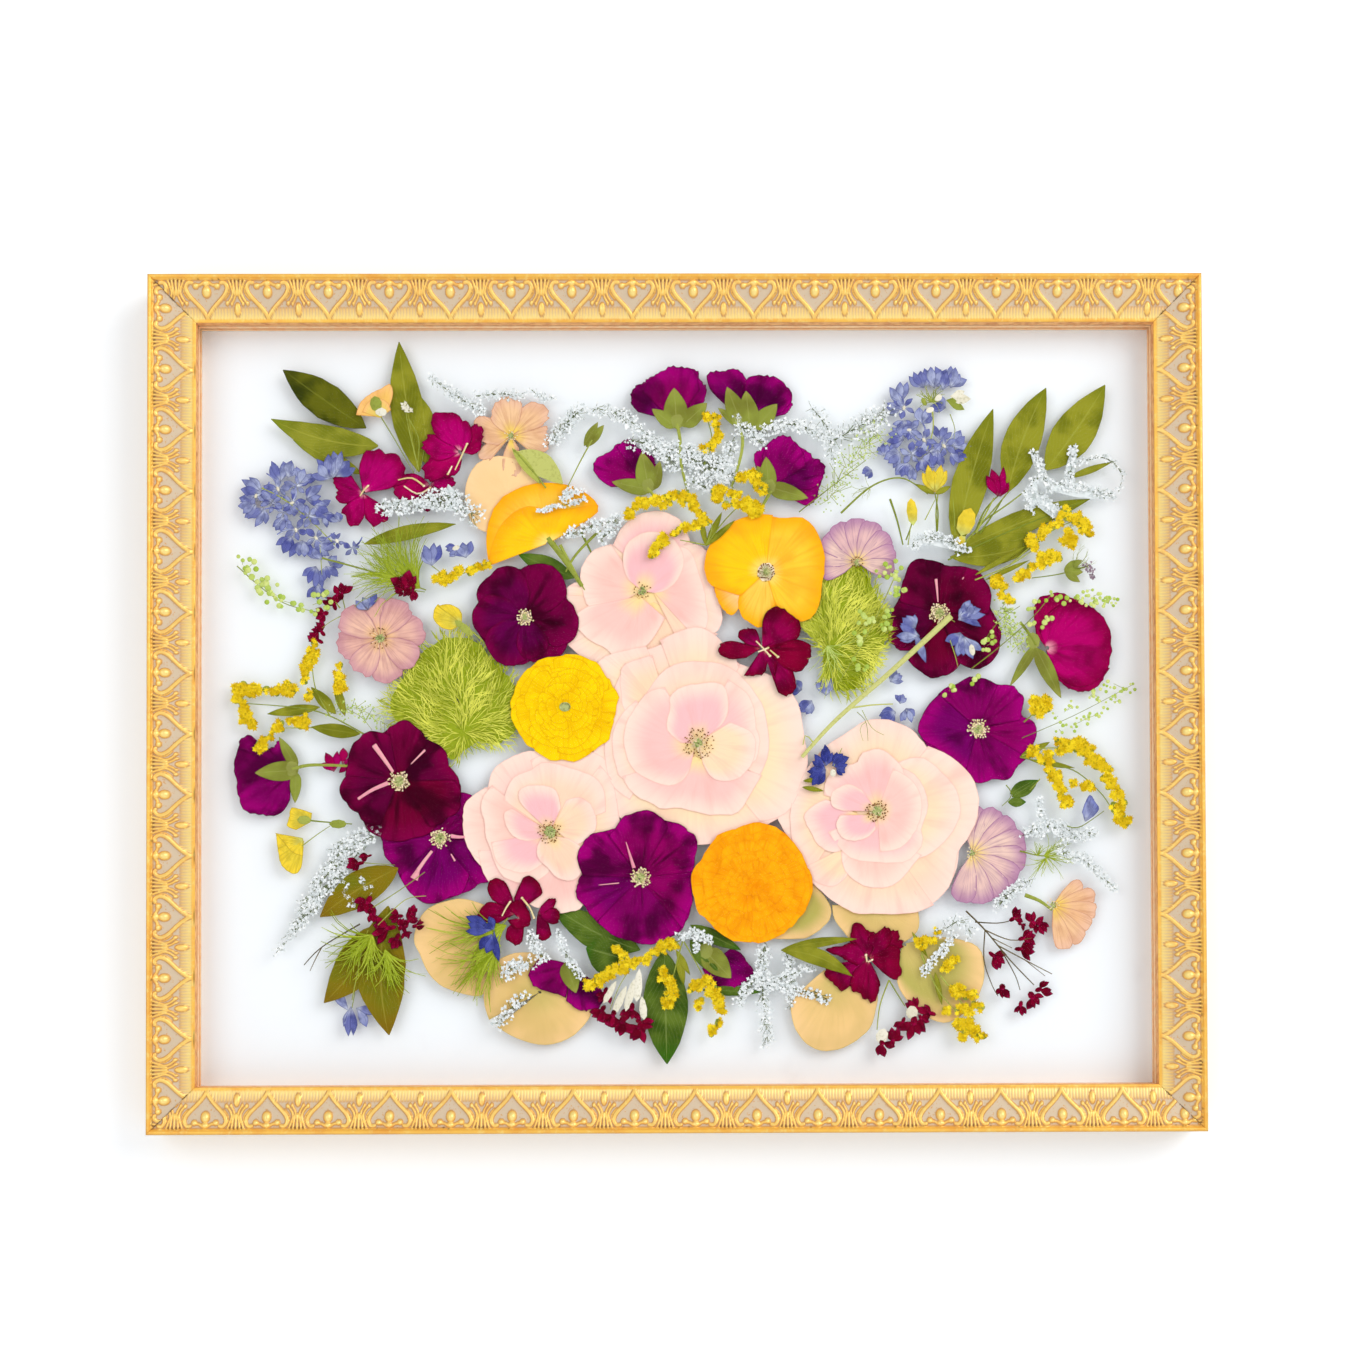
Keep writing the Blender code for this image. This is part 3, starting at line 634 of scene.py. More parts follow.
BUD_SKIN = PetalFinish("yellow_bud_petal", srgb(206, 214, 120), srgb(240, 212, 60), srgb(222, 202, 70),
                       srgb(250, 216, 60), srgb(176, 150, 40), inner_end=0.5, blotch=0.35,
                       blotch_scale=260.0, grain=0.5, line=0.8)
OLIVE_LEAF = LeafFinish("olive_leaf", srgb(146, 146, 40), srgb(108, 112, 20), srgb(166, 168, 70),
                        srgb(118, 124, 22))
DARK_LEAF = LeafFinish("dark_leaf", srgb(98, 100, 18), srgb(44, 52, 6), srgb(126, 130, 44),
                       srgb(66, 70, 12))
FADED_LEAF = LeafFinish("faded_leaf", srgb(142, 144, 44), srgb(112, 118, 26), srgb(176, 174, 70),
                        srgb(120, 132, 30))
GREEN_LEAF = LeafFinish("green_leaf", srgb(96, 118, 40), srgb(58, 84, 18), srgb(136, 152, 80),
                        srgb(50, 100, 14))
BRONZE_LEAF = LeafFinish("bronze_leaf", srgb(114, 114, 20), srgb(132, 112, 18), srgb(166, 154, 58),
                         srgb(126, 98, 16))
SEPAL = LeafFinish("sepal", srgb(140, 150, 60), srgb(116, 118, 44), srgb(160, 164, 90), srgb(150, 152, 70))
STEM = TintFinish("green_stem", srgb(122, 136, 46), srgb(172, 180, 84), srgb(96, 96, 42))
TWIG = TintFinish("dark_twig", srgb(84, 74, 50), srgb(120, 104, 66), srgb(60, 44, 34))
STAMEN = TintFinish("stamen", srgb(224, 206, 140), srgb(252, 232, 204), srgb(196, 156, 110))
PISTIL = TintFinish("green_eye", srgb(134, 148, 78), srgb(196, 200, 136), srgb(92, 92, 48), share=0.6)
POLLEN = TintFinish("brown_pollen", srgb(92, 56, 28), srgb(156, 104, 50), srgb(64, 40, 24))
STREAK = TintFinish("pink_streak", srgb(236, 150, 170), srgb(244, 176, 180), srgb(214, 110, 150))
LACE = TintFinish("sea_lavender", srgb(214, 221, 222), srgb(252, 254, 254), srgb(112, 124, 108), share=0.45)
FELT = TintFinish("silver_felt", srgb(216, 224, 224), srgb(250, 252, 252), srgb(150, 164, 156),
                  share=0.4, scale=300.0)
STALK = TintFinish("lavender_stalk", srgb(84, 98, 58), srgb(128, 138, 92), srgb(66, 68, 48))
PALE_STEM = TintFinish("pale_stem", srgb(178, 184, 86), srgb(210, 210, 136), srgb(146, 148, 66))
GOLD_FLORET = TintFinish("goldenrod_floret", srgb(206, 164, 2), srgb(255, 228, 44),
                         srgb(126, 106, 6), share=0.55)
LIME = TintFinish("lime_bead", srgb(160, 190, 66), srgb(216, 226, 140), srgb(150, 160, 84))
FRINGE = TintFinish("lime_fringe", srgb(148, 162, 6), srgb(238, 238, 104), srgb(116, 130, 2),
                    share=0.25, scale=160.0)
FRINGE_BASE = TintFinish("fringe_base", srgb(138, 154, 24), srgb(164, 178, 48), srgb(100, 116, 12))
WAX = TintFinish("dark_red_bud", srgb(112, 0, 26), srgb(160, 10, 60), srgb(60, 0, 16))
WAX_PETAL = PetalFinish("dark_red_bud", srgb(96, 30, 40), srgb(146, 4, 50), srgb(104, 0, 26),
                        srgb(164, 12, 74), srgb(48, 0, 14), inner_end=0.3, blotch=0.5, blotch_scale=300.0,
                        grain=0.5, line=0.8)
CREAM = TintFinish("cream_bud", srgb(222, 216, 192), srgb(244, 240, 224), srgb(176, 172, 132), share=0.45)
SEED_HEAD = TintFinish("seed_head", srgb(126, 104, 120), srgb(160, 138, 150), srgb(90, 70, 84))
FERN = TintFinish("fern_thread", srgb(132, 150, 22), srgb(184, 198, 66), srgb(96, 112, 18))


# ---- the gilded rails ----------------------------------------------------------------------------------
class Side(Enum):
    """The four rails, by the side of the frame that each makes."""

    TOP = "top"
    BOTTOM = "bottom"
    LEFT = "left"
    RIGHT = "right"

    @property
    def level(self) -> bool:
        """Whether the rail lies level."""
        return self in (Side.TOP, Side.BOTTOM)

    def spot(self, along: np.ndarray, inset: np.ndarray) -> tuple[np.ndarray, np.ndarray]:
        """Turn places on the rail into places on the frame.

        Args:
            along: Places along the rail, from its middle.
            inset: How far in from the frame's outside they lie.

        Returns:
            Their x and z from the middle of the frame.
        """
        if self.level:
            return along, (HALF_HEIGHT - inset) * (1 if self is Side.TOP else -1)
        return (HALF_WIDTH - inset) * (1 if self is Side.RIGHT else -1), along


def ridge(distance: np.ndarray, half: float, rise: float) -> np.ndarray:
    """A rounded ridge: its height at some distance from its middle line."""
    return rise * np.clip(1.0 - (distance / half) ** 2, 0.0, 1.0)


def off_line(across: np.ndarray, inset: np.ndarray, line: list[Place]) -> np.ndarray:
    """Measure how far points lie from a line of straight stretches.

    Args:
        across: The points' first coordinate.
        inset: Their second coordinate.
        line: The line's corners.

    Returns:
        Each point's distance to the nearest stretch.
    """
    nearest = np.full(across.shape, 1e9)
    for (ax, ay), (bx, by) in zip(line, line[1:]):
        dx, dy = bx - ax, by - ay
        t = np.clip(((across - ax) * dx + (inset - ay) * dy) / (dx * dx + dy * dy), 0.0, 1.0)
        nearest = np.minimum(nearest, np.hypot(across - ax - t * dx, inset - ay - t * dy))
    return nearest


def rounded(points: list[Place], steps: int = 5) -> list[Place]:
    """Draw a smooth curve through points.

    Args:
        points: What the curve passes through.
        steps: Stretches between two points.

    Returns:
        Points along the curve.
    """
    known = np.array(points, float)
    count = len(known)
    made = []
    for i in range(count - 1):
        a, b, c, d = (known[min(max(k, 0), count - 1)] for k in range(i - 1, i + 3))
        for step in range(steps):
            t = step / steps
            made.append(0.5 * (2 * b + (c - a) * t + (2 * a - 5 * b + 4 * c - d) * t * t
                               + (3 * b - 3 * c + d - a) * t ** 3))
    made.append(known[-1])
    return [tuple(float(v) for v in p) for p in made]


@dataclass(frozen=True)
class Ornament:
    """The moulding's section and its hearts and palmettes, over half of one repeat."""

    pitch: float = 31.5
    steps: int = 37               # columns of the mesh from a heart to the palmette beside it
    groove: float = 2.9
    frieze_end: float = 22.7
    comb_pitch: float = 1.575
    comb_start: float = 16.5
    section: tuple[Place, ...] = ((0.0, 25.6), (0.3, 26.9), (0.9, 27.7), (1.6, 27.9), (2.2, 27.5),
                                  (2.6, 26.5), (2.9, 25.5), (3.6, 25.2), (22.3, 20.5), (22.8, 20.75),
                                  (23.6, 20.7), (24.0, 20.3))
    heart: tuple[Place, ...] = ((0.0, 21.9), (1.1, 19.8), (2.8, 17.4), (4.7, 15.3), (6.8, 13.2),
                                (8.7, 11.2), (10.1, 9.1), (10.6, 7.1), (10.2, 5.4), (9.0, 4.4),
                                (7.6, 4.6))
    garland: tuple[Place, ...] = ((0.0, 3.8), (1.6, 4.6), (3.2, 5.6), (4.8, 5.6))
    # each boss: its place, half its width, half its length and its height
    heart_bosses: tuple[tuple[float, ...], ...] = (
        (0.0, 4.9, 2.3, 1.9, 1.5), (0.0, 9.1, 2.6, 3.2, 2.2), (5.5, 6.2, 1.8, 1.7, 1.8))
    leaf_bosses: tuple[tuple[float, ...], ...] = ((5.2, 14.6, 1.1, 1.5, 1.5), (2.9, 14.9, 0.9, 1.3, 1.3))
    # each stroke of half a palmette: half its width, its height and its course from the waist's axis
    strokes: tuple[tuple[float, float, tuple[Place, ...]], ...] = (
        (0.8, 1.3, ((0.0, 3.0), (0.0, 10.4))),
        (0.75, 1.2, ((2.1, 3.0), (1.7, 6.2), (1.2, 10.0))),
        (0.75, 1.1, ((4.1, 3.3), (3.1, 6.2), (2.3, 9.2), (2.9, 11.6), (4.4, 13.8))),
        (0.5, 0.7, ((5.6, 4.2), (4.3, 6.4), (3.9, 8.6), (4.8, 10.8), (6.6, 12.8))),
        (0.7, 1.0, ((0.9, 10.6), (1.5, 12.4), (2.6, 14.2))))

    @property
    def insets(self) -> np.ndarray:
        """Where the mesh's rows run, from the outside of the frame inwards.

        Returns:
            Distances in mm from the rail's outer edge, in rising order.
        """
        bead = np.linspace(0.0, self.groove, 6)
        frieze = np.linspace(self.groove, self.comb_start, 25)[1:]
        comb = np.linspace(self.comb_start, self.frieze_end, 8)[1:]
        return np.concatenate([bead, frieze, comb, [23.1, 23.6, RAIL_WIDTH]])

    def carve(self) -> tuple[np.ndarray, np.ndarray, np.ndarray]:
        """Work out the carved surface from a heart's middle to the next palmette's.

        Returns:
            Heights, share of wash in the recesses and share of painted highlight on the high ridges, by
            column and row.
        """
        columns = np.linspace(0.0, self.pitch / 2, self.steps + 1)
        across, inset = np.meshgrid(columns, self.insets, indexing="ij")
        leaf = self.pitch / 2 - across
        base = np.interp(inset, *zip(*self.section))
        band = off_line(across, inset, rounded(list(self.heart)))
        rise = ridge(band, 1.2, 1.35) - ridge(band, 0.4, 0.35)
        for x, y, wide, tall, high in self.heart_bosses:
            rise = np.maximum(rise, ridge(np.hypot((across - x) / wide, (inset - y) / tall), 1.0, high))
        rise = np.maximum(rise, ridge(off_line(across, inset, rounded(list(self.garland))), 0.9, 1.0))
        for half, high, line in self.strokes:
            rise = np.maximum(rise, ridge(off_line(leaf, inset, rounded(list(line))), half, high))
        for x, y, wide, tall, high in self.leaf_bosses:
            rise = np.maximum(rise, ridge(np.hypot((leaf - x) / wide, (inset - y) / tall), 1.0, high))
        tongue = np.hypot(leaf / 1.9, (inset - 17.6) / 3.9)
        rise = np.maximum(rise, ridge(tongue, 1.0, 1.7) - ridge(tongue, 0.62, 0.6)
                          + ridge(tongue, 0.3, 0.4))
        frieze = (inset > self.groove) & (inset < self.frieze_end - 0.1)
        rise = np.where(frieze, rise, 0.0)
        inside = (band > 0.6) & (across < np.interp(inset, [4, 8, 13, 22], [10.0, 9.6, 6.5, 0.0]))
        combed = np.clip((inset - 16.0) / 1.5, 0.0, 1.0) * frieze * (rise < 0.12) * ~inside
        teeth = 0.5 + 0.5 * np.cos(2 * math.pi * across / self.comb_pitch)
        rise += combed * 0.5 * teeth
        beyond = np.clip((inset - self.groove) / 0.9, 0.0, 1.0)
        recess = np.clip(1.0 - rise / 0.6, 0.0, 1.0) * frieze * beyond
        faded = 1.0 - combed * np.clip((inset - 19.0) / 4.0, 0.0, 0.85)
        recess = np.maximum(recess * (1.0 - 0.35 * combed), combed * (1.0 - teeth) * 0.5) * faded
        # painted highlight: paler gold on the high ridges, and over the comb's ribs more strongly towards
        # the lip
        crest_highlight = np.clip((rise - 0.75) / 0.9, 0.0, 0.7)
        crest_highlight = np.maximum(crest_highlight, combed * np.clip(0.34 + (inset - 17.0) / 14.0, 0.0, 0.6))
        return base + rise, recess, crest_highlight


@dataclass
class CarvedRail:
    """One mitred rail, carved on its face, with raw wood behind."""

    side: Side
    phase: float                  # where the first heart sits, from the rail's middle
    gap: float = 0.03             # half of the joint at the mitre
    rabbet: float = 15.0          # height of the lip's underside
    specks: int = 60
    seed: int = 3

    @property
    def half(self) -> float:
        """Half of the rail's outside length."""
        return HALF_WIDTH if self.side.level else HALF_HEIGHT

    def columns(self, ornament: Ornament) -> tuple[np.ndarray, np.ndarray]:
        """Work out the mesh's columns.

        Args:
            ornament: What is carved on the rail.

        Returns:
            Where each column stands, and which column of the half repeat it shows.
        """
        step = ornament.pitch / 2 / ornament.steps
        first = math.floor((-self.half - self.phase) / step)
        last = math.ceil((self.half - self.phase) / step)
        number = np.arange(first, last + 1)
        within = np.abs((number + ornament.steps) % (2 * ornament.steps) - ornament.steps)
        return self.phase + number * step, within

    def wear_shade_and_reflection(self, along: np.ndarray, inset: np.ndarray, pitch: float) -> np.ndarray:
        """Work out the dark marks: specks in the groove, painted shade in the gaps between the palmette's
        flutes, painted reflections of the heart tips on the left rail's lip and cracks at the mitres.

        Args:
            along: Places along the rail, from its middle.
            inset: How far in from the frame's outside they lie.
            pitch: Length of one repeat of the ornament.

        Returns:
            How dark each place is, of 0 to 1.
        """
        rng = np.random.default_rng(self.seed + len(self.side.value))
        darkened = np.zeros(along.shape)
        for _ in range(self.specks):
            where = rng.uniform(-self.half, self.half)
            deep, size = rng.uniform(2.6, 3.7), rng.uniform(0.3, 0.7)
            near = np.clip(1.3 - np.hypot(along - where, (inset - deep) * 1.4) / size, 0.0, 1.0)
            darkened = np.maximum(darkened, near * rng.uniform(0.4, 0.9))
        from_leaf = np.abs((along - self.phase) % pitch - pitch / 2)
        # painted shade: dark notches in the gaps between the palmette's flutes
        for gap, deep in ((1.0, 3.5), (3.0, 3.6)):
            notch = np.clip(1.2 - np.hypot((from_leaf - gap) / 0.5, (inset - deep) / 0.9), 0.0, 0.75)
            darkened = np.maximum(darkened, notch)
        # painted reflection: dark dashes of the heart tips mirrored on the left rail's lip
        if not self.side.level:
            from_heart = pitch / 2 - from_leaf
            tip_reflection = np.clip(1.3 - np.hypot(from_heart / 4.2, (inset - 23.5) / 0.35), 0.0, 0.8)
            darkened = np.maximum(darkened, tip_reflection * (self.side is Side.LEFT))
        mitre = self.half - inset - np.abs(along)
        ragged = 0.03 + 0.6 * np.clip(np.sin(inset * 0.9 + self.seed) + 0.4 * np.sin(inset * 4.7), 0.0, 1.0)
        return np.maximum(darkened, np.clip(1.1 - mitre / ragged, 0.0, 0.85))

    def build(self, ornament: Ornament, finishes: tuple[bpy.types.Material, ...]) -> bpy.types.Object:
        """Build the rail as one closed mesh.

        Args:
            ornament: What is carved on it.
            finishes: Of all that is seen from the front, of the back, and of the lip's inner edge.

        Returns:
            The rail's object.
        """
        along, within = self.columns(ornament)
        insets = ornament.insets
        rows = len(insets)
        limit = self.half - insets - self.gap
        first = np.searchsorted(along, -limit, side="right") - 1
        last = np.searchsorted(along, limit, side="left")
        shown = np.clip(np.arange(len(along))[:, None], first[None, :], last[None, :])
        ids = shown * rows + np.arange(rows)[None, :]
        where = np.clip(np.repeat(along[:, None], rows, axis=1), -limit, limit)
        inset = np.repeat(insets[None, :], len(along), axis=0)
        high, recess, crest_highlight = (grid[within] for grid in ornament.carve())
        x, z = self.side.spot(where, inset)
        points = np.stack([x, -high, z + MIDDLE_Z], axis=-1).reshape(-1, 3) * MM
        back = []
        rear = ((RAIL_WIDTH, self.rabbet), (BACK_WIDTH, self.rabbet), (BACK_WIDTH, 0.0), (0.0, 0.0))
        for end in (-1, 1):
            for edge, tall in rear:
                bx, bz = self.side.spot(np.float64(end * (self.half - edge - self.gap)), np.float64(edge))
                back.append((bx * MM, -tall * MM, (bz + MIDDLE_Z) * MM))
        start = len(points)
        left, right = [start + i for i in range(4)], [start + 4 + i for i in range(4)]
        quads = np.stack([ids[:-1, :-1], ids[1:, :-1], ids[1:, 1:], ids[:-1, 1:]], axis=-1).reshape(-1, 4)
        faces = [tuple(dict.fromkeys(quad)) for quad in quads.tolist()]
        faces = [face for face in faces if len(face) > 2]
        carved = len(faces)
        outer, lip = list(dict.fromkeys(ids[:, 0].tolist())), list(dict.fromkeys(ids[:, -1].tolist()))
        faces += [tuple(outer + [right[3], left[3]])]
        gilt = len(faces)
        faces += [tuple(lip + [right[0], left[0]])]
        faces += [(left[i], left[i + 1], right[i + 1], right[i]) for i in range(3)]
        faces += [tuple(ids[0].tolist() + left), tuple(ids[-1].tolist() + right)]
        worth = (recess, crest_highlight, self.wear_shade_and_reflection(where, inset, ornament.pitch))
        return self.finish(points, back, faces, carved, gilt, worth, finishes)

    def finish(self, points: np.ndarray, back: list, faces: list, carved: int, gilt: int,
               worth: tuple[np.ndarray, ...], finishes: tuple[bpy.types.Material, ...]) -> bpy.types.Object:
        """Put the rail's points and faces in a mesh and give it its attributes.

        Args:
            points: The carved face's points.
            back: The eight points behind.
            faces: All faces.
            carved: How many of them are carved.
            gilt: How many are gilded.
            worth: Recess, painted highlight on the high ridges, and the dark marks (specks, cracks, painted
                shade and painted reflection) at the carved points.
            finishes: Gilding, raw wood, and the lip's bole-red face, darkened as painted shade.

        Returns:
            The rail's object.
        """
        used = np.unique(np.concatenate([np.array(face) for face in faces]))
        fresh = np.zeros(len(points) + len(back), int)
        fresh[used] = np.arange(len(used))
        every = np.concatenate([points, np.array(back)])[used]
        mesh = bpy.data.meshes.new(f"gilded_rail_{self.side.value}")
        mesh.from_pydata(every.tolist(), [], [tuple(fresh[i] for i in face) for face in faces])
        for name, values in zip(("recess", "crest_highlight", "wear_shade_and_reflection"), worth):
            full = np.concatenate([values.reshape(-1), np.zeros(len(back))])[used]
            mesh.attributes.new(name, "FLOAT", "POINT").data.foreach_set("value", full.astype(np.float32))
        slots = np.zeros(len(faces), np.int32)
        slots[gilt] = 2
        slots[gilt + 1:] = 1
        smooth = np.zeros(len(faces), bool)
        smooth[:carved] = True
        mesh.polygons.foreach_set("material_index", slots)
        mesh.polygons.foreach_set("use_smooth", smooth)
        for finish in finishes:
            mesh.materials.append(finish)
        make_outward(mesh)
        return add_piece(mesh, f"rail_{self.side.value}")


def make_outward(mesh: bpy.types.Mesh) -> None:
    """Turn every face of a mesh of closed bodies outwards.

    Args:
        mesh: A closed mesh.
    """
    form = bmesh.new()
    form.from_mesh(mesh)
    bmesh.ops.recalc_face_normals(form, faces=form.faces)
    form.to_mesh(mesh)
    form.free()


def add_piece(mesh: bpy.types.Mesh, node: str | None) -> bpy.types.Object:
    """Make an object of a finished mesh, and say what it rides on and stands for.

    Args:
        mesh: The mesh, whose name the object takes.
        node: The CAD node that it replaces, if there is one.

    Returns:
        The object.
    """
    made = bpy.data.objects.new(mesh.name, mesh)
    bpy.context.collection.objects.link(made)
    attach(made, BODY)
    if node:
        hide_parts(node)
    LOG.info("%s: %d faces", made.name, len(mesh.polygons))
    return made


@dataclass
class GildedFrame:
    """The four carved rails."""

    level_phase: float = -242.7       # the first heart of the top and bottom rails
    upright_phase: float = -204.75
    ornament: Ornament = field(default_factory=Ornament)

    def build(self) -> None:
        """Build and dress the rails."""
        gilding = GildedFinish().material()
        pale, dark = srgb(202, 168, 122), srgb(168, 128, 84)
        wood = {level: WoodFinish("rail_back_wood", pale, dark, along).material()
                for level, along in ((True, (0.05, 1.0, 1.0)), (False, (1.0, 1.0, 0.05)))}
        # the lip's inner face: a bole red, darkened as painted shade under the lip
        bole_and_shade = WoodFinish("lip_bole_and_shade", srgb(244, 182, 110), srgb(208, 134, 70)).material()
        for side in Side:
            phase = self.level_phase if side.level else self.upright_phase
            CarvedRail(side, phase).build(self.ornament, (gilding, wood[side.level], bole_and_shade))


@dataclass
class Glazing:
    """The two panes, the wood strips that part them, the board and the hangers: CAD nodes, dressed."""

    glass: GlassFinish = field(default_factory=GlassFinish)
    spacer: WoodFinish = WoodFinish("spacer_wood", srgb(255, 212, 160), srgb(252, 190, 132))
    board: BoardFinish = field(default_factory=BoardFinish)
    steel: SteelFinish = field(default_factory=SteelFinish)

    def build(self) -> None:
        """Give each node its finish."""
        finishes = {"glass_front": self.glass, "glass_back": self.glass, "pane_spacer": self.spacer,
                    "backing_spacer": self.spacer, "backing_board": self.board,
                    "hanger_left": self.steel, "hanger_right": self.steel}
        made = {finish: finish.material() for finish in dict.fromkeys(finishes.values())}
        for node, finish in finishes.items():
            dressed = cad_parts[node]
            for slot in dressed.material_slots:
                slot.link = "OBJECT"
                slot.material = made[finish]
            LOG.info("%s: %s", node, finish.name)


# ---- shapes that specimens are made of -----------------------------------------------------------------
def evenly(points: np.ndarray, count: int) -> np.ndarray:
    """Space points evenly along a line.

    Args:
        points: The line's points.
        count: How many are wanted.

    Returns:
        The new points, from end to end.
    """
    run = np.concatenate([[0.0], np.cumsum(np.linalg.norm(np.diff(points, axis=0), axis=1))])
    wanted = np.linspace(0.0, run[-1], count)
    return np.stack([np.interp(wanted, run, points[:, k]) for k in range(points.shape[1])], axis=-1)


def smooth_line(points: list[Place], count: int) -> np.ndarray:
    """A smooth curve through points, as evenly spaced points."""
    return evenly(np.array(rounded(points, 6)), count)


def crumple(x: np.ndarray, z: np.ndarray, seed: int, length: float) -> np.ndarray:
    """Gentle waves over a surface, of about -1 to 1.

    Args:
        x: First coordinate.
        z: Second coordinate.
        seed: Which waves.
        length: Their usual length.

    Returns:
        The waves' height.
    """
    rng = np.random.default_rng(seed)
    total = np.zeros(np.shape(x))
    for _ in range(5):
        way, phase = rng.uniform(0, 2 * math.pi, 2)
        k = 2 * math.pi / (length * rng.uniform(0.6, 1.6))
        total += np.sin(k * (x * math.cos(way) + z * math.sin(way)) + phase)
    return total / 3.0


NO_EDGE = 3.0           # the edge mark of a place that lies this far or farther from its petal's edge
SHEET_BACK = 0.03       # how far a sheet's flat back lies behind its lowest place
STAR_NOTCH = 0.5        # how far in the notches of a tiny flower reach
STAR_DEEP = 0.35        # how deep it is
SHARP_ANGLE = math.radians(60)


class Sketch:
    """A piece under way: thin sheets, stems, beads and stars, each a closed body of its own.

    Points are (x, height, z) in millimetres.  Each holds its place on its petal, its distance from the
    petal's edge and a number of its petal's own, which the finishes read.
    """

    def __init__(self, seed: int) -> None:
        """Start with nothing.

        Args:
            seed: The seed of its random draws.
        """
        self.points: list[np.ndarray] = []
        self.faces: list[tuple[int, ...]] = []
        self.marks: list[np.ndarray] = []
        self.slots: list[int] = []
        self.count = 0
        self.random = random.Random(seed)

    def put(self, points: np.ndarray, faces: list[tuple[int, ...]], marks: np.ndarray, slot: int) -> None:
        """Add a body.

        Args:
            points: Its points.
            faces: Its faces, by the numbers of its own points.
            marks: (across, along, edge, tint) at each point.
            slot: Which finish of the piece it takes.
        """
        start = self.count
        self.points.append(points)
        self.marks.append(marks)
        self.faces += [tuple(start + i for i in face) for face in faces]
        self.slots += [slot] * len(faces)
        self.count += len(points)

    def sheet(self, grid: np.ndarray, marks: np.ndarray, slot: int = 0) -> None:
        """Add a thin sheet.

        Args:
            grid: Its front, as rows of columns of points.
            marks: (across, along, edge, tint) at each point.
            slot: Which finish of the piece it takes.
        """
        rows, cols = grid.shape[:2]
        ids = np.arange(rows * cols).reshape(rows, cols)
        quads = np.stack([ids[:-1, :-1], ids[:-1, 1:], ids[1:, 1:], ids[1:, :-1]], axis=-1).reshape(-1, 4)
        loop = np.concatenate([ids[0, :-1], ids[:-1, -1], ids[-1, :0:-1], ids[:0:-1, 0]])
        back = grid.reshape(-1, 3)[loop]
        back[:, 1] = grid[..., 1].min() - SHEET_BACK
        start = rows * cols
        n = len(loop)
        faces = [tuple(q) for q in quads.tolist()]
        for i in range(n):
            j = (i + 1) % n
            faces.append((int(loop[i]), start + i, start + j, int(loop[j])))
        faces.append(tuple(range(start + n - 1, start - 1, -1)))
        flat = marks.reshape(-1, 4)
        points = np.concatenate([grid.reshape(-1, 3), back])
        self.put(points, faces, np.concatenate([flat, flat[loop]]), slot)

    def stem(self, path: np.ndarray, radii: object, slot: int = 0, sides: int = 5,
             tint: float = 0.5) -> None:
        """Add a stem or a hair.

        Args:
            path: Points (x, height, z) along it.
            radii: One radius, or one for each point.
            slot: Which finish of the piece it takes.
            sides: How many sides it has.
            tint: The number that its finish reads.
        """
        n = len(path)
        radii = np.broadcast_to(np.asarray(radii, float), (n,))
        ahead = np.gradient(path, axis=0)
        side = np.stack([-ahead[:, 2], np.zeros(n), ahead[:, 0]], axis=-1)
        side /= np.maximum(np.linalg.norm(side, axis=1, keepdims=True), 1e-9)
        turn = 2 * math.pi * np.arange(sides) / sides
        ring = (side[:, None, :] * np.cos(turn)[None, :, None]
                + np.array([0.0, 0.7, 0.0])[None, None, :] * np.sin(turn)[None, :, None])
        points = (path[:, None, :] + ring * radii[:, None, None]).reshape(-1, 3)
        faces = []
        for k in range(n - 1):
            for i in range(sides):
                j = (i + 1) % sides
                faces.append((k * sides + i, k * sides + j, (k + 1) * sides + j, (k + 1) * sides + i))
        faces.append(tuple(range(sides - 1, -1, -1)))
        faces.append(tuple(range((n - 1) * sides, n * sides)))
        marks = np.zeros((n * sides, 4))
        marks[:, 0] = 0.5
        marks[:, 1] = np.repeat(np.linspace(0.0, 1.0, n), sides)
        marks[:, 2] = NO_EDGE
        marks[:, 3] = tint
        self.put(points, faces, marks, slot)

    def bead(self, spot: tuple[float, float, float], size: tuple[float, float, float], turn: float = 0.0,
             slot: int = 0, tint: float = 0.5, sides: int = 6, blunt: float = 0.0) -> None:
        """Add a bead, bud or drop.

        Args:
            spot: Its middle, as (x, height, z).
            size: Half its length, width and thickness.
            turn: Which way its length points, in radians.
            slot: Which finish of the piece it takes.
            tint: The number that its finish reads.
            sides: How many sides it has.
            blunt: How much wider it is at its far end than at its near end.
        """
        stations = ((-0.62, 0.78 - blunt), (0.1, 1.0), (0.7, 0.7 + blunt * 0.5))
        c, s = math.cos(turn), math.sin(turn)
        points = [(-1.0, 0.0, 0.0)]
        for along, wide in stations:
            for k in range(sides):
                a = 2 * math.pi * k / sides
                points.append((along, wide * math.cos(a), wide * math.sin(a)))
        points.append((1.0, 0.0, 0.0))
        local = np.array(points) * np.array(size)
        made = np.stack([spot[0] + local[:, 0] * c - local[:, 1] * s, spot[1] + local[:, 2],
                         spot[2] + local[:, 0] * s + local[:, 1] * c], axis=-1)
        faces = [(0, 1 + (k + 1) % sides, 1 + k) for k in range(sides)]
        for row in range(len(stations) - 1):
            a, b = 1 + row * sides, 1 + (row + 1) * sides
            faces += [(a + k, a + (k + 1) % sides, b + (k + 1) % sides, b + k) for k in range(sides)]
        last, end = 1 + (len(stations) - 1) * sides, len(points) - 1
        faces += [(last + k, last + (k + 1) % sides, end) for k in range(sides)]
        marks = np.full((len(points), 4), tint)
        marks[:, 0] = 0.5
        marks[:, 1] = (np.array(points)[:, 0] + 1.0) / 2.0
        marks[:, 2] = NO_EDGE
        self.put(made, faces, marks, slot)

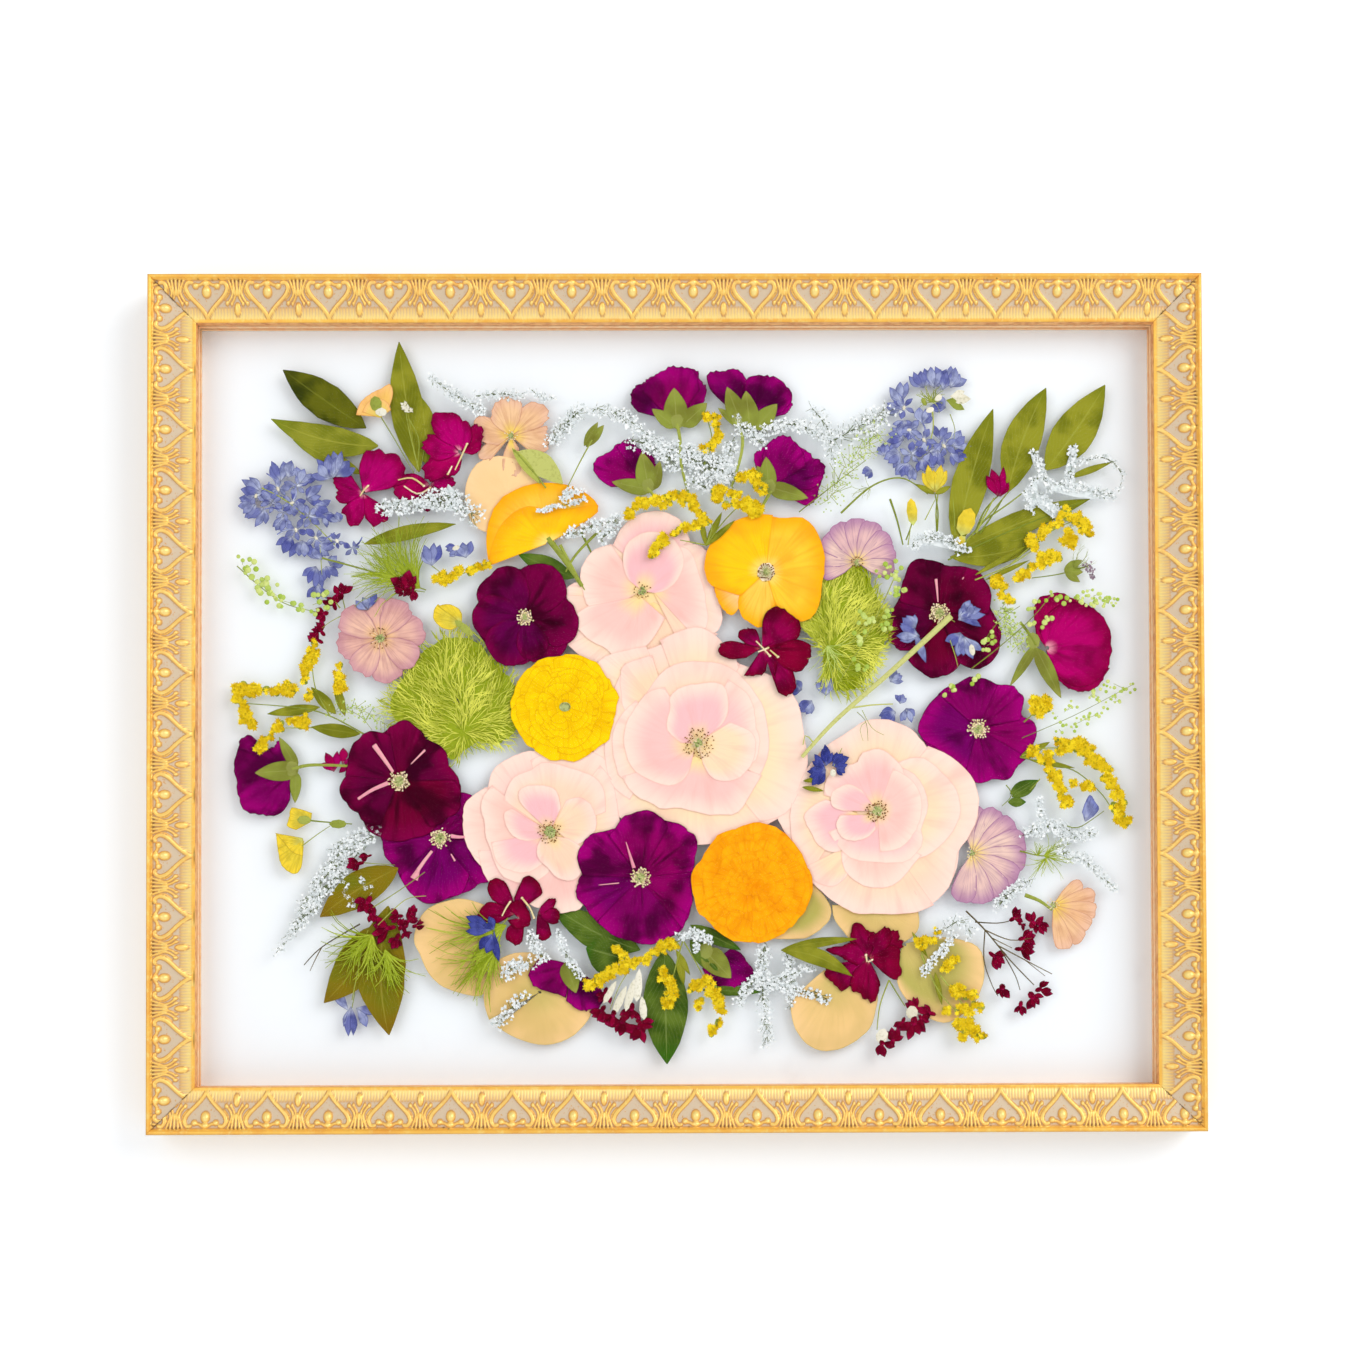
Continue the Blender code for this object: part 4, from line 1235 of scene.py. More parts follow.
    def star(self, spot: tuple[float, float, float], radius: float, lobes: int = 5, turn: float = 0.0,
             slot: int = 0, tint: float = 0.5) -> None:
        """Add a tiny flower: lobes round a dimple, closed behind.

        Args:
            spot: Its middle, as (x, height, z).
            radius: How far its lobes reach.
            lobes: How many it has.
            turn: Which way the first one points, in radians.
            slot: Which finish of the piece it takes.
            tint: The number that its finish reads.
        """
        n = 2 * lobes
        points = [(spot[0], spot[1] + STAR_DEEP * 0.2, spot[2])]
        for k in range(n):
            reach = radius * (1.0 if k % 2 == 0 else STAR_NOTCH)
            lift = STAR_DEEP * (0.75 + 0.25 * self.random.random())
            x, z = around((spot[0], spot[2]), turn + math.pi * k / lobes, reach)
            points.append((x, spot[1] + lift, z))
        points.append((spot[0], spot[1] - STAR_DEEP * 0.4, spot[2]))
        faces = []
        for k in range(n):
            j = 1 + (k + 1) % n
            faces.append((0, 1 + k, j))
            faces.append((n + 1, j, 1 + k))
        marks = np.zeros((n + 2, 4))
        marks[:, 0] = 0.5
        marks[1:-1, 1] = 1.0
        marks[:, 2] = NO_EDGE
        marks[:, 3] = tint
        self.put(np.array(points), faces, marks, slot)

    def build(self, name: str, node: str | None, slot: str, finishes: list[Finish]) -> bpy.types.Object:
        """Make the piece.

        Args:
            name: Its name.
            node: The CAD node that it replaces, if there is one.
            slot: The record's material slot; not used.
            finishes: Its finishes, by the numbers that its bodies were given.

        Returns:
            The piece's object.
        """
        points = np.concatenate(self.points)
        marks = np.concatenate(self.marks)
        mesh = bpy.data.meshes.new(name)
        placed = np.stack([points[:, 0], -points[:, 1], points[:, 2] + MIDDLE_Z], axis=-1) * MM
        mesh.from_pydata(placed.tolist(), [], self.faces)
        corner = np.zeros(len(mesh.loops), np.int32)
        mesh.loops.foreach_get("vertex_index", corner)
        layout = mesh.uv_layers.new(name="UVMap").data
        layout.foreach_set("uv", marks[corner, :2].astype(np.float32).ravel())
        for place, label in ((2, "edge"), (3, "tint")):
            layer = mesh.attributes.new(label, "FLOAT", "POINT")
            layer.data.foreach_set("value", marks[:, place].astype(np.float32))
        mesh.polygons.foreach_set("material_index", np.array(self.slots, np.int32))
        mesh.polygons.foreach_set("use_smooth", np.ones(len(self.faces), bool))
        for finish in finishes:
            mesh.materials.append(material_of(finish))
        make_outward(mesh)
        mesh.set_sharp_from_angle(angle=SHARP_ANGLE)
        return add_piece(mesh, node)


def layer_height(node: str) -> float:
    """How far in front of the wall a CAD specimen's back lies, in millimetres."""
    return -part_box(node)[1].y / MM


PETAL_ROWS = (0.05, 0.3, 0.55, 0.76, 0.9, 0.97, 1.0)     # shares of the way from a base to its rim


@dataclass
class Petal:
    """One pressed petal: a sheet fanned from its base to its rim, both read from the photo."""

    base: Place
    rim: list[Place]
    columns: int = 15
    tint: float = -1.0
    ruffle: float = 0.25
    scallop: float = 0.0          # how deep the lobes of its rim are

    def draw(self, sketch: Sketch, height: float, seed: int, wave: float = 0.1, slot: int = 0,
              rows: tuple[float, ...] = PETAL_ROWS, fold: float = 7.0, tilt: float = 0.0) -> None:
        """Add the petal to a sketch.

        Args:
            sketch: The piece under way.
            height: Where the petal lies.
            seed: Which waves the whole bloom has.
            wave: How high they are.
            slot: Which finish of the piece it takes.
            rows: Where its rows run, from its base to its rim.
            fold: How long the waves are.
            tilt: How much higher its left side lies than its right side.
        """
        base = np.array(CAMERA.place(self.base, height))
        rim = smooth_line([CAMERA.place(p, height) for p in self.rim], self.columns)
        rng = np.random.default_rng(seed * 31 + int(self.rim[0][0]))
        out = rim - base
        out /= np.maximum(np.linalg.norm(out, axis=1, keepdims=True), 1e-6)
        across = np.linspace(0, 1, self.columns)
        ends = np.minimum(1.0, 3.0 * np.minimum(across, np.linspace(1, 0, self.columns)))
        jag = rng.uniform(-1, 1, self.columns) * self.ruffle
        lobe = np.abs(np.sin(math.pi * (2.6 * across + rng.random()))) - 0.7
        rim = rim + out * ((jag + lobe * self.scallop) * ends)[:, None]
        t = np.array(rows)[:, None, None]
        flat = base + (rim - base)[None, :, :] * t
        grid = np.zeros((len(rows), self.columns, 3))
        grid[..., 0], grid[..., 2] = flat[..., 0], flat[..., 1]
        grid[..., 1] = height + wave * crumple(flat[..., 0], flat[..., 1], seed, fold)
        grid[..., 1] += tilt * np.linspace(-0.5, 0.5, self.columns)[None, :]
        marks = np.zeros((len(rows), self.columns, 4))
        marks[..., 0] = across[None, :]
        marks[..., 1] = np.array(rows)[:, None]
        border = [tuple(base)] + [tuple(p) for p in rim] + [tuple(base)]
        marks[..., 2] = np.minimum(off_line(flat[..., 0], flat[..., 1], border), NO_EDGE)
        marks[..., 3] = self.tint if self.tint >= 0 else rng.uniform(0.0, 1.0)
        sketch.sheet(grid, marks, slot)


def sector(eye: Place, way: float, length: float, half: float, square: float = 3.0) -> Petal:
    """A petal that spreads from an eye.

    Args:
        eye: Pixel of the eye.
        way: Direction in degrees, anticlockwise from the right.
        length: Pixels from the eye to its tip.
        half: Half of its spread, in degrees.
        square: How blunt its end is.

    Returns:
        The petal.
    """
    rim = []
    for step in range(-4, 5):
        share = step / 4
        reach = length * (1.0 - 0.55 * abs(share) ** square)
        rim.append(off(eye, math.radians(way + half * share), reach))
    return Petal(eye, rim)


WIDE_COLUMNS = np.array([-1.0, -0.8, -0.45, 0.0, 0.45, 0.8, 1.0])      # shares of a blade's half width
NARROW_COLUMNS = np.array([-1.0, -0.6, 0.0, 0.6, 1.0])


@dataclass
class Blade:
    """A leaf or a sepal: a sheet on both sides of a midrib, in pixels of the photo."""

    base: Place
    tip: Place
    width: float
    bend: float = 0.0             # how far its middle bows to its left
    point: float = 0.9            # below 1 its widest place moves towards the base
    full: float = 0.85
    tint: float = -1.0
    rows: int = 12
    slot: int = 2

    def draw(self, sketch: Sketch, height: float, seed: int, slot: int = 0, rise: float = 0.12,
             wave: float = 0.1) -> None:
        """Add the blade to a sketch.

        Args:
            sketch: The piece under way.
            height: Where the blade lies.
            seed: Which waves it has.
            slot: Which finish of the piece it takes.
            rise: How far its midrib stands up.
            wave: How high the waves are.
        """
        a, b = np.array(CAMERA.place(self.base, height)), np.array(CAMERA.place(self.tip, height))
        px = math.dist(a, b) / max(math.dist(self.base, self.tip), 1e-6)
        span = b - a
        side = np.array([-span[1], span[0]]) / np.linalg.norm(span)
        t = np.linspace(0.0, 1.0, self.rows)
        s = WIDE_COLUMNS if self.rows > 7 else NARROW_COLUMNS
        half = px * self.width / 2 * np.sin(math.pi * np.clip(t, 0.004, 0.996) ** self.point) ** self.full
        rng = np.random.default_rng(seed)
        half = half * (1 + 0.03 * rng.uniform(-1, 1, self.rows))
        spine = a + span * t[:, None] + side * (px * self.bend * 4 * t * (1 - t))[:, None]
        flat = spine[:, None, :] + side * (half[:, None] * s[None, :])[..., None]
        grid = np.zeros((self.rows, len(s), 3))
        grid[..., 0], grid[..., 2] = flat[..., 0], flat[..., 1]
        grid[..., 1] = height + wave * crumple(flat[..., 0], flat[..., 1], seed, 9.0)
        grid[..., 1] += rise * np.clip(1 - np.abs(s) * 2.5, 0, 1)[None, :]
        marks = np.zeros((self.rows, len(s), 4))
        marks[..., 0] = (s[None, :] + 1) / 2
        marks[..., 1] = t[:, None]
        marks[..., 2] = np.minimum(half[:, None] * (1 - np.abs(s))[None, :], NO_EDGE)
        marks[..., 3] = self.tint if self.tint >= 0 else rng.uniform(0.0, 1.0)
        sketch.sheet(grid, marks, slot)


def branch(sketch: Sketch, pixels: list[Place], height: float, radius: float | tuple[float, float],
           slot: int = 0, sides: int = 5, points: int = 0) -> None:
    """Add a stem through pixels of the photo.

    Args:
        sketch: The piece under way.
        pixels: What the stem passes through.
        height: Where it lies.
        radius: One radius in millimetres, or the radii at its two ends.
        slot: Which finish of the piece it takes.
        sides: How many sides it has.
        points: How many points it has; worked out from its length if 0.
    """
    places = [CAMERA.place(p, height) for p in pixels]
    length = sum(math.dist(a, b) for a, b in zip(places, places[1:]))
    count = points or max(4, int(length / 3.0) + 2)
    line = smooth_line(places, count)
    path = np.stack([line[:, 0], np.full(count, height), line[:, 1]], axis=-1)
    radii = np.linspace(*radius, count) if isinstance(radius, tuple) else radius
    sketch.stem(path, radii, slot=slot, sides=sides, tint=sketch.random.random())


# ---- the blooms ----------------------------------------------------------------------------------------
def fan(base: Place, *rims: list[Place]) -> list[Petal]:
    """Petals that share one base, rear first."""
    return [Petal(base, rim) for rim in rims]


LINING_SECTORS = 48
SECTOR_ANGLE = 360 / LINING_SECTORS
BLOOM_ROWS = (0.05, 0.2, 0.36, 0.52, 0.66, 0.79, 0.89, 0.95, 0.985, 1.0)


@dataclass
class Bloom:
    """A pressed bloom: petals, rear first, that take the place of one CAD specimen."""

    name: str
    node: str
    slot: str
    finish: PetalFinish
    eye: Place
    petals: list[Petal]
    tints: list[float] = field(default_factory=list)   # of the petals; random where left out
    wave: float = 0.1
    fold: float = 7.0
    step: float = 0.055           # from one petal's height to the next one's
    columns: int = 25
    ruffle: float = 0.25
    scallop: float = 0.0
    lined: bool = False           # whether a rear sheet closes the gaps between its petals
    head: float = 0.45            # half the length of a stamen's head

    def lining(self) -> Petal:
        """Work out a rear petal that reaches almost to all the others' rims.

        Returns:
            Its hidden petals.
        """
        reach = np.zeros(LINING_SECTORS)
        for petal in self.petals:
            for x, y in smooth_line(petal.rim, 60):
                way = math.degrees(math.atan2(self.eye[1] - y, x - self.eye[0]))
                k = int(way / SECTOR_ANGLE) % LINING_SECTORS
                reach[k] = max(reach[k], math.dist((x, y), self.eye))
        known = np.nonzero(reach)[0]
        reach = 0.95 * np.interp(np.arange(LINING_SECTORS), known, reach[known], period=LINING_SECTORS)
        reach = np.minimum(reach, np.minimum(np.roll(reach, 1), np.roll(reach, -1)) + 4.0)
        rim = [off(self.eye, math.radians(SECTOR_ANGLE * k + SECTOR_ANGLE / 2), r)
               for k, r in enumerate(reach)]
        return Petal(self.eye, rim + [rim[0]], tint=0.85)

    def build(self) -> None:
        """Build the bloom as one piece."""
        sketch = Sketch(len(self.node) + int(self.eye[0]))
        height = layer_height(self.node) + self.wave + 0.08
        seed = int(self.eye[0])
        if self.lined:
            lining = self.lining()
            lining.columns = 73
            lining.draw(sketch, height - 0.05, seed=seed, wave=self.wave, slot=0, rows=BLOOM_ROWS,
                        fold=self.fold)
        for i, petal in enumerate(self.petals):
            petal.columns = self.columns
            petal.ruffle = self.ruffle
            petal.scallop = self.scallop
            if i < len(self.tints):
                petal.tint = self.tints[i]
            petal.draw(sketch, height + i * self.step, seed=seed, wave=self.wave, slot=0, rows=BLOOM_ROWS,
                       fold=self.fold)
        self.heart(sketch, height + len(self.petals) * self.step + self.wave)
        self.make(sketch)

    def make(self, sketch: Sketch) -> None:
        """Make the piece, with the finishes that follow the petals' own."""
        finishes = [self.finish, STAMEN, POLLEN, PISTIL, STREAK, STEM, SEPAL]
        sketch.build(self.name, self.node, self.slot, finishes)

    def heart(self, sketch: Sketch, height: float) -> None:
        """Add what grows at the eye."""

    def stamens(self, sketch: Sketch, height: float, count: int, reach: tuple[float, float], core: float,
                slots: tuple[int, int, int] = (1, 1, 3)) -> None:
        """Add a core of pistils and a ring of stamens, each a thread with a bead on its end.

        Args:
            sketch: The piece under way.
            height: Where they lie.
            count: How many stamens.
            reach: Least and greatest distance of a bead from the eye, in millimetres.
            core: Radius of the core.
            slots: Finishes of the threads, the beads and the core.
        """
        eye = CAMERA.place(self.eye, height)
        draw = sketch.random
        for _ in range(int(core * core * 9)):
            far, way = core * math.sqrt(draw.random()), draw.uniform(0, 2 * math.pi)
            x, z = around(eye, way, far)
            spot = (x, height + 0.24 + 0.1 * draw.random(), z)
            sketch.bead(spot, (0.6, 0.42, 0.2), turn=way, slot=slots[2], tint=draw.random(), sides=5)
        head = (self.head, 0.75 * self.head, 0.18)
        for k in range(count):
            way = math.radians(360.0 * (k + draw.random()) / count)
            x, z = around(eye, way, draw.uniform(*reach))
            foot_x, foot_z = around(eye, way, 0.4 * core)
            tip = (x, height + 0.34, z)
            path = np.array([(foot_x, height + 0.2, foot_z), tip])
            sketch.stem(path, 0.1, slot=slots[0], sides=3, tint=draw.random())
            sketch.bead(tip, head, turn=draw.uniform(0, 3.1), slot=slots[1], tint=draw.random(), sides=5)


@dataclass
class PaleRose(Bloom):
    """An open rose with a green eye and a few brown stamens."""

    wave: float = 0.1
    fold: float = 12.0
    step: float = 0.075
    lined: bool = True
    stamen_count: int = 26
    core: float = 2.6
    reach: tuple[float, float] = (3.0, 7.0)

    def heart(self, sketch: Sketch, height: float) -> None:
        """Add the eye."""
        self.stamens(sketch, height, count=self.stamen_count, reach=self.reach, core=self.core,
                     slots=(1, 2, 3))


@dataclass
class VelvetRose(Bloom):
    """A dark single rose with pale streaks and a cluster of cream stamens."""

    wave: float = 0.16
    fold: float = 12.0
    step: float = 0.1
    scallop: float = 1.5
    lined: bool = True
    streaks: list[tuple[list[Place], float, float]] = field(default_factory=list)
    stamen_count: int = 60
    core: float = 2.6
    reach: tuple[float, float] = (2.4, 5.7)
    head: float = 0.55

    def heart(self, sketch: Sketch, height: float) -> None:
        """Add the streaks and the stamens.

        Args:
            sketch: The piece under way.
            height: Where it lies.
        """
        for line, near, far in self.streaks:
            branch(sketch, line, height, (near, far), slot=4, sides=6, points=8)
        self.stamens(sketch, height, count=self.stamen_count, reach=self.reach, core=self.core,
                     slots=(1, 1, 3))


BUTTERCUP_ROWS = (0.03, 0.4, 0.7, 0.86, 0.95, 1.0)


@dataclass
class Buttercup(Bloom):
    """A ranunculus: ring upon ring of overlapping petals round a small eye."""

    radius: float = 54.0          # pixels
    rings: int = 9
    per_ring: int = 7
    rise: float = 0.085           # from one ring's height to the next one's
    green_eye: bool = True
    eye_beads: int = 16

    @property
    def low(self) -> float:
        """Where its rearmost petals lie."""
        return layer_height(self.node) + 0.12

    def build(self) -> None:
        """Build the bloom as one piece."""
        sketch = Sketch(int(self.eye[0]))
        draw = sketch.random
        for ring in range(self.rings):
            share = ring / (self.rings - 1)
            reach = self.radius * (1.0 - 0.84 * share ** 0.85)
            loose = 0.0 if ring == 0 else 0.1
            begin = draw.random()
            for k in range(self.per_ring):
                way = 2 * math.pi * (k + begin + 0.3 * draw.random()) / self.per_ring
                spread = math.pi / self.per_ring * draw.uniform(1.2, 1.9)
                far = reach * draw.uniform(0.97 - loose, 1.02 + 0.6 * loose)
                base = tuple(place + 60 * loose * draw.uniform(-1, 1) for place in self.eye)
                rim = []
                for step in range(-4, 5):
                    r = far * (1.0 - 0.1 * (step / 4) ** 4) * (1.0 + 0.03 * draw.uniform(-1, 1))
                    rim.append(off(base, way + spread * step / 4, r))
                petal = Petal(base, rim, 15, draw.random(), 0.3)
                petal.draw(sketch, self.low + self.rise * ring, seed=int(self.eye[0]), wave=0.08, slot=0,
                           rows=BUTTERCUP_ROWS, fold=10.0, tilt=0.1 * draw.choice((-1, 1)))
        if self.green_eye:
            self.heart(sketch, self.low + self.rise * self.rings + 0.16)
        self.make(sketch)

    def heart(self, sketch: Sketch, height: float) -> None:
        """Add the green eye.

        Args:
            sketch: The piece under way.
            height: Where it lies.
        """
        x, z = CAMERA.place(self.eye, self.low)
        for k in range(self.eye_beads):
            way = 2 * math.pi * k / self.eye_beads
            spot = (x + 2.5 * math.cos(way), height, z + 2.0 * math.sin(way))
            sketch.bead(spot, (0.9, 0.5, 0.2), turn=way + 1.4, slot=3, tint=sketch.random.random(), sides=5)
        sketch.bead((x, height, z), (2.2, 1.8, 0.25), turn=0.4, slot=3, tint=0.7, sides=8)


@dataclass
class Poppy(Bloom):
    """A yellow poppy with a dark green eye."""

    ruffle: float = 0.35
    fold: float = 11.0
    step: float = 0.09
    eye_shown: bool = True

    def heart(self, sketch: Sketch, height: float) -> None:
        """Add the eye.

        Args:
            sketch: The piece under way.
            height: Where it lies.
        """
        if self.eye_shown:
            x, z = CAMERA.place(self.eye, height)
            sketch.bead((x, height - 0.05, z), (5.2, 4.6, 0.2), turn=1.2, slot=1, tint=0.9, sides=12)
            sketch.bead((x + 0.4, height + 0.1, z), (2.5, 2.0, 0.2), turn=1.2, slot=1, tint=0.2, sides=9)
            self.stamens(sketch, height + 0.1, count=34, reach=(3.0, 5.0), core=0.9, slots=(3, 2, 3))


@dataclass
class Cosmos(Bloom):
    """A flower of many narrow petals."""

    ruffle: float = 0.55
    wave: float = 0.07
    fold: float = 5.0
    columns: int = 17
    eye_slot: int = 2
    eye_size: float = 1.0

    def heart(self, sketch: Sketch, height: float) -> None:
        """Add the eye.

        Args:
            sketch: The piece under way.
            height: Where it lies.
        """
        size = self.eye_size
        slots = (1, self.eye_slot, 3)
        self.stamens(sketch, height, count=int(14 * size), reach=(1.8 * size, 3.6 * size),
                     core=1.3 * size, slots=slots)


@dataclass
class Phlox(Bloom):
    """A cluster of small five-petalled flowers with cream threads."""

    wave: float = 0.1
    fold: float = 5.0
    step: float = 0.07
    columns: int = 29
    ruffle: float = 1.1
    scallop: float = 2.6
    threads: list[list[Place]] = field(default_factory=list)

    def heart(self, sketch: Sketch, height: float) -> None:
        """Add the cream threads.

        Args:
            sketch: The piece under way.
            height: Where it lies.
        """
        for line in self.threads:
            branch(sketch, line, height, (0.35, 0.5), slot=1, sides=6, points=7)
            x, z = CAMERA.place(line[-1], height)
            sketch.bead((x, height + 0.1, z), (0.8, 0.6, 0.3), turn=0.5, slot=1,
                        tint=sketch.random.random(), sides=7)


@dataclass
class SideRose(Bloom):
    """A rose pressed on its side, with its sepals in front and its stem."""

    wave: float = 0.16
    fold: float = 6.0
    step: float = 0.08
    ruffle: float = 0.65
    scallop: float = 1.2
    columns: int = 31
    sepals: list[Blade] = field(default_factory=list)
    calyx: Place | None = None
    stem: list[Place] = field(default_factory=list)

    def heart(self, sketch: Sketch, height: float) -> None:
        """Add the stem, the calyx and the sepals.

        Args:
            sketch: The piece under way.
            height: Where it lies.
        """
        if self.stem:
            branch(sketch, self.stem, height - 0.1, (0.95, 0.7), slot=5, sides=7)
        if self.calyx:
            x, z = CAMERA.place(self.calyx, height)
            sketch.bead((x, height, z), (4.6, 3.9, 0.4), turn=1.6, slot=6, tint=0.6, sides=9)
        for i, blade in enumerate(self.sepals):
            blade.draw(sketch, height + 0.05 + 0.06 * i, seed=i + 3, slot=6, rise=0.1, wave=0.05)


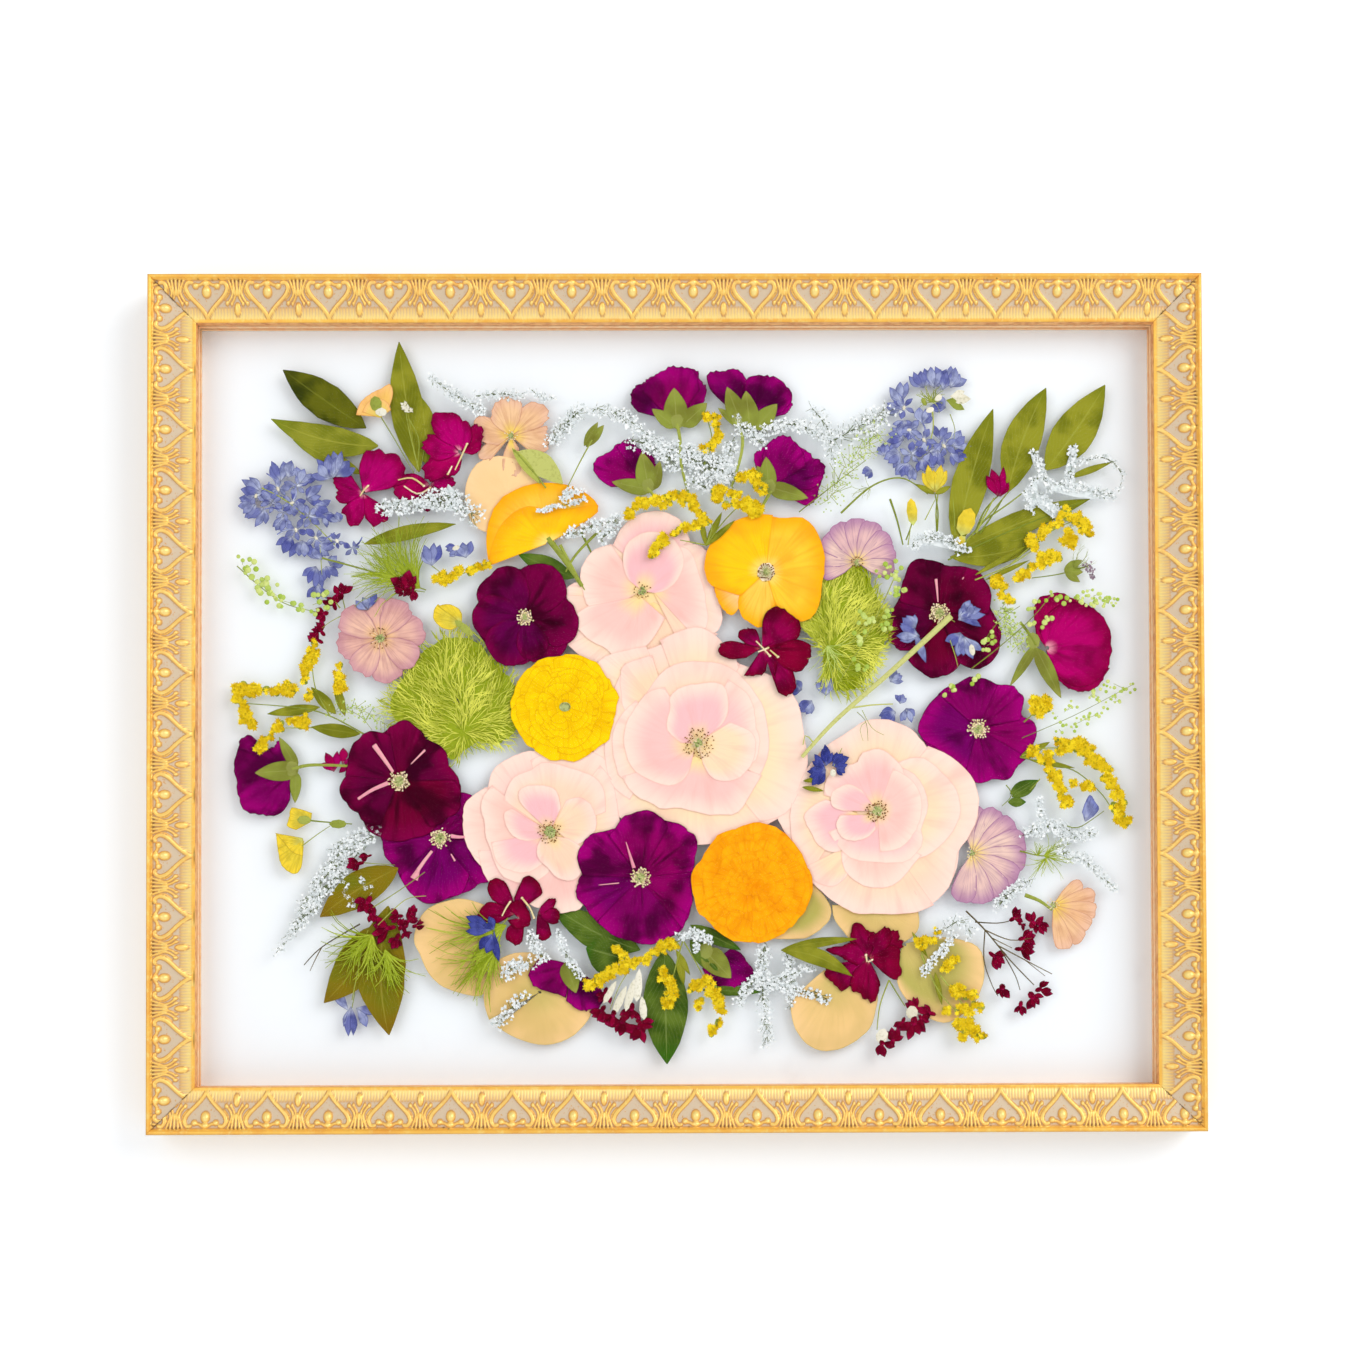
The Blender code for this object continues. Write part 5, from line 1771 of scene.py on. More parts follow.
def pale_roses() -> list[Bloom]:
    """The four pale roses, by what the photo shows of each petal.

    Returns:
        The blooms, not built yet.
    """
    top, middle, left, right = (642, 591), (698, 743), (550, 832), (877, 811)
    return [
        PaleRose("pale_rose_top", "rose_top", "pale_pink_petal", ROSE, top, [
            Petal((650, 600), [(628, 664), (650, 664), (676, 658), (702, 646), (718, 634)]),
            Petal((640, 606), [(561, 590), (560, 606), (563, 626), (568, 644), (580, 652)]),
            Petal((640, 610), [(568, 645), (577, 653), (588, 661), (606, 665), (624, 665), (640, 655)]),
            Petal((620, 598), [(562, 595), (569, 586), (579, 582), (592, 585), (600, 560)]),
            Petal((648, 575), [(613, 545), (621, 529), (634, 517), (652, 511), (667, 513), (681, 521),
                               (690, 540)]),
            Petal((652, 590), [(668, 548), (692, 544), (704, 548), (709, 561), (713, 586),
                               (721, 607), (722, 622), (716, 633), (700, 640), (680, 645)]),
            Petal(top, [(611, 544), (594, 550), (583, 564), (580, 577), (583, 592), (588, 606),
                        (604, 612)]),
            Petal((650, 588), [(655, 553), (673, 547), (690, 550), (700, 575), (706, 600), (707, 627),
                               (690, 632)]),
            Petal((640, 596), [(588, 606), (575, 615), (574, 623), (581, 632), (591, 641),
                               (606, 649), (621, 661), (640, 650), (652, 640), (665, 618)]),
            Petal(top, [(634, 584), (627, 578), (623, 564), (624, 550), (632, 538), (652, 531), (673, 538),
                        (684, 558), (679, 578), (667, 590), (655, 593)])],
                 [0.8, 0.6, 0.9, 0.8, 0.05, 0.75, 0.35, 0.3, 0.3, 0.0], core=1.9, stamen_count=14,
                 reach=(2.6, 4.8)),
        PaleRose("pale_rose_middle", "rose_middle", "pale_pink_petal", ROSE, middle, [
            Petal((680, 720), [(596, 700), (592, 682), (596, 666), (606, 656), (626, 650), (646, 646)]),
            Petal((670, 755), [(610, 700), (600, 722), (594, 745), (594, 765), (602, 785), (622, 800)]),
            Petal((690, 760), [(612, 785), (614, 805), (620, 818), (650, 835), (695, 845), (740, 838),
                               (779, 818)]),
            Petal(middle, [(660, 640), (682, 630), (700, 627), (712, 633), (722, 642),
                           (735, 655), (744, 676), (776, 679), (790, 690), (797, 702)]),
            Petal(middle, [(740, 664), (780, 680), (797, 702), (802, 723), (808, 761),
                           (802, 784), (791, 808), (779, 817), (760, 822)]),
            Petal((660, 740), [(625, 663), (618, 680), (610, 700), (606, 730), (605, 760), (612, 785),
                               (630, 800)]),
            Petal((672, 720), [(652, 655), (625, 664), (620, 679), (621, 695), (625, 711), (640, 720)]),
            Petal((690, 740), [(643, 699), (651, 686), (663, 671), (682, 662), (710, 662),
                               (732, 668), (747, 682), (761, 702), (767, 723), (769, 752), (760, 776)]),
            Petal((680, 745), [(636, 700), (624, 711), (615, 726), (612, 745), (615, 764), (622, 778),
                               (650, 788)]),
            Petal((700, 755), [(622, 776), (629, 789), (641, 799), (652, 803), (660, 809),
                               (681, 808), (703, 814), (725, 815), (739, 812), (753, 790), (762, 775)]),
            Petal(middle, [(728, 679), (747, 693), (754, 708), (756, 726), (760, 738), (756, 760),
                           (740, 768)]),
            Petal((695, 746), [(665, 687), (648, 692), (634, 709), (625, 727), (624, 746),
                               (629, 762), (638, 774), (654, 782), (670, 786), (684, 780), (690, 770)]),
            Petal(middle, [(703, 764), (710, 776), (720, 781), (735, 780), (747, 771),
                           (754, 758), (756, 745), (752, 732), (730, 722)]),
            Petal(middle, [(681, 743), (669, 733), (666, 724), (670, 708), (670, 696),
                           (682, 687), (703, 683), (722, 684), (728, 696), (728, 714), (721, 726)])],
                 [1.0, 0.95, 0.95, 0.9, 1.0, 0.8, 0.9, 0.7, 0.75, 0.25, 0.15, 0.2, 0.9, 0.05], core=2.0,
                 stamen_count=62,
                 reach=(3.4, 8.6)),
        PaleRose("pale_rose_left", "rose_left", "pale_pink_petal", ROSE, left, [
            Petal((530, 825), [(486, 787), (471, 797), (464, 807), (463, 825), (466, 844), (474, 856),
                               (486, 860)]),
            Petal((540, 850), [(478, 850), (480, 862), (484, 874), (488, 881), (496, 890), (506, 900),
                               (540, 905)]),
            Petal(left, [(488, 788), (491, 774), (498, 765), (511, 757), (528, 751), (547, 752),
                         (556, 760)]),
            Petal(left, [(530, 760), (560, 748), (585, 750), (600, 755), (612, 768), (616, 790),
                         (619, 816)]),
            Petal(left, [(600, 765), (612, 780), (616, 795), (618, 812), (622, 835), (615, 860),
                         (595, 885)]),
            Petal((560, 850), [(594, 870), (590, 890), (581, 908), (571, 911), (560, 913), (535, 907),
                               (515, 895)]),
            Petal((545, 830), [(492, 785), (483, 797), (481, 810), (485, 824), (486, 838),
                               (491, 850), (495, 864), (505, 878), (530, 884), (550, 872)]),
            Petal(left, [(503, 800), (508, 786), (515, 776), (530, 770), (545, 762), (570, 768), (593, 776),
                         (604, 790), (606, 812)]),
            Petal(left, [(491, 842), (494, 855), (500, 866), (515, 872), (530, 872), (545, 862)]),
            Petal((553, 828), [(566, 800), (580, 797), (592, 806), (597, 822), (592, 836), (575, 846)]),
            Petal(left, [(512, 808), (504, 813), (505, 822), (508, 830), (516, 838), (528, 841),
                         (541, 838)]),
            Petal(left, [(532, 815), (522, 805), (518, 795), (523, 787), (541, 785), (556, 790),
                         (561, 808)]),
            Petal((551, 836), [(541, 838), (537, 847), (537, 856), (542, 863), (547, 867),
                               (555, 876), (566, 881), (577, 878), (584, 866), (582, 848), (568, 838)])],
                 [0.4, 0.2, 0.3, 0.6, 0.85, 0.3, 0.4, 0.7, 0.0, 0.8, 0.05, 0.0, 0.75], core=3.0,
                 stamen_count=44,
                 reach=(3.0, 6.4)),
        PaleRose("pale_rose_right", "rose_right", "pale_pink_petal", ROSE, right, [
            Petal((860, 815), [(806, 768), (790, 782), (779, 798), (777, 814), (782, 828), (792, 842),
                               (806, 856)]),
            Petal(right, [(820, 752), (830, 743), (845, 734), (859, 724), (873, 719),
                          (890, 720), (908, 727), (919, 737), (928, 749), (932, 765)]),
            Petal(right, [(928, 746), (945, 753), (959, 763), (971, 775), (977, 789),
                          (979, 803), (976, 821), (968, 838), (958, 852), (955, 869), (949, 887),
                          (936, 901), (923, 910)]),
            Petal((880, 830), [(934, 905), (923, 910), (912, 913), (893, 914), (876, 914),
                               (859, 914), (845, 908), (833, 901), (822, 892), (811, 880), (815, 865)]),
            Petal((850, 810), [(820, 752), (806, 770), (797, 790), (792, 800), (790, 815),
                               (791, 835), (796, 850), (803, 862), (812, 872)]),
            Petal((860, 840), [(806, 866), (809, 874), (815, 881), (826, 886), (837, 885), (847, 876),
                               (853, 862)]),
            Petal(right, [(896, 763), (915, 757), (931, 762), (956, 789), (960, 815),
                          (948, 838), (928, 855), (905, 862)]),
            Petal((870, 830), [(841, 852), (844, 869), (855, 881), (869, 887), (888, 887),
                               (902, 879), (913, 865), (922, 855)]),
            Petal((860, 815), [(826, 799), (814, 805), (804, 815), (809, 829), (817, 843),
                               (827, 851), (838, 852), (845, 846)]),
            Petal(right, [(899, 766), (916, 775), (926, 792), (928, 809), (921, 829),
                          (923, 843), (910, 860), (893, 863), (870, 862), (850, 858), (838, 846),
                          (828, 832)]),
            Petal(right, [(824, 795), (826, 780), (837, 767), (856, 763), (862, 753),
                          (879, 749), (893, 757), (903, 769), (906, 785)]),
            Petal(right, [(893, 768), (912, 780), (921, 795), (922, 812), (915, 832), (900, 848),
                          (880, 852)]),
            Petal(right, [(843, 811), (832, 806), (831, 794), (839, 787), (850, 784), (862, 790)]),
            Petal((874, 815), [(840, 815), (836, 826), (843, 838), (855, 841), (868, 837), (876, 829)])],
                 [0.6, 0.85, 0.8, 0.75, 0.9, 0.95, 0.9, 0.4, 0.0, 0.1, 0.15, 0.3, 0.05, 0.0], core=2.4,
                 stamen_count=52,
                 reach=(3.0, 6.0)),
    ]


def velvet_roses() -> list[Bloom]:
    """The six dark velvet roses.

    Returns:
        The blooms, not built yet.
    """
    upper, lower, left, bottom = (525, 617), (440, 838), (399, 781), (640, 878)
    north, east = (939, 613), (978, 729)
    plum = "plum_petal"
    return [
        VelvetRose("velvet_rose_upper_left", "plum_upper_left", plum, PLUM_DARK, upper, [
            sector(upper, 310, 52, 52), sector(upper, 350, 54, 48), sector(upper, 62, 57, 50),
            sector(upper, 130, 56, 52), sector(upper, 182, 52, 50), sector(upper, 238, 52, 50),
            sector(upper, 285, 42, 40)], [0.0, 0.1, 0.1, 0.7, 0.9, 1.0, 0.9], core=1.4, stamen_count=44,
                   reach=(2.0, 4.8)),
        VelvetRose("velvet_rose_lower_left", "plum_lower_left", plum, PLUM, lower, [
            *fan(lower, [(470, 860), (474, 840), (474, 800), (464, 791), (450, 798), (440, 810)],
                 [(448, 898), (474, 889), (482, 884), (489, 881), (488, 862), (478, 840)],
                 [(405, 826), (420, 815), (440, 812), (460, 815)],
                 [(395, 822), (381, 835), (383, 850), (390, 862), (398, 874), (408, 886)],
                 [(399, 876), (412, 896), (423, 903), (434, 903), (447, 900), (462, 893), (470, 875)])],
                   [0.4, 0.9, 0.2, 0.7, 1.0],
                   streaks=[([(432, 851), (425, 860), (418, 870)], 0.7, 1.0),
                            ([(418, 870), (416, 875), (414, 879)], 1.0, 2.2),
                            ([(451, 836), (458, 837), (465, 837)], 1.1, 0.6),
                            ([(451, 854), (455, 861)], 0.3, 0.5)]),
        VelvetRose("velvet_rose_left", "plum_left", plum, MAROON, left, [
            *fan(left, [(424, 738), (438, 744), (446, 754), (451, 765), (457, 777), (460, 788), (454, 802)],
                 [(358, 812), (363, 820), (368, 830), (380, 839), (400, 841), (425, 836), (442, 820)],
                 [(455, 780), (461, 792), (461, 805), (448, 820), (430, 827)],
                 [(384, 736), (391, 725), (404, 721), (413, 723), (421, 731), (428, 742)],
                 [(352, 770), (342, 780), (340, 791), (345, 802), (357, 811), (364, 822), (380, 826)],
                 [(390, 734), (379, 732), (369, 732), (357, 738), (350, 752), (347, 764), (345, 776)])],
                   [0.8, 0.1, 0.0, 0.5, 0.9, 0.8],
                   streaks=[([(393, 772), (384, 759), (374, 745)], 0.75, 1.35),
                            ([(388, 783), (372, 790), (358, 799)], 1.1, 0.7),
                            ([(411, 764), (418, 757), (425, 750)], 0.25, 0.6)]),
        VelvetRose("velvet_rose_bottom", "plum_bottom", plum, PLUM, bottom, [
            *fan(bottom, [(600, 926), (590, 914), (580, 903), (576, 890), (578, 880), (584, 872)],
                 [(690, 866), (693, 885), (691, 905), (683, 928), (668, 939)],
                 [(664, 820), (679, 824), (689, 830), (695, 835), (697, 850), (693, 872)],
                 [(583, 876), (578, 863), (580, 845), (590, 836), (606, 830), (618, 828)],
                 [(596, 922), (610, 933), (620, 938), (633, 943), (650, 944), (668, 939), (682, 928)],
                 [(608, 835), (616, 827), (626, 815), (640, 811), (653, 812), (663, 818), (668, 828)])],
                   [0.9, 0.2, 0.1, 0.5, 0.6, 0.2],
                   streaks=[([(634, 868), (630, 855), (626, 842)], 0.95, 0.2),
                            ([(599, 885), (609, 884), (619, 883)], 0.2, 0.3)]),
        VelvetRose("velvet_rose_upper_right", "plum_upper_right", plum, MAROON, north, [
            *fan(north, [(988, 605), (995, 622), (1000, 637), (1000, 646), (995, 657),
                         (983, 669), (970, 668), (957, 662)],
                 [(905, 648), (890, 644), (889, 632), (891, 615), (899, 598)],
                 [(957, 662), (949, 674), (937, 678), (921, 673), (908, 660)],
                 [(899, 602), (904, 575), (911, 564), (921, 558), (932, 560), (944, 564)],
                 [(940, 564), (951, 566), (960, 565), (972, 569), (981, 574), (989, 584), (991, 598),
                  (989, 614)])],
                   [0.4, 0.9, 0.0, 0.6, 0.3],
                   streaks=[([(938, 602), (937, 590), (936, 579)], 0.3, 0.75),
                            ([(962.6, 578), (963.4, 578.6)], 0.7, 0.7)]),
        VelvetRose("velvet_rose_right", "plum_right", plum, PLUM, east, [
            *fan(east, [(1016, 714), (1037, 724), (1035, 737), (1031, 750), (1021, 762)],
                 [(1028, 757), (1017, 768), (1008, 779), (991, 781), (975, 782), (964, 770)],
                 [(966, 772), (945, 756), (926, 742), (919, 731), (920, 718), (926, 708), (939, 694)],
                 [(996, 684), (1012, 686), (1022, 694), (1023, 708), (1020, 720)],
                 [(938, 694), (949, 686), (963, 680), (975, 676), (984, 678), (998, 685)])],
                   [0.3, 0.6, 1.0, 0.4, 0.5]),
    ]


def sunny_blooms() -> list[Bloom]:
    """The two ranunculi and the two poppies.

    Returns:
        The blooms, not built yet.
    """
    yellow, orange, poppy = (565, 707), (752, 884), (766, 572)
    return [
        Buttercup("yellow_ranunculus", "ranunculus_yellow", "yellow_petal", LEMON, yellow, [], radius=54),
        Buttercup("orange_ranunculus", "ranunculus_orange", "orange_petal", TANGERINE, orange, [],
                  radius=59.5, rings=10, green_eye=False),
        Poppy("yellow_poppy", "poppy_yellow", "yellow_petal", SUN, poppy, fan(
            poppy, [(713, 580), (716, 596), (724, 610), (733, 615), (742, 603)],
            [(740, 592), (738, 604), (742, 616), (752, 625), (760, 628), (770, 622), (776, 605)],
            [(771, 516), (782, 518), (800, 517), (812, 524), (820, 540), (825, 558), (823, 580), (820, 600),
             (812, 617), (795, 622), (780, 612), (774, 600)],
            [(741, 596), (722, 590), (710, 584), (705, 572), (706, 556), (713, 540), (727, 525), (745, 517),
             (760, 514), (773, 515)]), [1.0, 0.25, 0.1, 0.0]),
        Poppy("folded_poppy", "poppy_folded", "orange_petal", SUN, (548, 545), fan(
            (551, 540), [(488, 560), (486, 540), (489, 520), (500, 500), (520, 487), (545, 483), (565, 484),
                         (585, 492), (598, 505), (597, 513)]) + fan(
                             (549, 543), [(489, 566), (491, 548), (499, 528), (513, 513), (532, 506),
                                          (549, 510), (575, 508), (597, 505), (597, 513),
                                          (573, 530)]), [0.2, 0.0],
              eye_shown=False),
    ]


def pink_blooms() -> list[Bloom]:
    """The cosmos flowers, the peach blooms and the side bud of the far right.

    Returns:
        The blooms, not built yet.
    """
    pink, half, mauve, peach = (380, 638), (857, 562), (972, 853), (1053, 905)
    ring = [sector(pink, 12 + 45 * k, 45 - 2 * (k % 3), 34, 4.0) for k in (0, 2, 4, 6, 1, 3, 5, 7)]
    half_fan = [sector(half, 196 - 26 * k, 38 + 6 * math.sin(math.pi * k / 8), 25, 4.0) for k in range(9)]
    mauve_fan = [sector(mauve, way, reach, 24, 4.0) for way, reach in (
        (86, 47), (60, 50), (36, 52), (14, 55), (-8, 54), (-30, 52), (-54, 52), (-78, 52), (-102, 50))]
    peach_fan = [sector(peach, way, reach, 19, 4.0) for way, reach in (
        (38, 36), (14, 43), (-8, 44), (-30, 44), (-52, 46), (-74, 46))]
    return [
        Cosmos("dusty_pink_cosmos", "cosmos_pink", "pale_pink_petal", DUSK, pink, ring, ruffle=0.9,
               eye_size=1.6),
        Cosmos("half_cosmos", "cosmos_fan", "mauve_petal", MAUVE, half, half_fan),
        Cosmos("mauve_cosmos", "cosmos_mauve", "mauve_petal", MAUVE, mauve, mauve_fan, eye_slot=1),
        Cosmos("peach_cosmos", "cosmos_peach", "peach_petal", PEACH, peach, peach_fan, eye_slot=1),
        Cosmos("peach_buttercup", "peach_bloom", "peach_petal", PEACH, (511, 436), fan(
            (511, 436), [(504, 452), (502, 464), (507, 475), (516, 479), (523, 472),
                         (518, 460), (519, 448)],
            [(498, 450), (490, 460), (481, 459), (480, 449), (490, 442)],
            [(524, 446), (536, 456), (546, 452), (550, 438), (547, 426), (534, 430)],
            [(498, 446), (484, 442), (475, 432), (476, 420), (486, 416), (502, 426)],
            [(520, 430), (538, 428), (549, 416), (546, 406), (532, 403), (518, 410), (514, 422)],
            [(500, 430), (491, 420), (492, 408), (501, 399), (513, 397), (522, 405), (520, 420)]),
               [0.7, 0.4, 0.2, 0.6, 0.4, 0.1], eye_slot=1, ruffle=1.1, scallop=2.4, columns=21),
        Bloom("fallen_peach_petal", "peach_petal", "peach_petal", PALE_PEACH, (507, 492), fan(
            (509, 500), [(492, 534), (477, 528), (468, 514), (465, 494), (470, 474), (482, 460), (500, 456),
                         (520, 461), (534, 473), (541, 492), (534, 508)])),
    ]


def side_roses() -> list[Bloom]:
    """The roses that were pressed on their sides.

    Returns:
        The blooms, not built yet.
    """
    def blade(base: Place, tip: Place, width: float) -> Blade:
        """A sepal."""
        return Blade(base, tip, 1.45 * width, 0.0, 0.7, 0.75, rows=10)

    magenta = "magenta_petal"
    return [
        SideRose("side_rose_top_left", "spray_rose_top_left", magenta, PLUM, (675, 425), fan(
            (675, 422), [(638, 412), (631, 403), (632, 392), (642, 382), (655, 376), (662, 380)],
            [(682, 368), (698, 371), (701, 381), (707, 390), (704, 402), (696, 411)],
            [(642, 392), (652, 377), (664, 370), (676, 366), (688, 367), (696, 374), (700, 390)]),
                 [0.9, 0.3, 0.2],
                 sepals=[blade((682, 426), (707, 403), 13), blade((676, 427), (652, 409), 10),
                         blade((677, 428), (674, 388), 17)],
                 calyx=(677, 421), stem=[(677, 424), (680, 440), (681, 464), (690, 500)]),
        SideRose("side_rose_top_right", "spray_rose_top_right", magenta, PLUM, (747, 428), fan(
            (747, 424), [(785, 393), (792, 402), (788, 413), (777, 416)],
            [(722, 402), (709, 388), (708, 374), (722, 370), (733, 368), (742, 373), (750, 386)],
            [(744, 388), (748, 378), (762, 374), (776, 379), (790, 388), (792, 400), (783, 412)]),
                 [1.0, 0.8, 0.9],
                 sepals=[blade((742, 426), (718, 408), 7), blade((755, 429), (777, 404), 13),
                         blade((742, 426), (727, 387), 14), blade((750, 429), (746, 391), 14)],
                 calyx=(738, 419), stem=[(735, 422), (742, 435), (741, 455), (731, 489)]),
        SideRose("side_bud_left", "spray_rose_bud_left", magenta, PLUM, (645, 488), fan(
            (645, 486), [(636, 447), (648, 452), (655, 461), (657, 478)],
            [(611, 487), (600, 480), (593, 469), (600, 456), (612, 448), (622, 443),
             (632, 446), (640, 460)],
            [(616, 447), (630, 438), (638, 449), (646, 462)]), [0.2, 0.3, 0.6],
                 sepals=[blade((653, 490), (660, 461), 9), blade((651, 490), (612, 482), 11),
                         blade((649, 491), (642, 452), 15)],
                 calyx=(648, 485), stem=[(647, 488), (652, 493), (656, 501)]),
        SideRose("side_bud_right", "spray_rose_bud_right", magenta, PLUM, (768, 490), fan(
            (770, 488), [(822, 480), (818, 494), (811, 505), (799, 503), (792, 495)],
            [(764, 482), (757, 470), (754, 460), (757, 451), (765, 446), (774, 442)],
            [(798, 446), (814, 456), (825, 468), (821, 482), (810, 490)],
            [(762, 456), (768, 443), (777, 436), (789, 437), (801, 448), (806, 466)]), [0.1, 0.2, 0.9, 0.5],
                 sepals=[blade((768, 487), (808, 498), 12), blade((769, 489), (757, 466), 10),
                         blade((769, 490), (766, 457), 12)],
                 calyx=(769, 486), stem=[(771, 491), (764, 503), (757, 514)]),
        SideRose("side_rose_far_left", "spray_rose_far_left", magenta, PLUM, (294, 770), fan(
            (292, 772), [(262, 754), (280, 742), (288, 752)],
            [(262, 756), (250, 734), (240, 743), (236, 755), (236, 768)],
            [(238, 748), (234, 768), (238, 795), (246, 810), (262, 816), (281, 813), (290, 800)]),
                 [0.8, 0.7, 0.6],
                 sepals=[blade((297, 768), (279, 737), 8), blade((296, 772), (295, 803), 8),
                         blade((298, 770), (255, 773), 14)],
                 calyx=(292, 769), stem=[(292, 769), (312, 765), (349, 766)]),
        SideRose("side_rose_far_right", "spray_rose_far_right", magenta, MAGENTA, (1044, 652), fan(
            (1046, 648), [(1049, 668), (1059, 681), (1073, 690), (1087, 692), (1099, 685), (1110, 668)],
            [(1036, 634), (1034, 606), (1045, 595), (1069, 595), (1087, 605), (1101, 614)],
            [(1039, 630), (1050, 611), (1070, 602), (1088, 605), (1101, 614), (1109, 630),
             (1111, 650), (1110, 667), (1100, 680), (1085, 687), (1068, 684),
             (1050, 670)]), [0.4, 0.9, 0.2],
                 sepals=[blade((1036, 645), (1010, 686), 7), blade((1036, 648), (1061, 698), 11)],
                 calyx=(1033, 641), stem=[(1036, 645), (1028, 632), (1020, 622)]),
        SideRose("side_rose_bottom_left", "spray_rose_bottom_left", magenta, PLUM, (570, 966), fan(
            (572, 966), [(566, 1001), (576, 1008), (590, 1011), (600, 1007), (603, 994), (598, 984)],
            [(566, 998), (548, 991), (531, 984), (529, 973), (540, 959), (554, 960), (566, 963)]),
                 [0.9, 0.4],
                 sepals=[blade((566, 962), (576, 993), 13)]),
        SideRose("side_rose_bottom_right", "spray_rose_bottom_right", magenta, PLUM, (712, 955), fan(
            (718, 958), [(702, 968), (708, 981), (718, 989), (727, 992), (739, 987), (753, 974), (750, 965),
                         (741, 953), (731, 948)]), [0.8],
                 sepals=[blade((704, 950), (731, 978), 17)], calyx=(706, 951)),
    ]


def phlox_clusters() -> list[Bloom]:
    """The small magenta and crimson flowers.

    Returns:
        The blooms, not built yet.
    """
    def flower(eye: Place, petals: list[tuple[float, float, float]]) -> list[Petal]:
        """Petals by their direction, length and half spread."""
        return [sector(eye, way, reach, 1.28 * half, 5.0) for way, reach, half in petals]

    crimson = "crimson_petal"
    return [
        Phlox("left_phlox", "phlox_left", crimson, MAGENTA, (363, 492), fan(
            (430, 484), [(422, 477), (412, 473), (401, 476), (395, 486), (396, 498), (404, 504),
                         (416, 499), (424, 492)],
            [(436, 478), (440, 472), (448, 470), (454, 478), (451, 489), (442, 491)],
            [(424, 490), (415, 499), (420, 508), (434, 509), (444, 502), (439, 490)]) + fan(
                (363, 493), [(370, 488), (388, 488), (402, 484), (408, 476), (404, 466), (398, 480)],
                [(356, 484), (350, 474), (340, 473), (333, 481), (334, 493), (342, 503), (353, 504)],
                [(354, 499), (345, 506), (341, 515), (347, 523), (359, 524), (366, 515), (368, 503)],
                [(368, 498), (378, 502), (387, 511), (385, 522), (374, 526), (365, 518)],
                [(362, 486), (359, 470), (363, 456), (373, 450), (385, 449), (397, 455),
                 (403, 466), (402, 479), (392, 488),
                 (376, 491)]), [0.8, 0.3, 0.6, 0.9, 0.1, 0.3, 0.7, 0.0],
              threads=[[(398, 480), (412, 478), (424, 486)], [(404, 486), (418, 494), (430, 488)],
                       [(360, 496), (364, 490), (368, 486)]]),
        Phlox("upper_phlox", "phlox_upper", crimson, MAGENTA, (452, 462), fan(
            (460, 452), [(470, 446), (467, 434), (472, 424), (480, 427), (484, 440),
                         (479, 451), (472, 455)],
            [(452, 452), (440, 452), (428, 458), (422, 468), (428, 479), (444, 480),
             (458, 472), (462, 460)],
            [(452, 446), (442, 434), (430, 433), (424, 443), (426, 456), (438, 461), (450, 458)],
            [(454, 446), (440, 440), (432, 430), (431, 417), (440, 414), (452, 412), (464, 418), (471, 428),
             (472, 440), (466, 448)]), [0.9, 0.7, 0.2, 0.0],
              threads=[[(455, 470), (462, 455), (467, 444)], [(452, 466), (448, 474)]]),
        Phlox("centre_phlox", "phlox_centre", crimson, CRIMSON, (764, 650), fan(
            (762, 648), [(746, 645), (738, 636), (744, 628), (756, 630), (760, 640)],
            [(746, 658), (730, 659), (718, 652), (721, 643), (734, 641), (748, 645)],
            [(757, 656), (750, 668), (744, 676), (756, 676), (765, 672), (768, 660)],
            [(775, 642), (763, 630), (764, 616), (774, 608), (786, 610), (798, 620),
             (800, 634), (790, 646)],
            [(778, 660), (776, 676), (777, 690), (787, 697), (796, 688), (793, 670)],
            [(778, 648), (790, 640), (802, 640), (812, 650), (809, 663), (798, 672), (784, 668)]),
              [0.9, 0.2, 0.8, 0.7, 0.8, 0.1], ruffle=0.6, scallop=1.3,
              threads=[[(756, 641), (762, 647), (770, 656)], [(758, 652), (768, 648)],
                       [(770, 650), (778, 657)]]),
        Phlox("lower_left_phlox", "phlox_lower_left", crimson, CRIMSON, (517, 915), fan(
            (516, 914), [(492, 900), (487, 888), (494, 878), (505, 882), (512, 896)],
            [(507, 906), (490, 902), (479, 910), (480, 922), (492, 926), (506, 918)],
            [(514, 898), (520, 884), (526, 876), (537, 880), (542, 894), (530, 899)]) + fan(
                (518, 918), [(507, 928), (506, 938), (514, 945), (522, 942), (524, 928)],
                [(506, 906), (520, 900), (530, 914), (529, 926), (516, 929), (507, 920)]) + fan(
                    (537, 914), [(541, 906), (550, 898), (556, 901), (552, 912)],
                    [(542, 916), (552, 908), (560, 913), (556, 924), (544, 922)],
                    [(538, 922), (536, 936), (544, 941), (551, 936), (549, 924)]),
              [0.6, 0.4, 0.8, 0.3, 0.2, 0.9, 0.7, 0.6], ruffle=0.4, scallop=0.7,
              threads=[[(502, 916), (506, 908), (510, 902)],
                       [(524, 900), (530, 908), (534, 918)],
                       [(528, 906), (522, 898)]]),
        Phlox("lower_right_phlox", "phlox_lower_right", crimson, CRIMSON, (868, 958), fan(
            (868, 958), [(846, 966), (832, 965), (824, 968), (834, 986), (842, 991), (852, 984)],
            [(880, 944), (892, 930), (902, 938), (902, 948), (890, 952)],
            [(853, 972), (850, 985), (858, 996), (874, 1000), (881, 988), (876, 972)],
            [(858, 950), (849, 940), (852, 928), (862, 925), (876, 934), (880, 944)],
            [(857, 966), (840, 957), (828, 952), (836, 946), (856, 942)],
            [(876, 962), (884, 974), (896, 978), (903, 962), (896, 948), (884, 944), (878, 950)],
            [(874, 948), (868, 938), (884, 928), (893, 934), (888, 948)]),
              [0.8, 0.3, 0.4, 0.6, 0.7, 0.2, 0.5], threads=[[(867, 962), (866, 955)],
                                                            [(868, 962), (872, 960)]]),
    ]


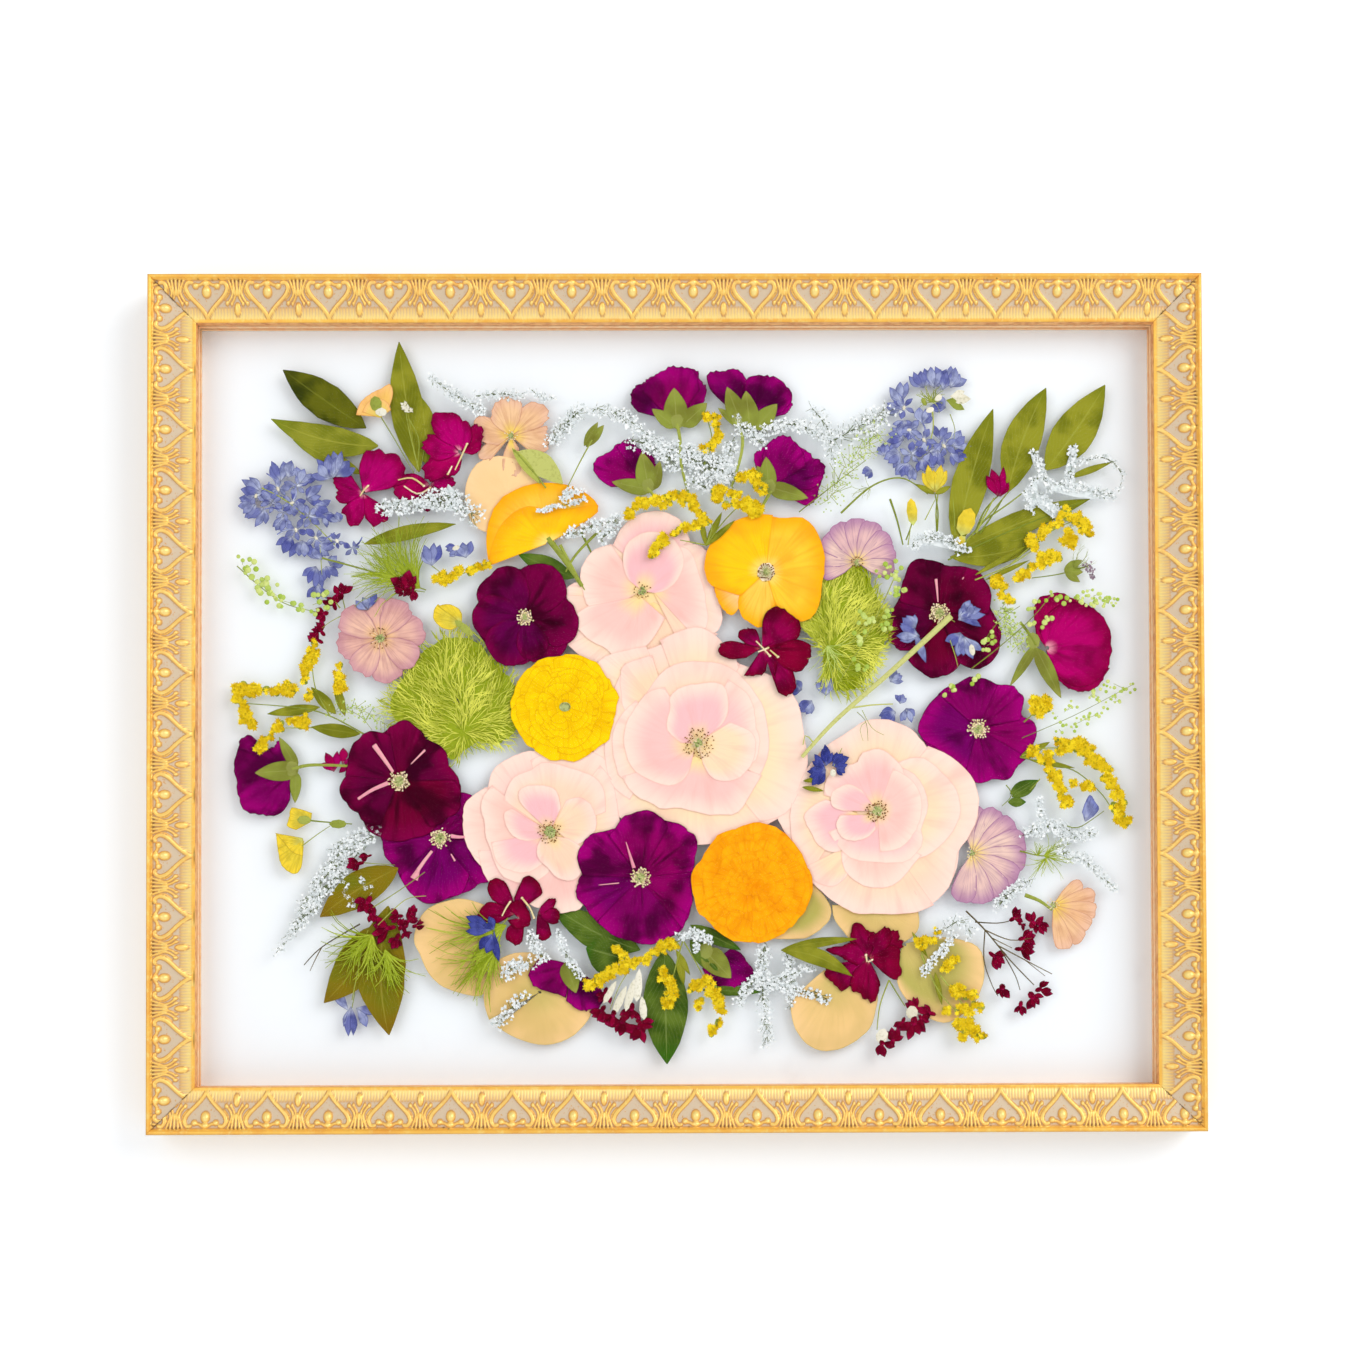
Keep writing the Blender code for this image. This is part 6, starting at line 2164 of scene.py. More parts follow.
@dataclass
class Fringe:
    """A green dianthus: hundreds of pressed threads that sweep away from one place, in soft tufts."""

    name: str
    node: str
    focus: Place
    outline: list[Place]
    count: int = 1050
    lengths: tuple[float, float] = (9, 24)     # pixels
    shortest: float = 3
    radii: tuple[float, float, float] = (0.16, 0.34, 0.06)

    def build(self) -> None:
        """Build the fringe as one piece."""
        sketch = Sketch(len(self.name))
        low = layer_height(self.node)
        draw = sketch.random
        middle = tuple(np.mean(self.outline, axis=0))
        border = smooth_line(self.outline + self.outline[:1], 90) - middle
        bearing = np.arctan2(border[:, 1], border[:, 0])
        order = np.argsort(bearing)
        bearing, far_out = bearing[order], np.linalg.norm(border, axis=1)[order]
        rim = [(middle[0] + 0.94 * x, middle[1] + 0.94 * y) for x, y in border]
        pad = Petal(middle, rim, 91, 0.5, 0.9, 0.0)
        pad.draw(sketch, low + 0.1, seed=5, wave=0.03, slot=1)
        def limit(way: float) -> float:
            """How far the outline lies from the middle in some direction."""
            return float(np.interp(way, bearing, far_out, period=2 * math.pi))

        for _ in range(self.count):
            way, share = draw.uniform(-math.pi, math.pi), draw.random() ** 0.55
            root = around(middle, way, share * limit(way))
            tuft = float(crumple(np.array(root[0]), np.array(root[1]), 4, 34.0))
            ahead = math.atan2(root[1] - self.focus[1], root[0] - self.focus[0])
            ahead += 0.5 * tuft
            ahead += draw.gauss(0, 0.22)
            length = draw.uniform(*self.lengths)
            tip = around(root, ahead, length)
            edge = limit(math.atan2(tip[1] - middle[1], tip[0] - middle[0]))
            over = math.dist(tip, middle) / max(1.0, edge)
            length *= min(1.0, 1.0 - 1.6 * (over - 1.05)) if over > 1.05 else 1.0
            if length < self.shortest:
                continue
            bend = draw.uniform(-0.5, 0.5)
            height = low + 0.2 + 0.55 * draw.random()
            spots = [CAMERA.place(around(root, ahead + bend * s, length * s), height)
                     for s in (0.0, 0.5, 1.0)]
            path = np.array([(x, height + 0.04 * j, z) for j, (x, z) in enumerate(spots)])
            light = 0.5 + 0.3 * tuft + 0.45 * (0.9 - share) + draw.uniform(-0.35, 0.35)
            sketch.stem(path, self.radii, slot=0, sides=3, tint=min(1.0, max(0.0, light)))
        sketch.build(self.name, self.node, "lime_fringe", [FRINGE, FRINGE_BASE])


def fringes() -> list[Fringe]:
    """The two green fringed balls.

    Returns:
        The fringed balls, not built yet.
    """
    return [
        Fringe("fringe_left", "dianthus_left", (464, 732), [
            (388, 695), (386, 709), (392, 721), (405, 728), (424, 738), (440, 752), (452, 764), (462, 756),
            (477, 745), (494, 746), (509, 743), (521, 727), (524, 710), (522, 690), (507, 670),
            (494, 658), (484, 643), (470, 634), (446, 634), (429, 643), (414, 655), (402, 673)]),
        Fringe("fringe_right", "dianthus_right", (830, 652), [
            (822, 562), (821, 580), (814, 598), (804, 612), (801, 622), (806, 634), (818, 643), (822, 660),
            (822, 680), (831, 692), (847, 695), (861, 689), (873, 675), (881, 659), (887, 641),
            (889, 627), (886, 612), (880, 597), (873, 582), (864, 568), (852, 560), (836, 556)]),
    ]


# ---- leaves and sprigs ---------------------------------------------------------------------------------
LOW, MIDDLE, HIGH = 9.3, 10.9, 11.9    # heights of sprigs behind, among and before the blooms


LINE_STEPS = 40                        # places along the line of a cluster
TUFT = (2.3, 1.7, 0.12)                # half the length, width and thickness of a tuft's bead
THREAD_STEPS = (0.0, 0.4, 0.75, 1.0)
DISC_ROWS = (0.03, 0.25, 0.5, 0.75, 0.9, 0.97, 1.0)


@dataclass
class Cluster:
    """Florets scattered along a line of pixels."""

    line: list[Place]
    width: float                  # pixels, to either side
    count: int
    size: float = 0.75            # millimetres
    stalked: float = 0.3          # share of the florets that show a stalk
    round: bool = False           # beads in place of stars
    clump: int = 0                # how many florets make a tuft, if they grow in tufts
    lobes: tuple[int, int] = (3, 4)

    def draw(self, sketch: Sketch, height: float) -> None:
        """Add the florets to a sketch.

        Args:
            sketch: The piece under way.
            height: Where they lie.
        """
        draw = sketch.random
        line = smooth_line([CAMERA.place(p, height) for p in self.line], LINE_STEPS)
        mm = self.width * PX_MM
        tufts = max(3, self.count // self.clump) if self.clump else 0
        knots = [draw.randrange(LINE_STEPS) for _ in range(tufts)]
        turns = [(draw.uniform(0, 2 * math.pi), 0.7 * mm * math.sqrt(draw.random())) for _ in knots]
        middles = [around(line[k], *turn) for k, turn in zip(knots, turns)]
        for (x, z), (way, _) in zip(middles, turns):
            sketch.bead((x, height - 0.05, z), TUFT, turn=way, slot=1, tint=draw.random(), sides=6)
        for _ in range(self.count):
            k = draw.randrange(LINE_STEPS)
            way, far = draw.uniform(0, 2 * math.pi), mm * math.sqrt(draw.random())
            x, z = around(line[k], way, far)
            if knots:
                i = draw.randrange(len(knots))
                k = knots[i]
                x, z = around(middles[i], way, TUFT[0] * math.sqrt(draw.random()))
            y = height + 0.45 * draw.random()
            size = self.size * draw.uniform(0.75, 1.25)
            if self.round:
                sketch.bead((x, y, z), (size, size, 0.3 * size), turn=way, slot=0, tint=draw.random(),
                            sides=7)
            else:
                sketch.star((x, y, z), size, draw.choice(self.lobes), way, 0, draw.random())
            if draw.random() < self.stalked:
                foot_x, foot_z = line[max(k - 3, 0)]
                path = np.array([(foot_x, height - 0.1, foot_z), (x, y - 0.05, z)])
                sketch.stem(path, 0.15, slot=1, sides=3, tint=draw.random())


@dataclass
class Threads:
    """A fan of fine threads from one place, some of them forked."""

    base: Place
    way: float
    half: float
    reach: tuple[float, float]    # pixels
    count: int
    radius: float = 0.2
    slot: int = 1

    def draw(self, sketch: Sketch, height: float) -> None:
        """Add the threads to a sketch.

        Args:
            sketch: The piece under way.
            height: Where they lie.
        """
        draw = sketch.random
        radii = (self.radius, 0.4 * self.radius)
        for _ in range(self.count):
            a = math.radians(self.way + draw.uniform(-self.half, self.half))
            far, bend = draw.uniform(*self.reach), math.radians(draw.uniform(-42, 42))
            line = [off(self.base, a + bend * t, far * t) for t in THREAD_STEPS]
            branch(sketch, line, height + 0.4 * draw.random(), radii, slot=self.slot, sides=3, points=5)
            if draw.random() < 0.6:
                fork = a + bend + math.radians(draw.choice((-30, 30)))
                line = [line[1], line[2], off(line[2], fork, 0.28 * far)]
                branch(sketch, line, height + 0.4 * draw.random(), (0.1, 0.05), slot=self.slot,
                       sides=3, points=4)


@dataclass
class Drop:
    """A bud, bead or bell of a few pixels, that points one way."""

    spot: Place
    way: float = 0.0
    length: float = 8.0           # pixels
    width: float = 5.0
    slot: int = 0
    blunt: float = 0.0

    def draw(self, sketch: Sketch, height: float) -> None:
        """Add the bud to a sketch.

        Args:
            sketch: The piece under way.
            height: Where it lies.
        """
        x, z = CAMERA.place(self.spot, height)
        size = (self.length * HALF_PX_MM, self.width * HALF_PX_MM, min(0.45, self.width * 0.1))
        sketch.bead((x, height + 0.2, z), size, turn=math.radians(self.way), slot=self.slot,
                    tint=sketch.random.random(), sides=8, blunt=self.blunt)


@dataclass
class Bell:
    """A small flower of narrow pointed petals that open one way from its base."""

    base: Place
    way: float
    reach: float                  # pixels
    petals: int = 4
    half: float = 34.0
    slot: int = 0

    def draw(self, sketch: Sketch, height: float) -> None:
        """Add the flower to a sketch.

        Args:
            sketch: The piece under way.
            height: Where it lies.
        """
        draw = sketch.random
        for k in range(self.petals):
            lean = self.half * (2 * k / (self.petals - 1) - 1) if self.petals > 1 else 0.0
            far, way = self.reach * draw.uniform(0.75, 1.1), self.way + lean + draw.uniform(-9, 9)
            tip = off(self.base, math.radians(way), far)
            width, bend = min(0.5 * far, 9.0) * draw.uniform(0.8, 1.2), draw.uniform(-1.5, 1.5)
            blade = Blade(self.base, tip, width, bend, 1.3, 1.1, draw.random(), 7)
            blade.draw(sketch, height + 0.09 * (k % 3), seed=int(self.base[0]), slot=self.slot,
                       rise=0.12, wave=0.14)


@dataclass
class Floret:
    """A small open flower of pointed petals round a pale middle, with a curved spur."""

    eye: Place
    reach: float = 12.5           # pixels
    petals: int = 5

    def draw(self, sketch: Sketch, height: float) -> None:
        """Add the flower to a sketch.

        Args:
            sketch: The piece under way.
            height: Where it lies.
        """
        draw = sketch.random
        apart = 360 // self.petals
        turn = draw.uniform(0, apart)
        for k in range(self.petals):
            Bell(self.eye, turn + apart * k, self.reach, 1).draw(sketch, height + 0.04 * k)
        way = math.radians(draw.uniform(0, 360))
        spur = [off(self.eye, way + 0.03 * d, d) for d in (0.0, 0.8 * self.reach, 1.5 * self.reach)]
        branch(sketch, spur, height - 0.1, (0.65, 0.3), slot=0, sides=6, points=6)
        if draw.random() < 0.35:
            Drop(self.eye, draw.uniform(0, 180), 5, 3, 3).draw(sketch, height + 0.3)


Part = Cluster | Threads | Drop | Bell | Floret


@dataclass
class Sprig:
    """One specimen that isn't a bloom: stems, leaves and whatever grows on them."""

    name: str
    slot: str
    finishes: list[Finish]        # of the florets, the stems, the leaves and others
    height: float
    stems: list[tuple[list[Place], float]] = field(default_factory=list)
    parts: list[Part] = field(default_factory=list)
    blades: list[Blade] = field(default_factory=list)
    discs: list[Petal] = field(default_factory=list)
    node: str | None = None

    def build(self) -> None:
        """Build the sprig as one piece."""
        sketch = Sketch(len(self.name) * 7 + int(self.height))
        low = layer_height(self.node) + 0.12 if self.node else self.height
        for i, disc in enumerate(self.discs):
            disc.columns = 41
            disc.ruffle = 0.15
            disc.draw(sketch, low + 0.1 + 0.09 * i, seed=9 + i, wave=0.1, slot=0, rows=DISC_ROWS, fold=12.0)
        for line, radius in self.stems:
            branch(sketch, line, low + 0.1, (radius, radius * 0.6), slot=1, sides=6)
        for i, blade in enumerate(self.blades):
            blade.draw(sketch, low + 0.14 * i, seed=i + 5, slot=blade.slot, rise=0.14, wave=0.12)
        for part in self.parts:
            part.draw(sketch, low + (0.25 if self.blades else 0.12))
        sketch.build(self.name, self.node, self.slot, self.finishes)


def leaves() -> list[Sprig]:
    """The larger leaves and the round dried leaves.

    Returns:
        The sprigs, not built yet.
    """
    olive, green, bronze = ([STEM, STEM, finish, STEM] for finish in (OLIVE_LEAF, GREEN_LEAF, BRONZE_LEAF))
    disc = [SILVER_DISC, STEM, OLIVE_LEAF]
    return [
        Sprig("dark_leaf_sprig_left", "leaf", [STEM, STEM, DARK_LEAF, FADED_LEAF], LOW,
              node="leaf_sprig_left", blades=[
                  Blade((362, 474), (293, 440), 16, slot=3),
                  Blade((378, 446), (271, 419), 30, 7.0, 0.8, slot=3),
                  Blade((366, 428), (283, 370), 36, 1.0, 0.95)]),
        Sprig("upright_leaf", "leaf", olive, LOW, node="leaf_upright", blades=[
            Blade((426, 464), (420, 396), 26, -2.0), Blade((419, 472), (399, 342), 33, 2.0, 0.9)],
              stems=[([(419, 471), (409, 430), (404, 400)], 0.4)]),
        Sprig("olive_leaf_sprig_right", "leaf", olive, LOW, node="leaf_sprig_right", blades=[
            Blade((954, 557), (1030, 534), 26, -3.0), Blade((1046, 470), (1105, 385), 40, -2.0, 0.85),
            Blade((956, 546), (993, 409), 35, 3.0, 0.85), Blade((1008, 492), (1046, 388), 37, 4.0, 0.9),
            Blade((1068, 478), (1112, 462), 7)],
              stems=[([(955, 553), (985, 520), (1010, 490)], 0.55),
                     ([(985, 520), (1020, 495), (1046, 470)], 0.45)]),
        Sprig("low_olive_leaf_right", "leaf", olive, LOW, node="leaf_low_right", blades=[
            Blade((956, 551), (1090, 499), 24, 3.0), Blade((950, 557), (1040, 541), 22, -5.0)],
              stems=[([(948, 560), (1005, 533), (1085, 501)], 0.4)]),
        Sprig("hanging_leaf_sprig", "leaf", bronze, LOW, node="leaf_sprig_hanging", blades=[
            Blade((398, 868), (320, 917), 36, -3.0), Blade((374, 926), (324, 1003), 40, 6.0, 0.85),
            Blade((388, 906), (389, 1035), 50, -8.0, 0.95)]),
        Sprig("green_leaf_bottom", "leaf", green, LOW, node="leaf_bottom", blades=[
            Blade((664, 950), (667, 1064), 46, 0.0, 0.95)]),
        Sprig("green_leaves_by_velvet_rose", "leaf", green, 8.9, blades=[
            Blade((640, 950), (552, 906), 34, 4.0), Blade((622, 958), (586, 948), 40),
            Blade((702, 990), (762, 992), 10),
            Blade((690, 940), (722, 975), 20), Blade((574, 578), (518, 554), 20),
            Blade((690, 925), (741, 950), 14)]),
        Sprig("v_shaped_leaf", "leaf", olive, 11.9, blades=[Blade((781, 950), (857, 939), 10, 2.0),
                                                            Blade((781, 950), (852, 976), 17, 6.0)]),
        Sprig("round_leaf_left", "leaf", disc, LOW, node="eucalyptus_left", discs=[
            Petal((484, 945), [(488, 906), (470, 900), (455, 899), (430, 907), (418, 922),
                               (414, 940), (420, 955), (428, 972), (440, 985), (460, 993), (480, 996),
                               (489, 986)], tint=0.1)]),
        Sprig("round_leaf_centre", "leaf", disc, LOW, node="eucalyptus_centre", discs=[
            Petal((540, 992), [(489, 1020), (484, 1003), (484, 985), (489, 972), (503, 957),
                               (526, 952), (548, 958), (575, 980), (592, 1008), (585, 1024),
                               (568, 1039), (543, 1045), (516, 1038), (497, 1027)], tint=0.2)]),
        Sprig("round_leaf_right", "leaf", disc, LOW, node="eucalyptus_right", discs=[
            Petal((838, 975), [(824, 970), (808, 984), (793, 1000), (791, 1013), (797, 1032),
                               (811, 1047), (830, 1051), (851, 1044), (870, 1028), (876, 1009),
                               (877, 992), (862, 972)], tint=0.15)]),
        Sprig("round_leaf_far_right", "leaf", disc, LOW, node="eucalyptus_far_right", discs=[
            Petal((904, 944), [(915, 941), (935, 937), (958, 939), (977, 946), (984, 960),
                               (983, 984), (972, 1006), (946, 1023), (918, 1011), (899, 988),
                               (897, 967), (901, 950)], tint=0.9)]),
        Sprig("round_leaves_behind_rose", "leaf", disc, 8.95, discs=[
            Petal((875, 905), [(832, 905), (834, 918), (842, 930), (855, 942), (880, 944),
                               (900, 944), (918, 930), (918, 908)], tint=0.3),
            Petal((790, 900), [(770, 880), (790, 872), (808, 880), (822, 893), (831, 908),
                               (828, 922), (809, 937), (790, 939), (768, 938), (756, 930)], tint=0.95)]),
    ]


def sea_lavender() -> list[Sprig]:
    """Sprays of tiny silver flowers.

    Returns:
        The sprigs, not built yet.
    """
    def lace(name: str, height: float, *runs: tuple[list[Place], float, int], node: str | None = None,
             felt: list[Blade] = ()) -> Sprig:
        """A spray by its runs of florets: line, width and count, on felted stems.

        Args:
            name: The name of the piece.
            height: Where it lies.
            runs: Lines of florets, each with its width and its count.
            node: The CAD node that it stands for.
            felt: Its felted stems and leaves.

        Returns:
            The spray.
        """
        stems = [(line, 0.24) for line, _, _ in runs]
        return Sprig(name, "silver_flower", [LACE, STALK, FELT], height, stems,
                     [Cluster(line, width, int(1.15 * count), 1.0, stalked=0.6) for line, width,
                      count in runs],
                     list(felt), node=node)

    return [
        lace("lavender_top_left", LOW, ([(432, 378), (450, 392), (482, 412)], 7, 130),
             ([(476, 396), (500, 394), (522, 396)], 6, 60), ([(532, 390), (542, 398), (554, 396)], 5, 40),
             ([(551, 442), (566, 424), (583, 408)], 9, 130)),
        lace("lavender_by_phlox", HIGH, ([(380, 508), (410, 506), (432, 500)], 9, 150),
             ([(428, 500), (452, 500), (474, 516)], 13, 190),
             felt=[Blade((474, 512), (378, 503), 8, -3.0), Blade((456, 512), (448, 484), 12)]),
        lace("lavender_on_poppy", HIGH, ([(538, 511), (560, 506), (586, 500)], 3, 70),
             ([(562, 498), (572, 491), (584, 492)], 5, 60),
             ([(566, 536), (590, 527), (619, 519)], 8, 120), ([(600, 540), (615, 528)], 7, 40)),
        lace("lavender_top", LOW, ([(596, 408), (625, 418), (650, 438), (666, 452)], 9, 170),
             ([(632, 440), (660, 448), (690, 452)], 10, 120),
             ([(668, 456), (700, 462), (734, 478)], 15, 330),
             ([(690, 480), (715, 492)], 9, 70), ([(733, 440), (727, 462), (722, 480)], 8, 90),
             ([(734, 420), (748, 432), (762, 444)], 8, 90), ([(763, 432), (790, 424), (823, 434)], 8, 150),
             ([(812, 408), (828, 430), (832, 460)], 9, 90),
             ([(835, 440), (862, 425), (890, 412)], 14, 130)),
        lace("silver_spray", LOW, ([(1033, 452), (1042, 472), (1050, 488)], 5, 80),
             ([(1073, 446), (1072, 465), (1068, 483)], 5, 70),
             ([(1049, 487), (1080, 487), (1111, 497)], 6, 140),
             ([(1028, 492), (1050, 507), (1072, 524)], 7, 130),
             ([(1034, 480), (1029, 495), (1030, 513)], 5, 60),
             ([(1080, 462), (1105, 458), (1122, 474), (1118, 492)], 4, 50), node="silver_spray_right",
             felt=[
                 Blade((1052, 494), (1030, 449), 9), Blade((1066, 488), (1076, 443), 9),
                 Blade((1044, 486), (1116, 498), 11),
                 Blade((1026, 490), (1074, 527), 12), Blade((1031, 512), (1036, 478), 8)]),
        lace("lavender_right_small", MIDDLE, ([(912, 546), (930, 537), (950, 541), (966, 553)], 7, 120),
             felt=[Blade((968, 553), (912, 541), 10, -5.0)]),
        lace("lavender_lower_left", LOW, ([(378, 830), (352, 836), (332, 852)], 6, 80),
             ([(374, 836), (342, 852), (312, 884)], 6, 110), ([(368, 842), (330, 872), (298, 912)], 7, 130),
             ([(360, 852), (318, 896), (286, 940)], 6, 120), ([(346, 868), (310, 912), (276, 953)], 6, 110),
             ([(345, 885), (352, 906)], 5, 50),
             ([(360, 880), (372, 890)], 4, 30)),
        lace("lavender_bottom_left", HIGH, ([(529, 933), (536, 946), (545, 960)], 7, 80),
             ([(559, 933), (566, 954), (581, 976)], 5, 90), ([(506, 972), (518, 966), (530, 962)], 9, 90),
             ([(498, 1024), (513, 1006), (526, 995)], 8, 70)),
        lace("lavender_bottom", HIGH, ([(679, 937), (696, 932), (714, 943)], 5, 70),
             ([(697, 934), (697, 953)], 4, 30)),
        lace("lavender_bottom_right", LOW, ([(765, 942), (762, 985), (768, 1044)], 8, 180),
             ([(765, 985), (790, 975), (815, 964)], 6, 90), ([(765, 985), (800, 990), (830, 1000)], 6, 110),
             ([(763, 975), (750, 985), (738, 1002)], 7, 90),
             ([(785, 950), (792, 975), (790, 1010)], 6, 80)),
        lace("lavender_by_round_leaf", MIDDLE, ([(924, 972), (938, 955), (954, 936)], 5, 90),
             ([(944, 930), (962, 920), (972, 935)], 9, 50)),
        lace("lavender_right", LOW, ([(1039, 797), (1042, 818), (1042, 836)], 4, 80),
             ([(1026, 834), (1050, 826), (1066, 838)], 8, 130),
             ([(1058, 826), (1076, 834), (1092, 832)], 8, 130),
             ([(1058, 850), (1072, 856), (1086, 860)], 7, 90),
             ([(1084, 860), (1100, 874), (1115, 889)], 5, 80),
             ([(1030, 880), (1012, 892), (996, 908)], 7, 90)),
    ]


def goldenrod() -> list[Sprig]:
    """Sprays of tiny yellow flowers, with their stems and narrow leaves.

    Returns:
        The sprigs, not built yet.
    """
    def gold(name: str, height: float, runs: list[tuple[list[Place], float, int]],
             stems: list[list[Place]] = (),
             blades: list[Blade] = (), node: str | None = None) -> Sprig:
        """A spray by its runs of florets: line, width and count.

        Args:
            name: The name of the piece.
            height: Where it lies.
            runs: Lines of florets, each with its width and its count.
            stems: Lines of pixels of its stems.
            blades: Its narrow leaves.
            node: The CAD node that it stands for.

        Returns:
            The spray.
        """
        return Sprig(name, "golden_flower", [GOLD_FLORET, STEM, OLIVE_LEAF], height,
                     [(s, 0.38) for s in stems],
                     [Cluster(line, width, int(0.78 * count), 1.7, stalked=0.3, clump=6, lobes=(6, 7))
                      for line, width, count in runs], list(blades),
                     node=node)

    return [
        gold("goldenrod_left", LOW, [
            ([(319, 645), (306, 664), (303, 682)], 6, 120), ([(337, 667), (341, 691)], 6, 80),
            ([(236, 692), (250, 688), (262, 691)], 9, 150), ([(238, 702), (250, 727)], 8, 130),
            ([(264, 690), (296, 688)], 6, 100), ([(286, 722), (272, 732), (261, 748)], 6, 110),
            ([(296, 725), (309, 720)], 6, 80), ([(308, 694), (311, 700)], 3, 15)],
             [[(364, 734), (330, 716), (300, 708), (240, 703)], [(330, 716), (316, 690), (312, 665)],
              [(362, 733), (330, 728), (285, 728)]],
             [Blade((320, 707), (267, 714), 11), Blade((336, 714), (311, 687), 12),
              Blade((345, 716), (334, 680), 9),
              Blade((360, 734), (311, 727), 14)]),
        gold("goldenrod_on_fringe", MIDDLE, [([(438, 582), (460, 573), (488, 564)], 6, 130)],
             [[(488, 564), (440, 582)]]),
        gold("goldenrod_top", LOW, [([(703, 411), (716, 421), (717, 433), (714, 448)], 4, 70),
                                    ([(704, 448), (722, 445)], 4, 20)],
             [[(704, 465), (712, 440), (705, 412)]]),
        gold("goldenrod_by_rose", HIGH, [
            ([(628, 517), (640, 503), (662, 500)], 5, 90), ([(664, 504), (682, 498), (706, 514)], 8, 160),
            ([(712, 494), (735, 500), (757, 512)], 11, 250), ([(741, 474), (755, 480), (763, 491)], 7, 100),
            ([(652, 553), (664, 540), (685, 528), (706, 521)], 4, 150)],
             [[(706, 545), (712, 525), (700, 510)], [(706, 545), (725, 520), (745, 500)],
              [(706, 545), (680, 540)]],
             [Blade((706, 546), (722, 512), 7), Blade((706, 546), (735, 520), 6),
              Blade((706, 546), (700, 515), 6)]),
        gold("goldenrod_right_top", MIDDLE, [
            ([(1029, 547), (1044, 530), (1056, 521)], 8, 150),
            ([(1061, 514), (1080, 519), (1085, 533)], 7, 130),
            ([(1066, 534), (1073, 549)], 7, 90), ([(1038, 562), (1057, 555)], 9, 150),
            ([(1018, 578), (1029, 569)], 5, 60),
            ([(993, 574), (998, 586), (1010, 600)], 6, 90)],
             [[(975, 580), (1010, 565), (1040, 545)], [(1010, 565), (1045, 535), (1075, 520)]],
             [Blade((975, 575), (1028, 545), 6), Blade((985, 580), (1030, 560), 5)]),
        gold("goldenrod_ball", LOW, [([(1033, 706), (1048, 704)], 12, 150)], [[(1024, 722), (1042, 706)]]),
        gold("goldenrod_arc", LOW, [
            ([(1054, 746), (1075, 745), (1096, 753)], 8, 200),
            ([(1088, 756), (1108, 775), (1122, 802)], 9, 230),
            ([(1114, 802), (1125, 824)], 7, 80), ([(1030, 752), (1052, 758)], 8, 70),
            ([(1050, 768), (1060, 786), (1067, 806)], 6, 150), ([(1075, 782), (1090, 788)], 6, 50)],
             [[(1020, 757), (1049, 764), (1075, 771), (1098, 790), (1110, 806), (1118, 824)],
              [(1024, 757), (1048, 768), (1062, 795)], [(1022, 756), (1045, 748), (1080, 750)]],
             [Blade((1020, 757), (1050, 742), 8), Blade((1030, 760), (1075, 768), 6)],
             node="goldenrod_right"),
        gold("goldenrod_bottom", MIDDLE, [
            ([(679, 940), (655, 951), (630, 964), (612, 972), (591, 983)], 6, 300),
            ([(618, 945), (628, 960)], 4, 30),
            ([(661, 972), (670, 990), (667, 1008)], 6, 130), ([(688, 986), (706, 980)], 6, 80),
            ([(711, 988), (721, 1010), (711, 1031)], 6, 150), ([(694, 1012), (700, 1000)], 3, 15)],
             [[(683, 940), (676, 965), (668, 1000)], [(683, 940), (700, 970), (715, 1000)],
              [(690, 935), (640, 962)]],
             [Blade((678, 955), (684, 985), 8), Blade((676, 950), (690, 975), 7)]),
        gold("goldenrod_on_round_leaf", MIDDLE, [
            ([(914, 946), (936, 934)], 6, 50), ([(946, 968), (958, 961)], 6, 45),
            ([(954, 990), (974, 996)], 8, 90),
            ([(948, 1012), (978, 1008)], 7, 70), ([(960, 1032), (987, 1035)], 8, 80),
            ([(958, 1022), (975, 1024)], 6, 50)],
             [[(921, 955), (938, 990), (955, 1010)], [(914, 935), (925, 960)], [(940, 975), (975, 1020)]],
             [Blade((935, 972), (942, 1005), 6), Blade((912, 932), (928, 958), 5)]),
    ]


